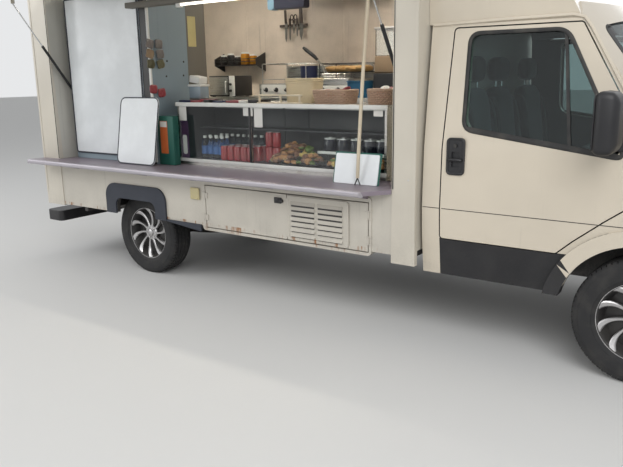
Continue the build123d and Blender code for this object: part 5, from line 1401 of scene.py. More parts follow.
def on_side(outline: Array, side: float, lift: float = 0.0) -> tuple[Array, Array]:
    """An outline in side view laid on the cab's side, and the outward direction at its points.

    Args:
        outline: Points (x, z).
        side: +1 for the left side, -1 for the right.
        lift: Distance off the skin.

    Returns:
        Points and outward directions.
    """
    z = outline[:, 1]
    slope = (cab_side(z + 0.01) - cab_side(z - 0.01)) / 0.02
    out = np.stack([np.zeros(len(z)), np.full(len(z), side), -slope], axis=-1)
    out /= np.linalg.norm(out, axis=1)[:, None]
    points = np.stack([outline[:, 0], side * cab_side(z), z], axis=-1)
    return points + out * lift, out


def crease_shade_line(side: float, along: Sequence[float]) -> Shape:
    """Painted shade: the dark line along the crease of the cab's side, where shade falls in the fold.

    Args:
        side: +1 for the left side, -1 for the right.
        along: Places of its points along the vehicle.

    Returns:
        The surface.
    """
    line, out = on_side(np.array([(x, CREASE_HEIGHT) for x in along]), side, 0.0004)
    section = [(-0.0022, -0.002), (-0.0018, 0.0008), (0.0018, 0.0008), (0.0022, -0.002)]
    return strip(line, section, out, closed=False)


@dataclass
class Screen:
    """The windscreen's bowed surface, with its black border, rubber and wipers."""

    cowl: Point = (0.27, 0.0, 1.215)
    top: Point = (-0.262, 0.0, 1.885)
    bow: float = 3.2

    def surface(self, along: Array, across: Array, inset: float) -> Array:
        """Points on the screen: so far up its slope and so far across, sunk by the bow's depth.

        The depth at y is R - sqrt((R - inset)^2 - y^2), along the inward normal.

        Args:
            along: Distances up the slope from the cowl.
            across: Distances from the middle.
            inset: Depth under the outer face; below zero it stands off the face.

        Returns:
            Points of shape (n, 3).
        """
        cowl, top = np.array(self.cowl), np.array(self.top)
        slope = (top - cowl) / np.linalg.norm(top - cowl)
        inward = np.array([-slope[2], 0.0, slope[0]])
        depth = self.bow - np.sqrt((self.bow - inset) ** 2 - across**2)
        points = cowl + slope * along[..., None] + inward * depth[..., None]
        points[..., 1] = across
        return points

    def outward(self, across: Array) -> Array:
        """Outward direction of the bowed screen at a distance across.

        Args:
            across: Distances from the middle.

        Returns:
            Unit vectors of shape (n, 3).
        """
        cowl, top = np.array(self.cowl), np.array(self.top)
        slope = (top - cowl) / np.linalg.norm(top - cowl)
        out = -np.array([-slope[2], 0.0, slope[0]]) * np.sqrt(1 - (across / self.bow) ** 2)[:, None]
        out[:, 1] = across / self.bow
        return out

    def border(self) -> list[Shape]:
        """Black band inside the screen's outline and the rubber that seats it.

        Returns:
            The surfaces.
        """
        outline = rounded_outline([(-0.8, 0.05), (0.8, 0.05), (0.744, 0.812), (-0.744, 0.812)], 0.055, 8)
        seat = rounded_outline(
            [(-0.838, 0.025), (0.838, 0.025), (0.775, 0.8375), (-0.775, 0.8375)], 0.055, 8)
        band = strip(self.surface(outline[:, 1], outline[:, 0], 0.0113),
                     flat_section(0.036, -0.0003, 0.0003), self.outward(outline[:, 0]))
        rubber = strip(self.surface(seat[:, 1], seat[:, 0], 0.004),
                       [(-0.01, -0.006), (-0.01, 0.003), (-0.003, 0.006), (0.006, 0.003), (0.01, -0.006)],
                       self.outward(seat[:, 0]))
        return [band, rubber.dressed(1)]

    def wiper(self, pivot: float, tip: float) -> list[Shape]:
        """A wiper arm from its spindle below the screen to the middle of a blade that lies on it.

        Args:
            pivot: Where the spindle stands across.
            tip: Where the blade ends across.

        Returns:
            The surfaces.
        """
        across = np.linspace(pivot, tip, 16)
        along = np.linspace(0.055, 0.095, 16)
        blade = self.surface(along, across, -0.004)
        middle = blade[8]
        foot = self.surface(np.array([0.012]), np.array([pivot + 0.03]), -0.02)[0]
        lifted = (foot + middle) / 2 + np.array([0.012, 0.0, 0.016])
        arm = tube([foot, lifted, middle + np.array([0.004, 0.0, 0.01])], [0.009, 0.007, 0.005], 8)
        rubber = strip(blade, [(-0.003, -0.002), (-0.0045, 0.01), (0.0045, 0.01), (0.003, -0.002)],
                       self.outward(across), closed=False)
        knob = lathe(
            [(0.0, 0.02), (0.012, 0.018), (0.016, 0.0), (0.016, -0.02), (0.0, -0.02)], tuple(foot), "Z", 16)
        return [arm, rubber, knob]

    def build(self) -> None:
        """Dresses the pane and adds border, rubber and two wipers."""
        coat("windscreen", TINTED)
        Piece("screen_border").add(*self.border()).build(BLACK, RUBBER)
        Piece("wipers").add(*self.wiper(0.62, 0.02), *self.wiper(-0.06, -0.66)).build(BLACK)


@dataclass
class CabDoor:
    """One cab door: seals, dark handle, window rubber, lock and the door mirror."""

    side: float
    name: str
    window: tuple = ((-0.977, 1.8), (-0.977, 1.282), (-0.128, 1.164), (-0.462, 1.8))

    def seals(self) -> list[Shape]:
        """Rubber round the window cut, and the wiping seal along its lower edge.

        Returns:
            The surfaces.
        """
        outline = rounded_outline(self.window, 0.06, 8)
        points, out = on_side(outline, self.side, 0.001)
        section = [(-0.01, -0.012), (-0.01, 0.001), (-0.005, 0.004), (0.005, 0.004), (0.01, 0.001),
                   (0.01, -0.012)]
        ring = strip(points, section, out)
        low, low_out = on_side(
            np.array([(-0.965, 1.292), (-0.56, 1.234), (-0.15, 1.176)]), self.side, -0.004)
        wipe = strip(low, [(-0.011, -0.006), (-0.011, 0.004), (0.011, 0.006), (0.011, -0.006)], low_out,
                     closed=False)
        return [ring, wipe]

    def divider(self) -> list[Shape]:
        """Slim upright bar near the window's front, as in a quarter light, and the crease's line of painted
        shade.

        Returns:
            The surfaces.
        """
        middle, out = on_side(np.array([(-0.4, 1.208), (-0.47, 1.79)]), self.side, -0.01)
        bar = strip(middle, flat_section(0.008, -0.006, 0.006), out, closed=False)
        return [bar, crease_shade_line(self.side, (-1.082, -0.57, -0.068))]

    def handle(self) -> list[Shape]:
        """Black handle: a dished surround, a pull bar across it and the lock barrel.

        Returns:
            The surfaces.
        """
        outline = rounded_rectangle((-1.054, 1.036), (-0.96, 1.232), 0.02)
        y = self.side
        rim = strip(laid(outline, "XZ", y * 0.986), [(-0.007, -0.01), (-0.007, 0.002), (0.0, 0.005),
                                                     (0.007, 0.002), (0.007, -0.01)], (0.0, y, 0.0))
        bar = tube([(-1.043, y * 0.992, 1.115), (-1.025, y * 1.004, 1.118), (-0.99, y * 1.004, 1.118),
                    (-0.971, y * 0.992, 1.115)], 0.009, 10)
        lock = lathe([(0.0, 0.005), (0.009, 0.004), (0.01, -0.006), (0.0, -0.006)],
                     (-1.007, y * 0.99, 1.196), "Y", 18)
        return [rim, bar, lock.dressed(1)]

    def mirror(self) -> None:
        """Tall mirror head on its arm, its glass let into the back of the housing."""
        y = self.side
        head = rounded_box((-0.236, y * 1.045, 1.205), (-0.128, y * 1.245, 1.5), 0.034, 4)
        points = head.points.copy()
        squeeze = 1.0 - 0.2 * np.clip((points[:, 0] + 0.182) / 0.054, 0.0, 1.0) ** 2
        points[:, 1] = y * 1.145 + (points[:, 1] - y * 1.145) * squeeze
        points[:, 2] = 1.3525 + (points[:, 2] - 1.3525) * squeeze
        head = Shape(points, head.faces)
        outline = rounded_rectangle((y * 1.067, 1.226), (y * 1.224, 1.48), 0.028)
        glass = plate(outline, "YZ", -0.2382, -0.234, 0.0008)
        bezel = strip(laid(outline, "YZ", -0.2355), flat_section(0.005, -0.003, 0.003), BACK)
        arm = tube([(-0.182, y * 0.962, 1.25), (-0.182, y * 1.0, 1.249), (-0.182, y * 1.07, 1.247)],
                   [0.024, 0.017, 0.016], 12)
        foot = rounded_box((-0.236, y * 0.962, 1.204), (-0.134, y * 0.986, 1.291), 0.01)
        node = f"mirror_{self.name}"
        housing = Piece(f"{node}_housing").add(head, bezel, arm, foot)
        housing.build(BLACK, body=f"cab_door_{self.name}", replaces=[node], slot="dark_trim")
        Piece(f"{node}_glass").add(glass).build(MIRROR, body=f"cab_door_{self.name}")

    def build(self) -> None:
        """Dresses the door and builds its fittings."""
        body, y = f"cab_door_{self.name}", self.side
        span = sorted((y * 0.9, y * 1.02))
        # The third zone gives the door's inner faces the dark moulding, its darkness partly painted shade of
        # the dim cab.
        zones = [Zone(1, (-1.056, span[0], 1.034), (-0.958, span[1], 1.234), (0.0, y, 0.0)),
                 Zone(1, (-1.056, y * 0.976 if y > 0 else -1.02, 1.034),
                      (-0.958, 1.02 if y > 0 else -0.976, 1.234)),
                 Zone(2, (-1.09, -0.93, 0.66), (-0.07, 0.93, 1.83), (0.0, -y, 0.0))]
        skin(body, CAB_PAINT, BLACK, DASH, zones=zones, slot="body_paint")
        coat(f"door_glass_{self.name}", TINTED)
        Piece(f"{body}_seals").add(*self.seals(), *self.divider()).build(RUBBER, body=body)
        Piece(f"{body}_handle").add(*self.handle()).build(BLACK, DARK_STEEL, body=body)
        self.mirror()


@dataclass
class CabShell:
    """Cab body, bonnet, fairing, bumper, grille, headlamps, gutters and number plates."""

    rear: float = -1.2
    door_rear: float = -1.094
    bumper_front: float = 0.925
    bumper_bow: float = 0.1405
    plate_height: float = 0.52

    def gutters(self) -> list[Shape]:
        """Rain gutter over each door, turned down along the screen pillar.

        Returns:
            The surfaces.
        """
        shapes = []
        line = np.array([(-1.196, 1.852), (-0.8, 1.862), (-0.44, 1.866), (-0.385, 1.852), (-0.345, 1.8),
                         (-0.03, 1.27), (0.01, 1.215)])
        for side in SIDES:
            points, out = on_side(line, side, 0.0)
            shapes.append(strip(points, [(-0.008, -0.004), (-0.009, 0.005), (-0.003, 0.01), (0.004, 0.01),
                                         (0.008, 0.002), (0.008, -0.004)], out, closed=False))
        return shapes

    def creases(self) -> list[Shape]:
        """Painted shade: dark line along the crease of both sides, behind the doors."""
        along = (self.rear, (self.rear + self.door_rear) / 2, self.door_rear)
        return [crease_shade_line(side, along) for side in SIDES]

    def cowl(self) -> list[Shape]:
        """Louvred black panel between the bonnet and the screen.

        Returns:
            The surfaces.
        """
        shapes = []
        across = np.linspace(-0.8, 0.8, 41)
        for k in range(4):
            x = 0.286 - 0.013 * k - 0.06 * (across / 0.83) ** 2
            path = np.stack([x, across, np.full(len(across), 1.2135 + 0.0022 * k)], axis=-1)
            shapes.append(strip(path, [(-0.005, -0.003), (-0.005, 0.002), (0.005, 0.004), (0.005, -0.003)],
                                UP, closed=False))
        return shapes

    def headlamp(self, side: float) -> None:
        """Two reflector bowls with their bulb caps, behind the lens of one headlamp.

        Args:
            side: +1 for the left lamp, -1 for the right.
        """
        bowls = []
        for y, z, radius in ((0.64, 0.792, 0.062), (0.775, 0.8, 0.056)):
            x = 0.838 - 0.3 * max(0.0, y - 0.45) ** 2 - 0.03
            bowl = [(radius * t, -0.045 + 0.05 * t**2) for t in np.linspace(0.02, 1.0, 10)]
            bowls.append(lathe(bowl + [(radius + 0.004, 0.004), (radius + 0.004, -0.05), (0.001, -0.05)],
                               (x, side * y, z), "X", 32))
            bowls.append(lathe([(0.0, 0.006), (0.008, 0.004), (0.01, -0.02), (0.006, -0.045),
                                (0.0, -0.045)], (x, side * y, z), "X", 14))
        Piece(f"headlamp_bowls_{'left' if side > 0 else 'right'}").add(*bowls).build(CHROME)

    def plates(self) -> list[Shape]:
        """Blank number plates in thin frames: a wide one bent to the bumper, a square one on the rear wall.

        The bumper's face is x = bumper_front - bumper_bow * y^2, and the front plate is carried along it.

        Returns:
            The surfaces.
        """
        shapes = []
        for half, tall, low, high, dress in (
                (0.26, 0.055, -0.003, 0.0016, 0), (0.272, 0.066, -0.004, 0.0004, 1)):
            y = np.linspace(-half, half, 21)
            x = self.bumper_front - self.bumper_bow * y**2
            path = np.stack([x, y, np.full(21, self.plate_height)], axis=-1)
            section = flat_section(tall, low, high)
            shapes.append(strip(path, section, AHEAD, closed=False).dressed(dress))
        for grow, low, high, dress in ((0.0, -4.8905, -4.886, 0), (0.011, -4.888, -4.8795, 1)):
            y0, y1, z0, z1 = 0.46 - grow, 0.74 + grow, 0.665 - grow, 0.865 + grow
            flat = rounded_rectangle((y0, z0), (y1, z1), 0.01)
            shapes.append(plate(flat, "YZ", low, high, 0.0008).dressed(dress))
        return shapes

    def build(self) -> None:
        """Dresses the shell and builds its trim."""
        sill = [Zone(1, (self.door_rear, y0, 0.42), (-0.38, y1, 0.656))
                for y0, y1 in ((-1.1, -0.9), (0.9, 1.1))]
        # Inner faces take the dark moulding; its darkness stands partly for painted shade of the dim cab.
        inner = Zone(2, (-1.21, -0.99, 0.45), (0.28, 0.99, 1.93), towards=(-0.75, 0.0, 1.25))
        skin("cab_body", CAB_PAINT, SILL, DASH, zones=[*sill, inner],
             cuts=[("X", self.door_rear), ("X", -0.43)], slot="body_paint")
        # The dark crease lines are painted shade in the fold of the cab's side, drawn in seal rubber.
        Piece("crease_lines").add(*self.creases()).build(RUBBER)
        skin("bonnet", CAB_PAINT, slot="body_paint")
        skin("overcab_fairing", CAB_PAINT, slot="box_skin")
        skin("front_bumper", TRIM, edge=0.006, slot="dark_trim")
        skin("grille", BLACK, edge=0.003, slot="grille_plastic")
        skin("headlamps", LENS, edge=0.003, slot="lamp")
        self.headlamp(1.0)
        self.headlamp(-1.0)
        Piece("gutters").add(*self.gutters()).build(CAB_PAINT, slot="body_paint")
        Piece("cowl_louvres").add(*self.cowl()).build(BLACK)
        Piece("number_plates").add(*self.plates()).build(WHITE_CARD, BLACK)


@dataclass
class Cabin:
    """Seats, dashboard and steering wheel inside the cab."""

    lean: float = 7.5
    seats: tuple = ((0.24, 0.72), (-0.745, -0.3125), (-0.3125, 0.12))
    roll: float = 0.075
    wheel_middle: Point = (-0.47, 0.4, 1.19)
    wheel_rake: float = -55.0
    wheel_radius: float = 0.185

    def seat_base(self, y0: float, y1: float) -> list[Shape]:
        """Seat pad with two side rolls.

        Args:
            y0: The seat's right side.
            y1: Its left side.

        Returns:
            The surfaces.
        """
        roll = self.roll
        return [cushion((-1.085, y0 + roll * 0.6, 0.822), (-0.572, y1 - roll * 0.6, 0.952), 0.1, 5.0),
                cushion((-1.088, y0, 0.815), (-0.59, y0 + roll, 0.962), 0.05, 3.0).dressed(1),
                cushion((-1.088, y1 - roll, 0.815), (-0.59, y1, 0.962), 0.05, 3.0).dressed(1)]

    def seat_back(self, y0: float, y1: float) -> list[Shape]:
        """Leaning back pad with two side rolls.

        Args:
            y0: The seat's right side.
            y1: Its left side.

        Returns:
            The surfaces.
        """
        foot = (-1.035, 0.0, 0.94)
        pad = [cushion((-1.085, y0 + 0.035, 0.935), (-0.985, y1 - 0.035, 1.505), 0.1, 5.0),
               cushion((-1.09, y0, 0.945), (-0.968, y0 + 0.08, 1.44), 0.05, 3.0).dressed(1),
               cushion((-1.09, y1 - 0.08, 0.945), (-0.968, y1, 1.44), 0.05, 3.0).dressed(1)]
        return [s.turned("Y", -self.lean, foot) for s in pad]

    def headrest(self, y: float) -> tuple[Shape, list[Shape]]:
        """Headrest pad and its two posts.

        Args:
            y: The seat's middle.

        Returns:
            The pad, and the posts.
        """
        pad = cushion((-1.15, y - 0.125, 1.535), (-1.06, y + 0.125, 1.69), 0.08, 3.5)
        posts = [tube([(-1.1, y + s * 0.055, 1.47), (-1.104, y + s * 0.055, 1.56)], 0.006, 8)
                 for s in SIDES]
        return pad, posts

    def seams(self, y0: float, y1: float) -> Shape:
        """Piping round the top of a seat pad.

        Args:
            y0: The seat's right side.
            y1: Its left side.

        Returns:
            The surface.
        """
        flat = rounded_rectangle((-1.06, y0 + 0.062), (-0.6, y1 - 0.062), 0.06)
        path = laid(flat, "XY", 0.9435)
        return tube(path, 0.0035, 6, closed=True)

    def build_seats(self) -> None:
        """Every pad, with its plinths, posts and piping."""
        pads, backs, heads = Piece("seat_pads"), Piece("seat_backs"), Piece("headrests")
        posts, seams, plinth = Piece("headrest_posts"), Piece("seat_piping"), Piece("seat_plinths")
        for y0, y1 in self.seats:
            pads.add(*self.seat_base(y0, y1))
            backs.add(*self.seat_back(y0, y1))
            pad, legs = self.headrest((y0 + y1) / 2 if y1 - y0 > 0.45 else (-0.525 if y0 < -0.5 else -0.1))
            heads.add(pad)
            posts.add(*legs)
            seams.add(self.seams(y0, y1))
        plinth.add(rounded_box((-1.07, 0.275, 0.588), (-0.61, 0.685, 0.835), 0.012),
                   rounded_box((-1.07, -0.71, 0.588), (-0.61, 0.085, 0.835), 0.012))
        made = pads.build(SEAT, SEAT_SIDE, replaces=["seats"], slot="seat_fabric", angle=60.0)
        backs.build(SEAT, SEAT_SIDE, slot="seat_fabric", angle=60.0)
        heads.build(SEAT_SIDE, slot="seat_fabric", angle=60.0)
        posts.build(CHROME)
        seams.build(RUBBER)
        plinth.build(DASH)

    def steering_wheel(self) -> None:
        """Padded rim, three curved spokes and a plain boss, square to the column."""
        t = np.arange(64) * TAU / 64
        rim = tube(np.stack([self.wheel_radius * np.cos(t), self.wheel_radius * np.sin(t), 0 * t], -1),
                   0.0145 + 0.0012 * np.cos(12 * t), 12, True)
        boss = cushion((-0.075, -0.07, -0.03), (0.075, 0.07, 0.018), 0.05, 3.5)
        arms = []
        for angle in (8.0, 172.0, 270.0):
            turn = math.radians(angle)
            d = np.array([math.cos(turn), math.sin(turn), 0.0])
            arms.append(tube([d * 0.055, d * 0.11 + [0, 0, -0.012], d * 0.15 + [0, 0, -0.01], d * 0.183],
                             [0.016, 0.012, 0.011, 0.012], 10))
        shaft = lathe([(0.0, -0.02), (0.03, -0.022), (0.03, -0.045), (0.014, -0.06), (0.0136, -0.118),
                       (0.0, -0.118)], ORIGIN, "Z", 24)
        parts = [s.turned("Z", -90.0).turned("Y", self.wheel_rake).moved(*self.wheel_middle)
                 for s in (rim, boss, *arms, shaft)]
        wheel = Piece("steering_wheel_rim").add(*parts)
        wheel.build(BLACK, body="steering_wheel", replaces=["steering_wheel"], slot="dash_plastic")

    def dash_fittings(self) -> list[Shape]:
        """Instrument hood, air vents, centre panel and gear lever.

        Returns:
            The surfaces.
        """
        hood = rounded_box((-0.4, 0.235, 1.19), (-0.215, 0.565, 1.262), 0.03, 3)
        panel = rounded_box((-0.478, -0.07, 0.96), (-0.44, 0.15, 1.165), 0.01)
        panel = panel.turned("Y", -8.0, (-0.46, 0, 1.06))
        vents = []
        for y in (-0.78, -0.15, 0.19, 0.77):
            vents.append(lathe([(0.038, 0.0), (0.044, -0.008), (0.044, 0.02), (0.036, 0.02),
                                (0.036, -0.002)], (-0.452, y, 1.14), "X", 24, ring=True))
        lever = tube(
            [(-0.48, 0.06, 0.93), (-0.54, 0.06, 1.0), (-0.56, 0.06, 1.06)], [0.02, 0.01, 0.009], 10)
        knob = cushion((-0.585, 0.038, 1.045), (-0.537, 0.082, 1.1), 0.0, 2.4, 12)
        return [hood, panel, *vents, lever, knob]

    def build(self) -> None:
        """Builds the inside of the cab."""
        self.build_seats()
        self.steering_wheel()
        skin("dashboard", DASH, edge=0.008, segments=3, slot="dash_plastic")
        Piece("dash_fittings").add(*self.dash_fittings()).build(BLACK)


# Box body


@dataclass
class BoxShell:
    """Walls, roof, posts, doors, hatch and struts of the box body, with its seals, rails and light."""

    rear: float = -4.645
    front: float = -1.384
    head: float = 2.285
    skin: float = 1.0305

    def dress(self) -> None:
        """Skins of every CAD node of the box: paint outside, lining or steel inside."""
        inside = (-4.85, -0.9975, 0.55), (-1.25, 0.9975, 2.64)
        every = (-5.2, -2.6, 0.2), (-1.0, 1.2, 3.0)
        skin("left_wall", BOX_PAINT, SPLASHBACK, zones=[Zone(1, *every, RIGHT)], slot="box_skin")
        arch = Zone(2, (-3.935, -1.06, 0.3), (-3.457, -0.9, 0.652))
        skin("side_panel", SILL_PAINT, LINING, DARK_ENAMEL, zones=[Zone(1, *every, LEFT), arch], slot="box_skin")
        skin("opening_frame", BOX_PAINT, LINING, zones=[Zone(1, *inside)], edge=0.005, segments=3,
             slot="box_skin")
        skin("front_wall", BOX_PAINT, LINING, zones=[Zone(1, *every, BACK)], slot="box_skin")
        skin("rear_wall", BOX_PAINT, LINING, zones=[Zone(1, *every, AHEAD)], slot="box_skin")
        skin("roof", BOX_PAINT, LINING, zones=[Zone(1, *every, DOWN)], edge=0.006, segments=3,
             slot="box_skin")
        skin("box_floor", CHASSIS, ALUMINIUM, zones=[Zone(1, *every, UP)], edge=0.0, slot="steel")
        skin("arch_trims", TRIM, edge=0.006, segments=3, slot="dark_trim")
        skin("rear_bumper", BLACK, edge=0.008, segments=3, slot="dark_trim")
        skin("hatch", BOX_PAINT, LINING, zones=[Zone(1, *every, DOWN)], edge=0.003, slot="box_skin")
        skin("locker_box", LINING, edge=0.0, slot="box_skin")
        lock = Zone(1, (-2.275, -1.06, 0.75), (-2.195, -1.0305, 0.8))
        for node in ("locker_door_rear", "locker_door_front"):
            skin(node, SILL_PAINT, BLACK, zones=[lock], edge=0.003, slot="box_skin")
        skin("rear_door", BOX_PAINT, LINING, zones=[Zone(1, *every, AHEAD)], slot="box_skin")
        skin("rear_lamps", LAMP_RED, LAMP_AMBER, zones=[Zone(1, (-5.0, -1.1, 0.8), (-4.8, 1.1, 0.91))],
             edge=0.004, slot="lamp_red")
        for place in ("front", "rear"):
            skin(f"strut_tube_{place}", BLACK, edge=0.001, slot="strut")
            skin(f"strut_rod_{place}", CHROME, edge=0.001, slot="chrome")
        skin("hatch_pole", WOOD, BLACK, zones=[Zone(1, (-1.75, -1.2, 0.9), (-1.5, -0.8, 0.985))],
             edge=0.001, slot="chrome")

    def opening_seal(self) -> Shape:
        """Thin black seal on the outer face, up both sides of the serving opening and over its head.

        Returns:
            The surface.
        """
        outline = np.array([(self.rear - 0.008, 0.925), (self.rear - 0.008, self.head + 0.006),
                            (self.front + 0.008, self.head + 0.006), (self.front + 0.008, 0.925)])
        path = laid(outline, "XZ", -1.0295)
        return strip(path, flat_section(0.003, -0.001, 0.004), RIGHT, closed=False)

    def light_bar(self) -> list[Shape]:
        """Strip light under the header: a brown tray on three hangers and a lit tube under its front part.

        Returns:
            The surfaces.
        """
        tray = rounded_box((-3.72, -0.975, 2.105), (-1.75, -0.9, 2.145), 0.006)
        hangers = [rounded_box((x - 0.012, -0.972, 2.14), (x + 0.012, -0.964, 2.29), 0.002)
                   for x in (-3.5, -2.7, -1.95)]
        lamp = lathe(
            [(0.0, -0.56), (0.009, -0.56), (0.009, 0.56), (0.0, 0.56)], (-2.6, -0.938, 2.098), "X", 20)
        ends = [rounded_box((x - 0.02, -0.958, 2.078), (x + 0.02, -0.918, 2.11), 0.004)
                for x in (-3.17, -2.03)]
        return [tray, *hangers, lamp.dressed(1), *[e.dressed(2) for e in ends]]

    def corner_caps(self) -> list[Shape]:
        """Corner angles, and the roof gutter along both sides.

        Returns:
            The surfaces.
        """
        shapes = []
        for side in SIDES:
            y = side * self.skin
            gutter = [(-4.872, y, 2.628), (-1.236, y, 2.628)]
            shapes.append(strip(gutter, [(-0.009, -0.004), (-0.01, 0.007), (-0.004, 0.012), (0.006, 0.009),
                                         (0.01, -0.004)], (0.0, side, 0.0), closed=False))
            for x in (-4.868, -1.24):
                post = [(x, y, 0.62), (x, y, 2.6)]
                shapes.append(strip(post, flat_section(0.011, -0.004, 0.003), (0.0, side, 0.0),
                                    closed=False))
        return shapes

    def door_fittings(self) -> list[Shape]:
        """Rear door: window rubber, and a lever handle on its rose.

        Returns:
            The surfaces.
        """
        outline = rounded_rectangle((-0.23, 1.56), (0.23, 2.23), 0.05)
        path = laid(outline, "YZ", -4.8815)
        ring = strip(path, [(-0.012, -0.002), (-0.01, 0.006), (0.01, 0.006), (0.012, -0.002)], BACK)
        rose = rounded_box((-4.892, -0.325, 1.215), (-4.878, -0.265, 1.345), 0.005)
        lever = tube([(-4.89, -0.295, 1.3), (-4.92, -0.295, 1.3), (-4.925, -0.27, 1.3),
                      (-4.922, -0.165, 1.296)], 0.009, 10)
        return [ring, rose.dressed(1), lever.dressed(1)]

    def panel_rivets(self) -> list[Shape]:
        """Rivet heads on the serving side: low on the posts beside the opening, and along its top.

        Returns:
            The surfaces.
        """
        heads = []
        for x in np.arange(-4.84, -1.26, 0.155):
            if not (self.rear < x < self.front):
                heads.append((x, 0.985))
            heads.append((x, 2.6))
        dome = [(0.0, 0.0024), (0.003, 0.002), (0.0055, 0.0006), (0.006, -0.001), (0.0, -0.001)]
        return [lathe([(r, -h) for r, h in dome], (x, -1.03, z), "Y", 10) for x, z in heads]

    def locker_fittings(self) -> None:
        """Pressed frame and painted louvre shade of the front door's vent, and the paddle latch of the rear
        door.
        """
        vents = Piece("locker_vent")
        frame_line = rounded_rectangle((-2.16, 0.53), (-1.692, 0.808), 0.02)
        path = laid(frame_line, "XZ", -1.0372)
        vents.add(strip(path, [(-0.01, -0.003), (-0.009, 0.002), (0.009, 0.002), (0.01, -0.003)], RIGHT))
        vents.build(SILL_PAINT, body="locker_door_front", slot="box_skin", angle=28.0)
        # The dark strips under the louvres are painted shadow cast by each louvre's hood.
        Piece("louvre_shade").add(*self.louvre_shade()).build(DARK_ENAMEL, body="locker_door_front")
        latch = [rounded_box((-2.276, -1.0385, 0.757), (-2.214, -1.0295, 0.797), 0.004),
                 rounded_box((-2.268, -1.044, 0.763), (-2.236, -1.038, 0.791), 0.003)]
        Piece("locker_latch").add(*latch).build(BLACK, body="locker_door_rear")

    def louvre_shade(self) -> list[Shape]:
        """Painted shade: a dark strip under each louvre of the vent plate, where its hood casts a shadow.

        Returns:
            The surfaces.
        """
        shapes = []
        for column in (0, 1):
            for row in range(7):
                x, z = -2.133 + column * 0.214, 0.552 + row * 0.0344
                # Each strip is painted shade under one louvre's hood.
                shapes.append(rounded_box((x + 0.002, -1.0376, z - 0.011), (x + 0.188, -1.0366, z), 0.0003))
        return shapes

    def side_fittings(self) -> list[Shape]:
        """Yellowed inlet flap on the panel behind the lockers, with its hinge and catch.

        Returns:
            The surfaces.
        """
        flap = rounded_box((-3.066, -1.04, 0.712), (-2.977, -1.029, 0.795), 0.004, 3)
        lip = rounded_box((-3.058, -1.0445, 0.716), (-2.985, -1.038, 0.726), 0.002)
        hinge = tube([(-3.06, -1.0375, 0.797), (-2.983, -1.0375, 0.797)], 0.0035, 8)
        return [flap, lip, hinge]

    def build(self) -> None:
        """Dresses the box and builds its fittings."""
        self.dress()
        Piece("opening_seal").add(self.opening_seal()).build(RUBBER)
        Piece("light_bar").add(*self.light_bar()).build(CABINET_SIDE, STRIP_LIGHT, WHITE_PLASTIC)
        for name, x in (("front", -2.1), ("rear", -3.85)):
            tray = rounded_box((x - 0.62, 0.02, 2.585), (x + 0.62, 0.2, 2.6135), 0.006)
            lit = rounded_box((x - 0.6, 0.035, 2.58), (x + 0.6, 0.185, 2.588), 0.003)
            Piece(f"ceiling_light_{name}").add(tray, lit.dressed(1)).build(WHITE_PLASTIC, CEILING_LIGHT)
        Piece("box_trims").add(*self.corner_caps()).build(BOX_PAINT, slot="box_skin")
        Piece("rear_door_fittings").add(*self.door_fittings()).build(RUBBER, BLACK, body="rear_door")
        Piece("rivets").add(*self.panel_rivets()).build(ALUMINIUM)
        Piece("inlet_flap").add(*self.side_fittings()).build(FLAP)
        self.locker_fittings()


# Counter, display and stock


@dataclass
class Counter:
    """Serving counter with its rounded aluminium lip."""

    rear: float = -4.861
    front: float = -1.512

    def lip(self) -> Shape:
        """Rounded aluminium nosing along the counter's outer edge.

        Returns:
            The surface.
        """
        t = np.linspace(-math.pi / 2, math.pi / 2, 9)
        nose = [(-1.2005 - 0.0045 * math.cos(a), 0.9035 + 0.0165 * math.sin(a)) for a in t]
        section = np.array([(-1.19, 0.887), *nose, (-1.176, 0.9207), (-1.176, 0.9195), (-1.19, 0.9185)])
        rows = [laid(section, "YZ", x) for x in (self.rear, self.front)]
        return capped(np.array(rows))

    def build(self) -> None:
        """Dresses the counter and adds its lip."""
        outer = Zone(1, (-5.0, -1.21, 0.8), (-1.0, -1.186, 0.93))
        under = Zone(1, (-5.0, -1.21, 0.8), (-1.0, -0.7, 0.916), DOWN)
        skin("counter", COUNTER_FACE, LIP, zones=[outer, under], edge=0.003, segments=3, slot="counter_top")
        Piece("counter_lip").add(self.lip()).build(LIP, slot="counter_top")


class Container(Enum):
    """What a drink in the display comes in."""

    BOTTLE = "bottle"
    CAN = "can"


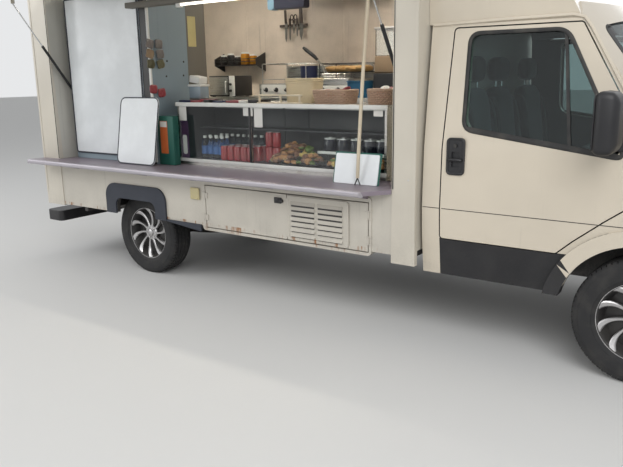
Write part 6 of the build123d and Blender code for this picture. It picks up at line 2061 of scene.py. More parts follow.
@dataclass
class Display:
    """Glass-fronted display with drinks, platters, pots, tags, packets and baskets."""

    seed: int = 11
    deck: float = 0.96
    ledge: float = 1.4
    bottle_pitch: float = 0.0605
    can_pitch: float = 0.067
    cane_rise: float = 0.0115
    weave: float = 0.0052
    stakes: int = 40

    def __post_init__(self) -> None:
        """Starts the seeded draw."""
        self.draw = np.random.default_rng(self.seed)

    def drink(self, kind: Container, x: float, y: float, z: float) -> list[Shape]:
        """A small bottle with cap and label, or a can, standing at a place.

        Args:
            kind: Bottle or can.
            x: Its place along the vehicle.
            y: Its place across.
            z: What it stands on.

        Returns:
            The surfaces.
        """
        if kind is Container.CAN:
            body = [(0.0, 0.0), (0.024, 0.0), (0.031, 0.009), (0.0315, 0.1), (0.026, 0.11), (0.026, 0.112)]
            lid = [(0.026, 0.112), (0.0245, 0.109), (0.0, 0.109)]
            return [lathe(body, (x, y, z), "Z", 20), lathe(lid, (x, y, z), "Z", 20).dressed(1)]
        body = [(0.0, 0.001), (0.022, 0.0), (0.028, 0.006), (0.0285, 0.11), (0.024, 0.132), (0.014, 0.155),
                (0.0115, 0.16), (0.0115, 0.168), (0.0, 0.168)]
        label = [(0.0291, 0.042), (0.0293, 0.044), (0.0293, 0.098), (0.0291, 0.1), (0.0284, 0.1),
                 (0.0284, 0.042)]
        cap = [(0.0, 0.183), (0.0125, 0.182), (0.0138, 0.18), (0.0138, 0.164), (0.0, 0.164)]
        return [lathe(body, (x, y, z), "Z", 20), lathe(label, (x, y, z), "Z", 20, ring=True).dressed(1),
                lathe(cap, (x, y, z), "Z", 16).dressed(2)]

    def drinks(self) -> None:
        """Rows of bottles and cans on the deck."""
        bottles, cans = Piece("bottles"), Piece("cans")
        for y, end in ((-0.65, -3.075), (-0.585, -3.075), (-0.44, -2.76)):
            for x in np.arange(-3.325 - 0.1 * y, end, self.bottle_pitch):
                place = x + self.draw.uniform(-0.003, 0.003)
                bottles.add(*self.drink(Container.BOTTLE, place, y, self.deck))
        for row, y in enumerate((-0.655, -0.588, -0.521)):
            for x in np.arange(-3.052 + 0.01 * row, -2.75, self.can_pitch):
                cans.add(*self.drink(Container.CAN, x + self.draw.uniform(-0.002, 0.002), y, self.deck))
        for x in (-2.66, -2.592):
            for level in (0.0, 0.1125):
                cans.add(*self.drink(Container.CAN, x, -0.585, self.deck + level))
        bottles.build(WATER, LABEL_BLUE, WHITE_PLASTIC)
        cans.build(CAN_RED, ALUMINIUM)

    def heap(self, centre: Point, spread: tuple[float, float, float], count: int,
             size: float) -> list[Shape]:
        """Rounded food pieces heaped on a tray: places drawn over a disc, higher towards its middle.

        Args:
            centre: Middle of the tray.
            spread: Half width, half depth and height of the heap.
            count: How many pieces.
            size: Length of a piece.

        Returns:
            The surfaces.
        """
        radius = np.sqrt(self.draw.uniform(0.0, 1.0, count))
        angle = self.draw.uniform(0.0, TAU, count)
        shapes = []
        for r, a in zip(radius, angle):
            x, y = centre[0] + spread[0] * r * math.cos(a), centre[1] + spread[1] * r * math.sin(a)
            z = centre[2] + spread[2] * (1 - r**2) * self.draw.uniform(0.5, 1.0) + size * 0.5
            half = size * self.draw.uniform(0.7, 1.25, 3) * np.array([0.75, 0.6, 0.42])
            lump = cushion(-half, half, 0.06, self.draw.uniform(2.0, 3.2), 8)
            lump = lump.turned("Z", self.draw.uniform(0, 180)).turned("Y", self.draw.uniform(-25, 25))
            shapes.append(lump.moved(x, y, z).dressed(int(self.draw.choice((3, 3, 3, 2, 2, 0, 1, 4)))))
        return shapes

    def platters(self) -> None:
        """Three oval platters of food, and lidded pots on the inner shelf."""
        trays, food, bowls = Piece("platters"), Piece("food"), Piece("bowls")
        dish = [(0.0, 0.004), (0.8, 0.004), (0.97, 0.02), (1.0, 0.021), (0.99, 0.015), (0.82, 0.0),
                (0.0, 0.0)]
        for x, half, deep, high in ((-2.395, 0.25, 0.14, 0.14), (-2.01, 0.11, 0.115, 0.06),
                                    (-1.76, 0.14, 0.12, 0.05)):
            tray = lathe(dish, ORIGIN, "Z", 40)
            trays.add(tray.stretched(half, deep).moved(x, -0.6, self.deck))
            food.add(*self.heap((x, -0.6, self.deck + 0.004), (half * 0.86, deep * 0.74, high),
                                int(520 * half), 0.036))
        shelf = Piece("inner_shelf").add(rounded_box((-2.24, -0.56, 1.05), (-1.7, -0.44, 1.06), 0.002))
        shelf.add(rounded_box((-2.242, -0.563, 1.044), (-1.698, -0.558, 1.064), 0.001).dressed(1))
        for x, y in ((-2.23, -0.55), (-2.23, -0.45), (-1.71, -0.55), (-1.71, -0.45)):
            shelf.add(tube([(x, y, self.deck), (x, y, 1.052)], 0.005, 8))
        shelf.build(DARK_ENAMEL, WHITE_PLASTIC)
        pot = [(0.0, 0.0), (0.038, 0.0), (0.046, 0.01), (0.047, 0.062), (0.04, 0.08), (0.041, 0.088),
               (0.0, 0.088)]
        cover = [(0.0, 0.102), (0.012, 0.101), (0.014, 0.095), (0.043, 0.093), (0.044, 0.086), (0.0, 0.086)]
        for k, x in enumerate((-2.17, -2.06, -1.95, -1.84, -1.745)):
            wide = 1.0 + 0.1 * (k % 2)
            bowls.add(lathe([(r * wide, h) for r, h in pot], (x, -0.5, 1.06), "Z", 28))
            bowls.add(lathe([(r * wide, h) for r, h in cover], (x, -0.5, 1.06), "Z",
                            28).dressed(1 if k % 2 else 2))
        trays.build(DARK_ENAMEL)
        bowls.build(DARK_POT, ALUMINIUM, WHITE_PLASTIC)
        food.build(*FOODS, angle=60.0)

    def tags(self) -> None:
        """Blank price tags and a poster behind the glass, its rails, and the sliding panes at the rear."""
        tags = Piece("tags")
        rows = ((-2.763, -2.672, 1.31, 1.372), (-2.66, -2.582, 1.232, 1.378), (-1.668, -1.6, 1.33, 1.378),
                (-3.432, -3.345, 1.262, 1.372))
        for x0, x1, z0, z1 in rows:
            outline = rounded_rectangle((x0, z0), (x1, z1), 0.003)
            tags.add(plate(outline, "XZ", -0.7595, -0.7585, 0.0002))
        poster = rounded_rectangle((-3.43, 0.97), (-3.345, 1.258), 0.003)
        tags.add(plate(poster, "XZ", -0.744, -0.743, 0.0002).dressed(1))
        panel = rounded_rectangle((-3.412, 1.0), (-3.366, 1.15), 0.018)
        tags.add(plate(panel, "XZ", -0.7446, -0.7441, 0.0))
        tags.build(WHITE_CARD, PURPLE_CARD)
        doors = Piece("display_sliders")
        for x0, x1, y in ((-3.436, -2.47, -0.347), (-2.53, -1.574, -0.34)):
            doors.add(rounded_box((x0, y, 0.964), (x1, y + 0.005, 1.368), 0.001))
            doors.add(rounded_box((x0, y - 0.002, 1.34), (x1, y + 0.0065, 1.368), 0.001).dressed(1))
        doors.build(DARK_LINER, ALUMINIUM)
        rails = Piece("display_rails")
        for z0, z1 in ((0.945, 0.972), (1.372, 1.402)):
            rails.add(rounded_box((-3.445, -0.7745, z0), (-1.565, -0.76, z1), 0.003))
        rails.add(rounded_box((-2.7085, -0.766, 0.96), (-2.6915, -0.759, 1.375), 0.002).dressed(1))
        rails.build(WHITE_PLASTIC, BLACK)

    def basket(self, low: Point, high: Point, name: str) -> None:
        """A wicker basket: canes woven in and out of its stakes, flaring towards a rolled rim.

        A cane's middle stands off the basket's outline by a * cos(n t + pi row), so that each row passes
        outside the stakes that its neighbours pass inside.

        Args:
            low: Lowest corner.
            high: Highest corner.
            name: Name of the piece.
        """
        outline = rounded_rectangle((low[0], low[1]), (high[0], high[1]), 0.05, 14)
        middle = outline.mean(axis=0)
        closed = np.vstack([outline, outline[:1]])
        around = np.append(0.0, np.cumsum(np.linalg.norm(np.diff(closed, axis=0), axis=1)))
        t = np.linspace(0.0, around[-1], 4 * self.stakes, endpoint=False)
        line = np.stack([np.interp(t, around, closed[:, k]) for k in (0, 1)], axis=-1)
        out = (line - middle) / np.linalg.norm(line - middle, axis=1)[:, None]
        rows = int((high[2] - low[2]) / self.cane_rise)
        canes = Piece(name)
        for row in range(rows):
            share = row / max(1, rows - 1)
            flare = 0.9 + 0.1 * share
            wave = self.weave * np.cos(self.stakes / 2 * TAU * t / around[-1] + math.pi * row)
            flat = middle + (line - middle) * flare + out * wave[:, None]
            path = laid(flat, "XY", low[2] + 0.006 + row * self.cane_rise)
            canes.add(tube(path, 0.0056, 6, closed=True))
        for k in range(2, 4 * self.stakes, 4):
            foot, head = middle + (line[k] - middle) * 0.9, line[k]
            canes.add(tube([(*foot, low[2] + 0.002), (*head, high[2] + 0.002)], 0.004, 6))
        rim = laid(line, "XY", high[2])
        canes.add(tube(rim, 0.0085, 8, closed=True))
        floor = rounded_rectangle(
            (low[0] + 0.012, low[1] + 0.012), (high[0] - 0.012, high[1] - 0.012), 0.04)
        canes.add(plate(floor, "XY", low[2] + 0.001, low[2] + 0.005))
        canes.build(WICKER)
        filling = Piece(f"{name}_packets")
        for _ in range(9):
            place = self.draw.uniform([low[0] + 0.05, low[1] + 0.05], [high[0] - 0.05, high[1] - 0.05])
            bag = cushion((-0.045, -0.032, -0.01), (0.045, 0.032, 0.012), 0.1, 3.0, 10)
            bag = bag.turned("Y", self.draw.uniform(-35, 35)).turned("Z", self.draw.uniform(0, 180))
            bag = bag.moved(*place, high[2] - self.draw.uniform(0.0, 0.03))
            filling.add(bag.dressed(int(self.draw.integers(0, 4))))
        filling.build(RED_FILM, WHITE_CARD, YELLOW_CARD, ORANGE_CARD, angle=60.0)

    def on_ledge(self) -> None:
        """Flat packets, a low bamboo stand, a cream tub with its lids, a lidded box, and the two baskets."""
        packets = Piece("flat_packets")
        for k, x in enumerate(np.linspace(-3.4, -2.72, 9)):
            wide, deep, high = self.draw.uniform([0.07, 0.1, 0.01], [0.12, 0.16, 0.024])
            box = rounded_box((-wide / 2, -deep / 2, 0.0), (wide / 2, deep / 2, high), 0.003)
            place = (x, -0.66 + 0.02 * (k % 3), self.ledge)
            box = box.turned("Z", self.draw.uniform(-14, 14)).moved(*place)
            packets.add(box.dressed(int(self.draw.integers(0, 4))))
        packets.build(NAVY_CARD, WHITE_CARD, BLACK, RED_FILM)
        stand = Piece("bamboo_stand")
        for x in (-2.62, -2.43, -2.265):
            low, high = (x - 0.006, -0.745, self.ledge), (x + 0.006, -0.733, self.ledge + 0.062)
            stand.add(rounded_box(low, high, 0.002))
        stand.add(rounded_box((-2.64, -0.748, 1.452), (-2.245, -0.73, 1.464), 0.003))
        stand.add(rounded_box((-2.64, -0.748, 1.4), (-2.245, -0.73, 1.41), 0.003))
        stand.build(WOOD)
        cream = Piece("cream_tub")
        outline = rounded_rectangle((-2.505, -0.6), (-2.255, -0.44), 0.045, 8)
        middle = outline.mean(axis=0)
        low, high = self.ledge, self.ledge + 0.135
        cream.add(tub(outline, [(low, 0.96 - 0.02), (low + 0.006, 0.96), (high - 0.012, 0.995),
                                (high - 0.008, 1.02), (high, 1.02)]))
        for k in range(3):
            z = self.ledge + 0.136 + 0.0125 * k
            lid = middle + (outline - middle) * (1.03 + 0.012 * (k % 2))
            cream.add(plate(lid, "XY", z, z + 0.011, 0.003))
        cream.build(CREAM_PLASTIC)
        box = Piece("lidded_box")
        box.add(rounded_box((-3.425, -0.64, self.ledge + 0.026), (-3.3, -0.54, 1.52), 0.008))
        box.add(rounded_box((-3.431, -0.646, 1.518), (-3.294, -0.534, 1.536), 0.006).dressed(1))
        papers = rounded_box((-3.42, -0.636, 1.5365), (-3.31, -0.545, 1.59), 0.006)
        box.add(papers.turned("Y", 9.0, (-3.31, 0.0, 1.56)).dressed(1))
        box.build(CABINET, WHITE_PLASTIC)
        self.basket((-2.165, -0.74, self.ledge), (-1.9, -0.54, self.ledge + 0.088), "basket_large")
        self.basket((-1.74, -0.74, self.ledge), (-1.58, -0.57, self.ledge + 0.094), "basket_small")

    def green_box(self) -> None:
        """Tall green box beside the display, with a blank orange and white card on it."""
        box = Piece("green_box").add(rounded_box((-3.56, -0.868, 0.9215), (-3.388, -0.806, 1.3), 0.004))
        card = rounded_rectangle((-3.532, 1.01), (-3.452, 1.262), 0.004)
        box.add(plate(card, "XZ", -0.8695, -0.8675, 0.0005).dressed(1))
        white = rounded_rectangle((-3.528, 1.215), (-3.456, 1.258), 0.003)
        box.add(plate(white, "XZ", -0.8703, -0.8694, 0.0).dressed(2))
        box.build(GREEN_CARD, ORANGE_CARD, WHITE_CARD)

    def build(self) -> None:
        """Dresses the display and fills it."""
        inside = Zone(1, (-3.436, -0.752, 0.955), (-1.574, -0.3, 1.385))
        skin("display_case", STAINLESS, DARK_LINER, zones=[inside], edge=0.002, slot="steel")
        coat("display_glass", GLASS)
        self.drinks()
        self.platters()
        self.tags()
        self.on_ledge()
        self.green_box()


# Kitchen


@dataclass
class Kitchen:
    """Back worktop, griddle, fryer, hood, shelf and the things that stand and hang there."""

    top: float = 1.4
    shelf: float = 1.7105

    def oven(self) -> list[Shape]:
        """Small oven: case, dark glass door with its bar handle, pale control panel with two dials.

        Returns:
            The surfaces.
        """
        case = rounded_box((-4.235, 0.44, self.top + 0.006), (-3.9, 0.7, 1.6), 0.008).dressed(1)
        door = rounded_box((-4.225, 0.432, self.top + 0.018), (-3.985, 0.445, 1.588), 0.004)
        panel = rounded_box((-3.965, 0.43, self.top + 0.008), (-3.9, 0.445, 1.598), 0.004)
        bar = tube([(-3.998, 0.428, 1.43), (-3.998, 0.412, 1.44), (-3.998, 0.412, 1.54),
                    (-3.998, 0.428, 1.55)], 0.005)
        dials = [lathe([(0.0, -0.016), (0.012, -0.015), (0.014, 0.0), (0.0, 0.0)], (-3.942, 0.434, z), "Y",
                       20) for z in (1.46, 1.52)]
        feet = [rounded_box((x - 0.012, y - 0.012, self.top), (x + 0.012, y + 0.012, self.top + 0.01),
                            0.002) for x in (-4.2, -3.94) for y in (0.47, 0.67)]
        return [case, door, panel.dressed(2), bar.dressed(2), *[d.dressed(1) for d in dials],
                *[f.dressed(1) for f in feet]]

    def wire_rack(self, low: Point, high: Point, deck: float, bars: int) -> list[Shape]:
        """A rack of round bars: four legs, a rim at the top and a deck of bars.

        Args:
            low: Lowest corner.
            high: Highest corner.
            deck: Height of the deck.
            bars: How many bars the deck has.

        Returns:
            The surfaces.
        """
        (x0, y0, z0), (x1, y1, z1) = low, high
        corners = [(x0, y0), (x1, y0), (x1, y1), (x0, y1)]
        shapes = [tube([(x, y, z0), (x, y, z1)], 0.005, 8) for x, y in corners]
        for z in (deck, z1):
            ring = np.array([(x, y, z) for x, y in rounded_outline(corners, 0.02, 5)])
            shapes.append(tube(ring, 0.004, 8, closed=True))
        for x in np.linspace(x0 + 0.02, x1 - 0.02, bars):
            shapes.append(tube([(x, y0, deck), (x, y1, deck)], 0.0025, 6))
        return shapes

    def fry_basket(self) -> list[Shape]:
        """Wire basket hung in the fryer, with a long raised handle in a black grip.

        Returns:
            The surfaces.
        """
        x0, x1, y0, y1 = -2.955, -2.7, 0.525, 0.7
        shapes = []
        for k, z in enumerate(np.linspace(1.5, 1.6, 6)):
            draw = 0.012 * (5 - k) / 5
            ring = rounded_rectangle((x0 + draw, y0 + draw), (x1 - draw, y1 - draw), 0.03, 5)
            shapes.append(tube(laid(ring, "XY", z), 0.0045 if k == 5 else 0.0022, 6, True))
        for x in np.linspace(x0 + 0.03, x1 - 0.03, 8):
            wire = [(x, y0, 1.6), (x, y0 + 0.012, 1.5), (x, y1 - 0.012, 1.5), (x, y1, 1.6)]
            shapes.append(tube(wire, 0.002, 6))
        for y in np.linspace(y0 + 0.03, y1 - 0.03, 6):
            wire = [(x0, y, 1.6), (x0 + 0.012, y, 1.5), (x1 - 0.012, y, 1.5), (x1, y, 1.6)]
            shapes.append(tube(wire, 0.002, 6))
        for dy in (-0.022, 0.022):
            shapes.append(tube([(x0, 0.612 + dy, 1.6), (x0 - 0.03, 0.612 + dy * 0.6, 1.665),
                                (x0 - 0.105, 0.612 + dy * 0.35, 1.735)], 0.004, 8))
        grip = tube([(x0 - 0.095, 0.612, 1.727), (x0 - 0.13, 0.612, 1.758), (x0 - 0.22, 0.612, 1.818),
                     (x0 - 0.25, 0.612, 1.838)], [0.013, 0.016, 0.017, 0.012], 12)
        return [*shapes, grip.dressed(1)]

    def blade(self, x: float, tip: float, root: float, wide: float) -> Shape:
        """A knife or slice blade that hangs from its handle: a flat outline that narrows to a rounded tip.

        Args:
            x: Its place along the wall.
            tip: Height of its tip.
            root: Height of its root.
            wide: Half its width.

        Returns:
            The closed surface.
        """
        outline = [(x - wide / 2, root), (x - wide * 0.45, tip + wide), (x - wide * 0.1, tip),
                   (x + wide * 0.25, tip + wide), (x + wide / 2, root)]
        return plate(rounded_outline(outline[::-1], 0.004), "XZ", 0.9525, 0.956, 0.0004)

    def utensils(self) -> list[Shape]:
        """A dark bar on the wall with knives, a fork and scissors held on it, handles up and blades down.

        Returns:
            The surfaces.
        """
        shapes = [rounded_box((-3.742, 0.958, 2.056), (-3.42, 0.9925, 2.08), 0.004).dressed(1)]
        for x, tip, root, top, wide in (
                (-3.655, 1.915, 2.1, 2.215, 0.034), (-3.607, 1.925, 2.075, 2.135, 0.024),
                (-3.56, 1.985, 2.1, 2.12, 0.024), (-3.52, 1.96, 2.08, 2.13, 0.022),
                (-3.47, 1.925, 2.095, 2.225, 0.05)):
            shapes.append(self.blade(x, tip, root, wide))
            half = max(0.011, wide * 0.36)
            grip = rounded_box((x - half, 0.943, root - 0.012), (x + half, 0.9575, top), 0.005, 3)
            shapes.append(grip.turned("Y", 3.0 * math.sin(x * 40.0), (x, 0.95, 2.07)).dressed(1))
        for dx in (-0.021, 0.021):
            t = np.linspace(0.0, TAU, 24, endpoint=False)
            ring = np.stack(
                [-3.56 + dx + 0.017 * np.cos(t), np.full(24, 0.95), 2.142 + 0.024 * np.sin(t)], axis=-1)
            shapes.append(tube(ring, 0.0055, 8, closed=True).dressed(1))
        return shapes

    def hood(self) -> list[Shape]:
        """Extractor: a canopy with slatted filters below, and a shallow control box hung at its front.

        Returns:
            The surfaces.
        """
        canopy = rounded_box((-3.498, 0.5, 2.42), (-2.302, 0.991, 2.612), 0.006)
        edge = [(-3.492, 0.506), (-2.308, 0.506), (-2.308, 0.985), (-3.492, 0.985)]
        shapes = [canopy, tube(np.array([(x, y, 2.412) for x, y in edge]), 0.008, 8, closed=True)]
        for y in np.arange(0.54, 0.97, 0.032):
            slat = rounded_box((-3.478, y - 0.011, 2.41), (-2.322, y + 0.011, 2.413), 0.001)
            shapes.append(slat.turned("X", 24.0, (0.0, y, 2.412)).dressed(1))
        for x0, x1, dress in ((-3.498, -3.425, 2), (-3.4248, -3.09, 0)):
            corners = [(x0, 2.172), (x1, 2.172), (x1, 2.612), (x0, 2.612)]
            case = plate(rounded_outline(corners, 0.022), "XZ", 0.472, 0.56, 0.003)
            shapes.append(case.dressed(dress))
        return shapes

    def knobs(self) -> list[Shape]:
        """Control panel of the griddle with four knobs, and two on the fryer.

        Returns:
            The surfaces.
        """
        shapes = [rounded_box((-3.59, 0.4615, 1.424), (-3.11, 0.472, 1.512), 0.003)]
        shapes.append(rounded_box((-2.99, 0.4715, 1.43), (-2.65, 0.4815, 1.5), 0.003))
        places = [(x, 0.4615) for x in (-3.53, -3.41, -3.29, -3.17)] + [(x, 0.4715) for x in (-2.9, -2.74)]
        for x, y in places:
            shapes.append(lathe([(0.0, -0.026), (0.013, -0.025), (0.015, -0.006), (0.021, -0.003),
                                 (0.022, 0.001), (0.0, 0.001)], (x, y, 1.466), "Y", 24).dressed(1))
            shapes.append(rounded_box((x - 0.002, y - 0.0285, 1.466), (x + 0.002, y - 0.024, 1.48), 0.0008))
        return shapes

    def jars(self) -> list[Shape]:
        """Jars on the wall shelf, dark and amber, with pale lids.

        Returns:
            The surfaces.
        """
        shapes = []
        for k, (x, radius, high) in enumerate(
                ((-4.46, 0.036, 0.1), (-4.36, 0.04, 0.115), (-4.265, 0.034, 0.09), (-4.165, 0.046, 0.125),
                 (-4.055, 0.038, 0.1))):
            body = [(0.0, 0.0), (radius * 0.92, 0.0), (radius, 0.008), (radius, high * 0.78),
                    (radius * 0.8, high * 0.86), (radius * 0.8, high * 0.88), (0.0, high * 0.88)]
            lid = [(0.0, high), (radius * 0.82, high), (radius * 0.86, high - 0.004),
                   (radius * 0.86, high * 0.86), (0.0, high * 0.86)]
            shapes.append(lathe(body, (x, 0.915, self.shelf), "Z", 28).dressed(1 if k in (3, 4) else 0))
            shapes.append(lathe(lid, (x, 0.915, self.shelf), "Z", 28).dressed(2))
        return shapes

    def dispenser(self) -> None:
        """Drinks dispenser: dark base, brown band, clear vessel with a steel lid."""
        solid = Piece("dispenser_case")
        solid.add(rounded_box((-2.42, 0.52, self.top), (-2.2, 0.76, 1.6), 0.01, 3))
        solid.add(rounded_box((-2.412, 0.528, 1.6), (-2.208, 0.752, 1.742), 0.012, 3).dressed(1))
        solid.add(rounded_box((-2.416, 0.524, 1.95), (-2.204, 0.756, 1.972), 0.008, 3).dressed(2))
        solid.build(BLACK, BROWN_CARD, ALUMINIUM)
        outline = rounded_rectangle((-2.41, 0.53), (-2.21, 0.75), 0.02, 6)
        inner = outline.mean(axis=0) + (outline - outline.mean(axis=0)) * 0.96
        rings = [laid(o, "XY", z) for o, z in ((outline, 1.742), (outline, 1.95), (inner, 1.95),
                                               (inner, 1.745))]
        Piece("dispenser_vessel").add(grid(np.array(rings), wrap_u=True, wrap_v=True)).build(GLASS)

    def build(self) -> None:
        """Dresses the kitchen nodes and adds the small equipment."""
        skin("back_worktop", STAINLESS, LINING, zones=[Zone(1, (-5.0, 0.3, 0.5), (-1.0, 1.0, 1.36), RIGHT)],
             edge=0.003, slot="steel")
        skin("cooking_range", STAINLESS, DARK_ENAMEL, zones=[Zone(1, (-5.0, -1.2, 0.3), (-1.0, 1.2, 3.0), UP)],
             edge=0.003, slot="steel")
        hood = Piece("hood").add(*self.hood())
        hood.build(HOOD_STEEL, DARK_ENAMEL, HOOD_CAP, replaces=["extractor_hood"], slot="steel")
        skin("wall_shelf", DARK_ENAMEL, edge=0.001, slot="board")
        Piece("oven").add(*self.oven()).build(STAINLESS, DARK_ENAMEL, WHITE_PLASTIC)
        rack = self.wire_rack((-3.045, 0.64, self.top), (-2.595, 0.91, 1.69), 1.615, 14)
        Piece("bread_rack").add(*rack).build(DARK_STEEL)
        loaves = Piece("bread")
        for k, x in enumerate(np.linspace(-2.985, -2.655, 4)):
            high = 1.672 + 0.004 * (k % 2)
            loaves.add(cushion((x - 0.052, 0.665, 1.617), (x + 0.052, 0.88, high), 0.06, 2.8, 12))
        loaves.build(BREAD, angle=60.0)
        guard = self.wire_rack((-3.6, 0.5, 1.52), (-3.1, 0.88, 1.7), 1.56, 4)
        Piece("griddle_guard").add(*guard).build(STAINLESS)
        Piece("fry_basket").add(*self.fry_basket()).build(STAINLESS, BLACK)
        Piece("utensils").add(*self.utensils()).build(BLADE_STEEL, BROWN_GRIP)
        Piece("control_panels").add(*self.knobs()).build(WHITE_PLASTIC, BLACK)
        Piece("jars").add(*self.jars()).build(DARK_ENAMEL, AMBER_JAR, WHITE_PLASTIC)
        self.dispenser()
        pot = [(0.0, 0.003), (0.066, 0.003), (0.076, 0.012), (0.08, 0.148), (0.084, 0.152), (0.083, 0.156),
               (0.078, 0.15), (0.072, 0.014), (0.0, 0.01)]
        Piece("blue_pot").add(lathe(pot, (-3.165, 0.64, 1.52), "Z", 36)).build(NAVY_CARD)
        bin_outline = rounded_rectangle((-2.625, 0.42), (-2.45, 0.6), 0.03, 6)
        rows = [(1.4, 0.9), (1.53, 1.0), (1.534, 1.05), (1.54, 1.05), (1.538, 0.96), (1.408, 0.86)]
        Piece("blue_tub").add(tub(bin_outline, rows)).build(BLUE_PLASTIC)
        joints = Piece("wall_joints")
        for x in (-4.2, -3.02, -1.92):
            joints.add(rounded_box((x - 0.01, 0.9905, 1.402), (x + 0.01, 0.9945, 2.58), 0.001))
        joints.build(SPLASHBACK)


@dataclass
class Cabinet:
    """Tall cabinet beside the display and the blank boards in front of it."""

    counter_top: float = 0.9212
    card_lean: float = -12.0
    card_foot: float = -0.962

    def fittings(self) -> list[Shape]:
        """Fasteners on the cabinet's side.

        Returns:
            The surfaces.
        """
        shapes = []
        dome = [(0.0, 0.004), (0.005, 0.0035), (0.008, 0.001), (0.0085, -0.001), (0.0, -0.001)]
        for y, z in ((-0.708, 1.718), (-0.528, 1.714), (-0.723, 1.601), (-0.537, 1.606)):
            shapes.append(lathe(dome, (-3.58, y, z), "X", 16))
        return shapes

    def packets(self) -> list[Shape]:
        """Thin sealed packets hung in two columns, each a little crumpled and askew.

        Returns:
            The surfaces.
        """
        shapes = []
        draw = np.random.default_rng(5)
        places = [(row, column, 1.845 - 0.075 * row, int(draw.integers(0, 3))) for row in range(3)
                  for column in range(2)]
        for row, column, z, dress in [*places, (3, 0, 1.505, 3), (3, 1, 1.475, 3)]:
            y = -0.88 + 0.088 * column + draw.uniform(-0.008, 0.008)
            bag = cushion((-0.006, -0.038, -0.034), (0.006, 0.038, 0.034), 0.3, 5.0, 14)
            crumple = 0.003 * np.sin(bag.points[:, 1] * 170 + row) * np.cos(bag.points[:, 2] * 120 + column)
            bag = Shape(bag.points + np.stack([crumple, 0 * crumple, 0 * crumple], axis=-1), bag.faces)
            shapes.append(bag.turned("X", draw.uniform(-16, 16)).moved(-3.5695, y, z).dressed(dress))
        return shapes

    def partition(self) -> list[Shape]:
        """Beige sheet between the cabinet and the aisle, with a blank yellow notice on it.

        Returns:
            The surfaces.
        """
        sheet = rounded_box((-3.592, -0.4795, 0.602), (-3.582, -0.262, 2.61), 0.002)
        notice = rounded_rectangle((-0.462, 1.835), (-0.372, 2.072), 0.004)
        return [sheet, plate(notice, "YZ", -3.5822, -3.5808, 0.0003).dressed(1)]

    def board(self, x: tuple[float, float], high: float, rim: float, corner: float) -> list[Shape]:
        """A blank board that stands on z = 0 and looks to the right, with a rim round its face.

        Args:
            x: Where it starts and ends.
            high: Its height.
            rim: Width of the rim.
            corner: Rounding of its corners.

        Returns:
            The surfaces.
        """
        outline = rounded_rectangle((x[0], 0.0), (x[1], high), corner, 8)
        inner = rounded_rectangle((x[0] + rim / 2, rim / 2), (x[1] - rim / 2, high - rim / 2), corner, 8)
        path = laid(inner, "XZ", -0.0035)
        half = rim / 2
        edge = strip(path, flat_section(half, -0.003, 0.0015), RIGHT)
        return [plate(outline, "XZ", -0.0035, 0.0035, 0.001), edge.dressed(1)]

    def boards(self) -> None:
        """Large board on the cabinet, the board that leans on it, and the card on its green backing."""
        large = self.board((-4.59, -3.68), 1.275, 0.014, 0.02)
        large = [s.moved(0.0, -0.884, 0.965) for s in large]
        small = self.board((-3.94, -3.492), 0.53, 0.009, 0.055)
        small = [s.turned("X", -10.1).moved(0.0, -0.984, self.counter_top) for s in small]
        card = self.board((-1.842, -1.524), 0.19, 0.001, 0.012)[0]
        card = card.turned("X", self.card_lean).moved(0.0, self.card_foot, self.counter_top)
        outline = rounded_outline([(-1.852, 0.0), (-1.514, 0.0), (-1.51, 0.2), (-1.85, 0.2)], 0.01)
        backing = plate(outline, "XZ", 0.0036, 0.005).turned("X", self.card_lean)
        backing = backing.moved(0.0, self.card_foot, self.counter_top)
        prop = np.array([(-0.939, 1.02), (-0.933, 1.058), (-0.871, 0.9205), (-0.885, 0.9205)])
        boards = Piece("boards").add(*large, *small, card)
        boards.build(BOARD_WHITE, TRIM, replaces=["menu_boards"], slot="board")
        foot = Piece("card_backing").add(backing, plate(prop, "YZ", -1.7, -1.664))
        foot.build(GREEN_CARD)

    def build(self) -> None:
        """Dresses the cabinet and builds its boards and fittings."""
        edge = Zone(1, (-3.676, -0.9, 0.92), (-3.57, -0.87, 2.26), RIGHT)
        skin("tall_cabinet", CABINET, DARK_ENAMEL, zones=[edge], cuts=[("X", -3.676)], edge=0.003,
             slot="cabinet_face")
        corner = rounded_box((-3.6, -0.8835, 0.935), (-3.578, -0.87, 2.25), 0.002)
        Piece("cabinet_corner").add(corner).build(WHITE_PLASTIC)
        self.boards()
        Piece("cabinet_fasteners").add(*self.fittings()).build(BLACK)
        bags = Piece("hung_packets").add(*self.packets())
        bags.build(BROWN_CARD, OLIVE_FILM, DULL_FILM, RED_FILM, angle=60.0)
        Piece("partition").add(*self.partition()).build(CABINET_SIDE, YELLOW_CARD)


# Studio


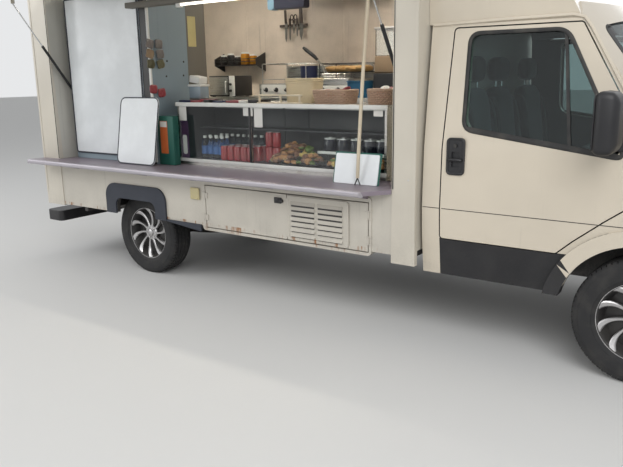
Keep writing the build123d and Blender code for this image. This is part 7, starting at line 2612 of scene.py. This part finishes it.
@dataclass
class Studio:
    """Floor, light and camera; the camera's place, turn and lens are those fitted to the photograph."""

    place: Point = (0.5154, -4.5183, 1.587)
    heading: float = 0.6198
    pitch: float = 0.2305
    roll: float = -0.0155
    lens: float = 38.81
    floor_half: float = 60.0
    lamps: tuple = (("key", (3.5, -7.0, 6.5), (-1.8, 0.0, 1.0), 6.0, 480.0),
                    ("fill", (-8.0, -6.5, 5.0), (-2.0, 0.0, 1.0), 7.0, 300.0),
                    ("back", (-2.0, 8.0, 6.0), (-2.0, 0.0, 1.0), 7.0, 200.0))

    def camera(self) -> None:
        """The photograph's camera: its place, turn and lens."""
        a, p, r = self.heading, self.pitch, self.roll
        ahead = Vector((-math.sin(a) * math.cos(p), math.cos(a) * math.cos(p), -math.sin(p)))
        right = Vector((math.cos(a), math.sin(a), 0.0))
        up = right.cross(ahead)
        right, up = right * math.cos(r) + up * math.sin(r), up * math.cos(r) - right * math.sin(r)
        data = bpy.data.cameras.new("view")
        data.lens, data.sensor_width, data.clip_start, data.clip_end = self.lens, 36.0, 0.05, 200.0
        camera = bpy.data.objects.new("view", data)
        turn = Matrix((right, up, -ahead)).transposed().to_4x4()
        camera.matrix_world = Matrix.Translation(Vector(self.place) + Vector(AXLE)) @ turn
        bpy.context.scene.collection.objects.link(camera)
        bpy.context.scene.camera = camera

    def floor(self) -> None:
        """A wide pale floor."""
        data = bpy.data.meshes.new("studio_floor")
        far = self.floor_half
        corners = [(-far, -far, 0.0), (far, -far, 0.0), (far, far, 0.0), (-far, far, 0.0)]
        data.from_pydata(corners, [], [(0, 1, 2, 3)])
        made = bpy.data.materials.new("studio_floor")
        made.use_nodes = True
        shader = made.node_tree.nodes["Principled BSDF"]
        shader.inputs["Base Color"].default_value = (0.72, 0.72, 0.71, 1.0)
        shader.inputs["Roughness"].default_value = 0.8
        data.materials.append(made)
        floor = bpy.data.objects.new("studio_floor", data)
        bpy.context.scene.collection.objects.link(floor)

    def light(self, name: str, place: Point, target: Point, size: float, power: float) -> None:
        """A square soft light aimed at a point.

        Args:
            name: Name of the lamp.
            place: Where it stands.
            target: What it is aimed at.
            size: Its side.
            power: Its power in watts.
        """
        data = bpy.data.lights.new(name, "AREA")
        data.size, data.energy = size, power
        lamp = bpy.data.objects.new(name, data)
        lamp.location = Vector(place) + Vector(AXLE)
        aim = Vector(target) - Vector(place)
        lamp.rotation_euler = aim.to_track_quat("-Z", "Y").to_euler()
        bpy.context.scene.collection.objects.link(lamp)

    def world(self) -> None:
        """Even pale surroundings; the camera, mirrors and glass see them a little lighter than they light."""
        world = bpy.data.worlds.new("studio")
        bpy.context.scene.world = world
        world.use_nodes = True
        world.node_tree.nodes.clear()
        graph = Graph(world.node_tree)
        path = graph.node("ShaderNodeLightPath").outputs
        seen = graph.maths("MAXIMUM", graph.maths("MAXIMUM", path["Is Camera Ray"], path["Is Glossy Ray"]),
                           path["Is Transmission Ray"])
        light, view = (graph.node("ShaderNodeBackground", {"Color": (0.8, 0.81, 0.82, 1.0),
                                                           "Strength": power}) for power in (0.54, 1.0))
        mixed = graph.node("ShaderNodeMixShader", {0: seen, 1: light.outputs[0], 2: view.outputs[0]})
        graph.node("ShaderNodeOutputWorld", {"Surface": mixed.outputs[0]})

    def build(self) -> None:
        """Sets the whole studio up."""
        bpy.context.scene.view_settings.view_transform = "Standard"
        self.world()
        self.floor()
        for lamp in self.lamps:
            self.light(*lamp)
        self.camera()


def main() -> None:
    """Builds the vehicle's looks assembly by assembly, then the studio."""
    logging.basicConfig(level=logging.INFO, format="%(message)s")
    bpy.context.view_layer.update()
    for node in ("wheel_front_left", "wheel_front_right", "wheel_rear_left", "wheel_rear_right"):
        Wheel(node).build()
    assemblies = [Underbody(), Screen(), CabDoor(1.0, "left"), CabDoor(-1.0, "right"), CabShell(), Cabin(),
                  BoxShell(), Counter(), Display(), Kitchen(), Cabinet(), Studio()]
    for assembly in assemblies:
        LOG.info("building %s", type(assembly).__name__)
        assembly.build()


if __name__ == "__main__":
    main()
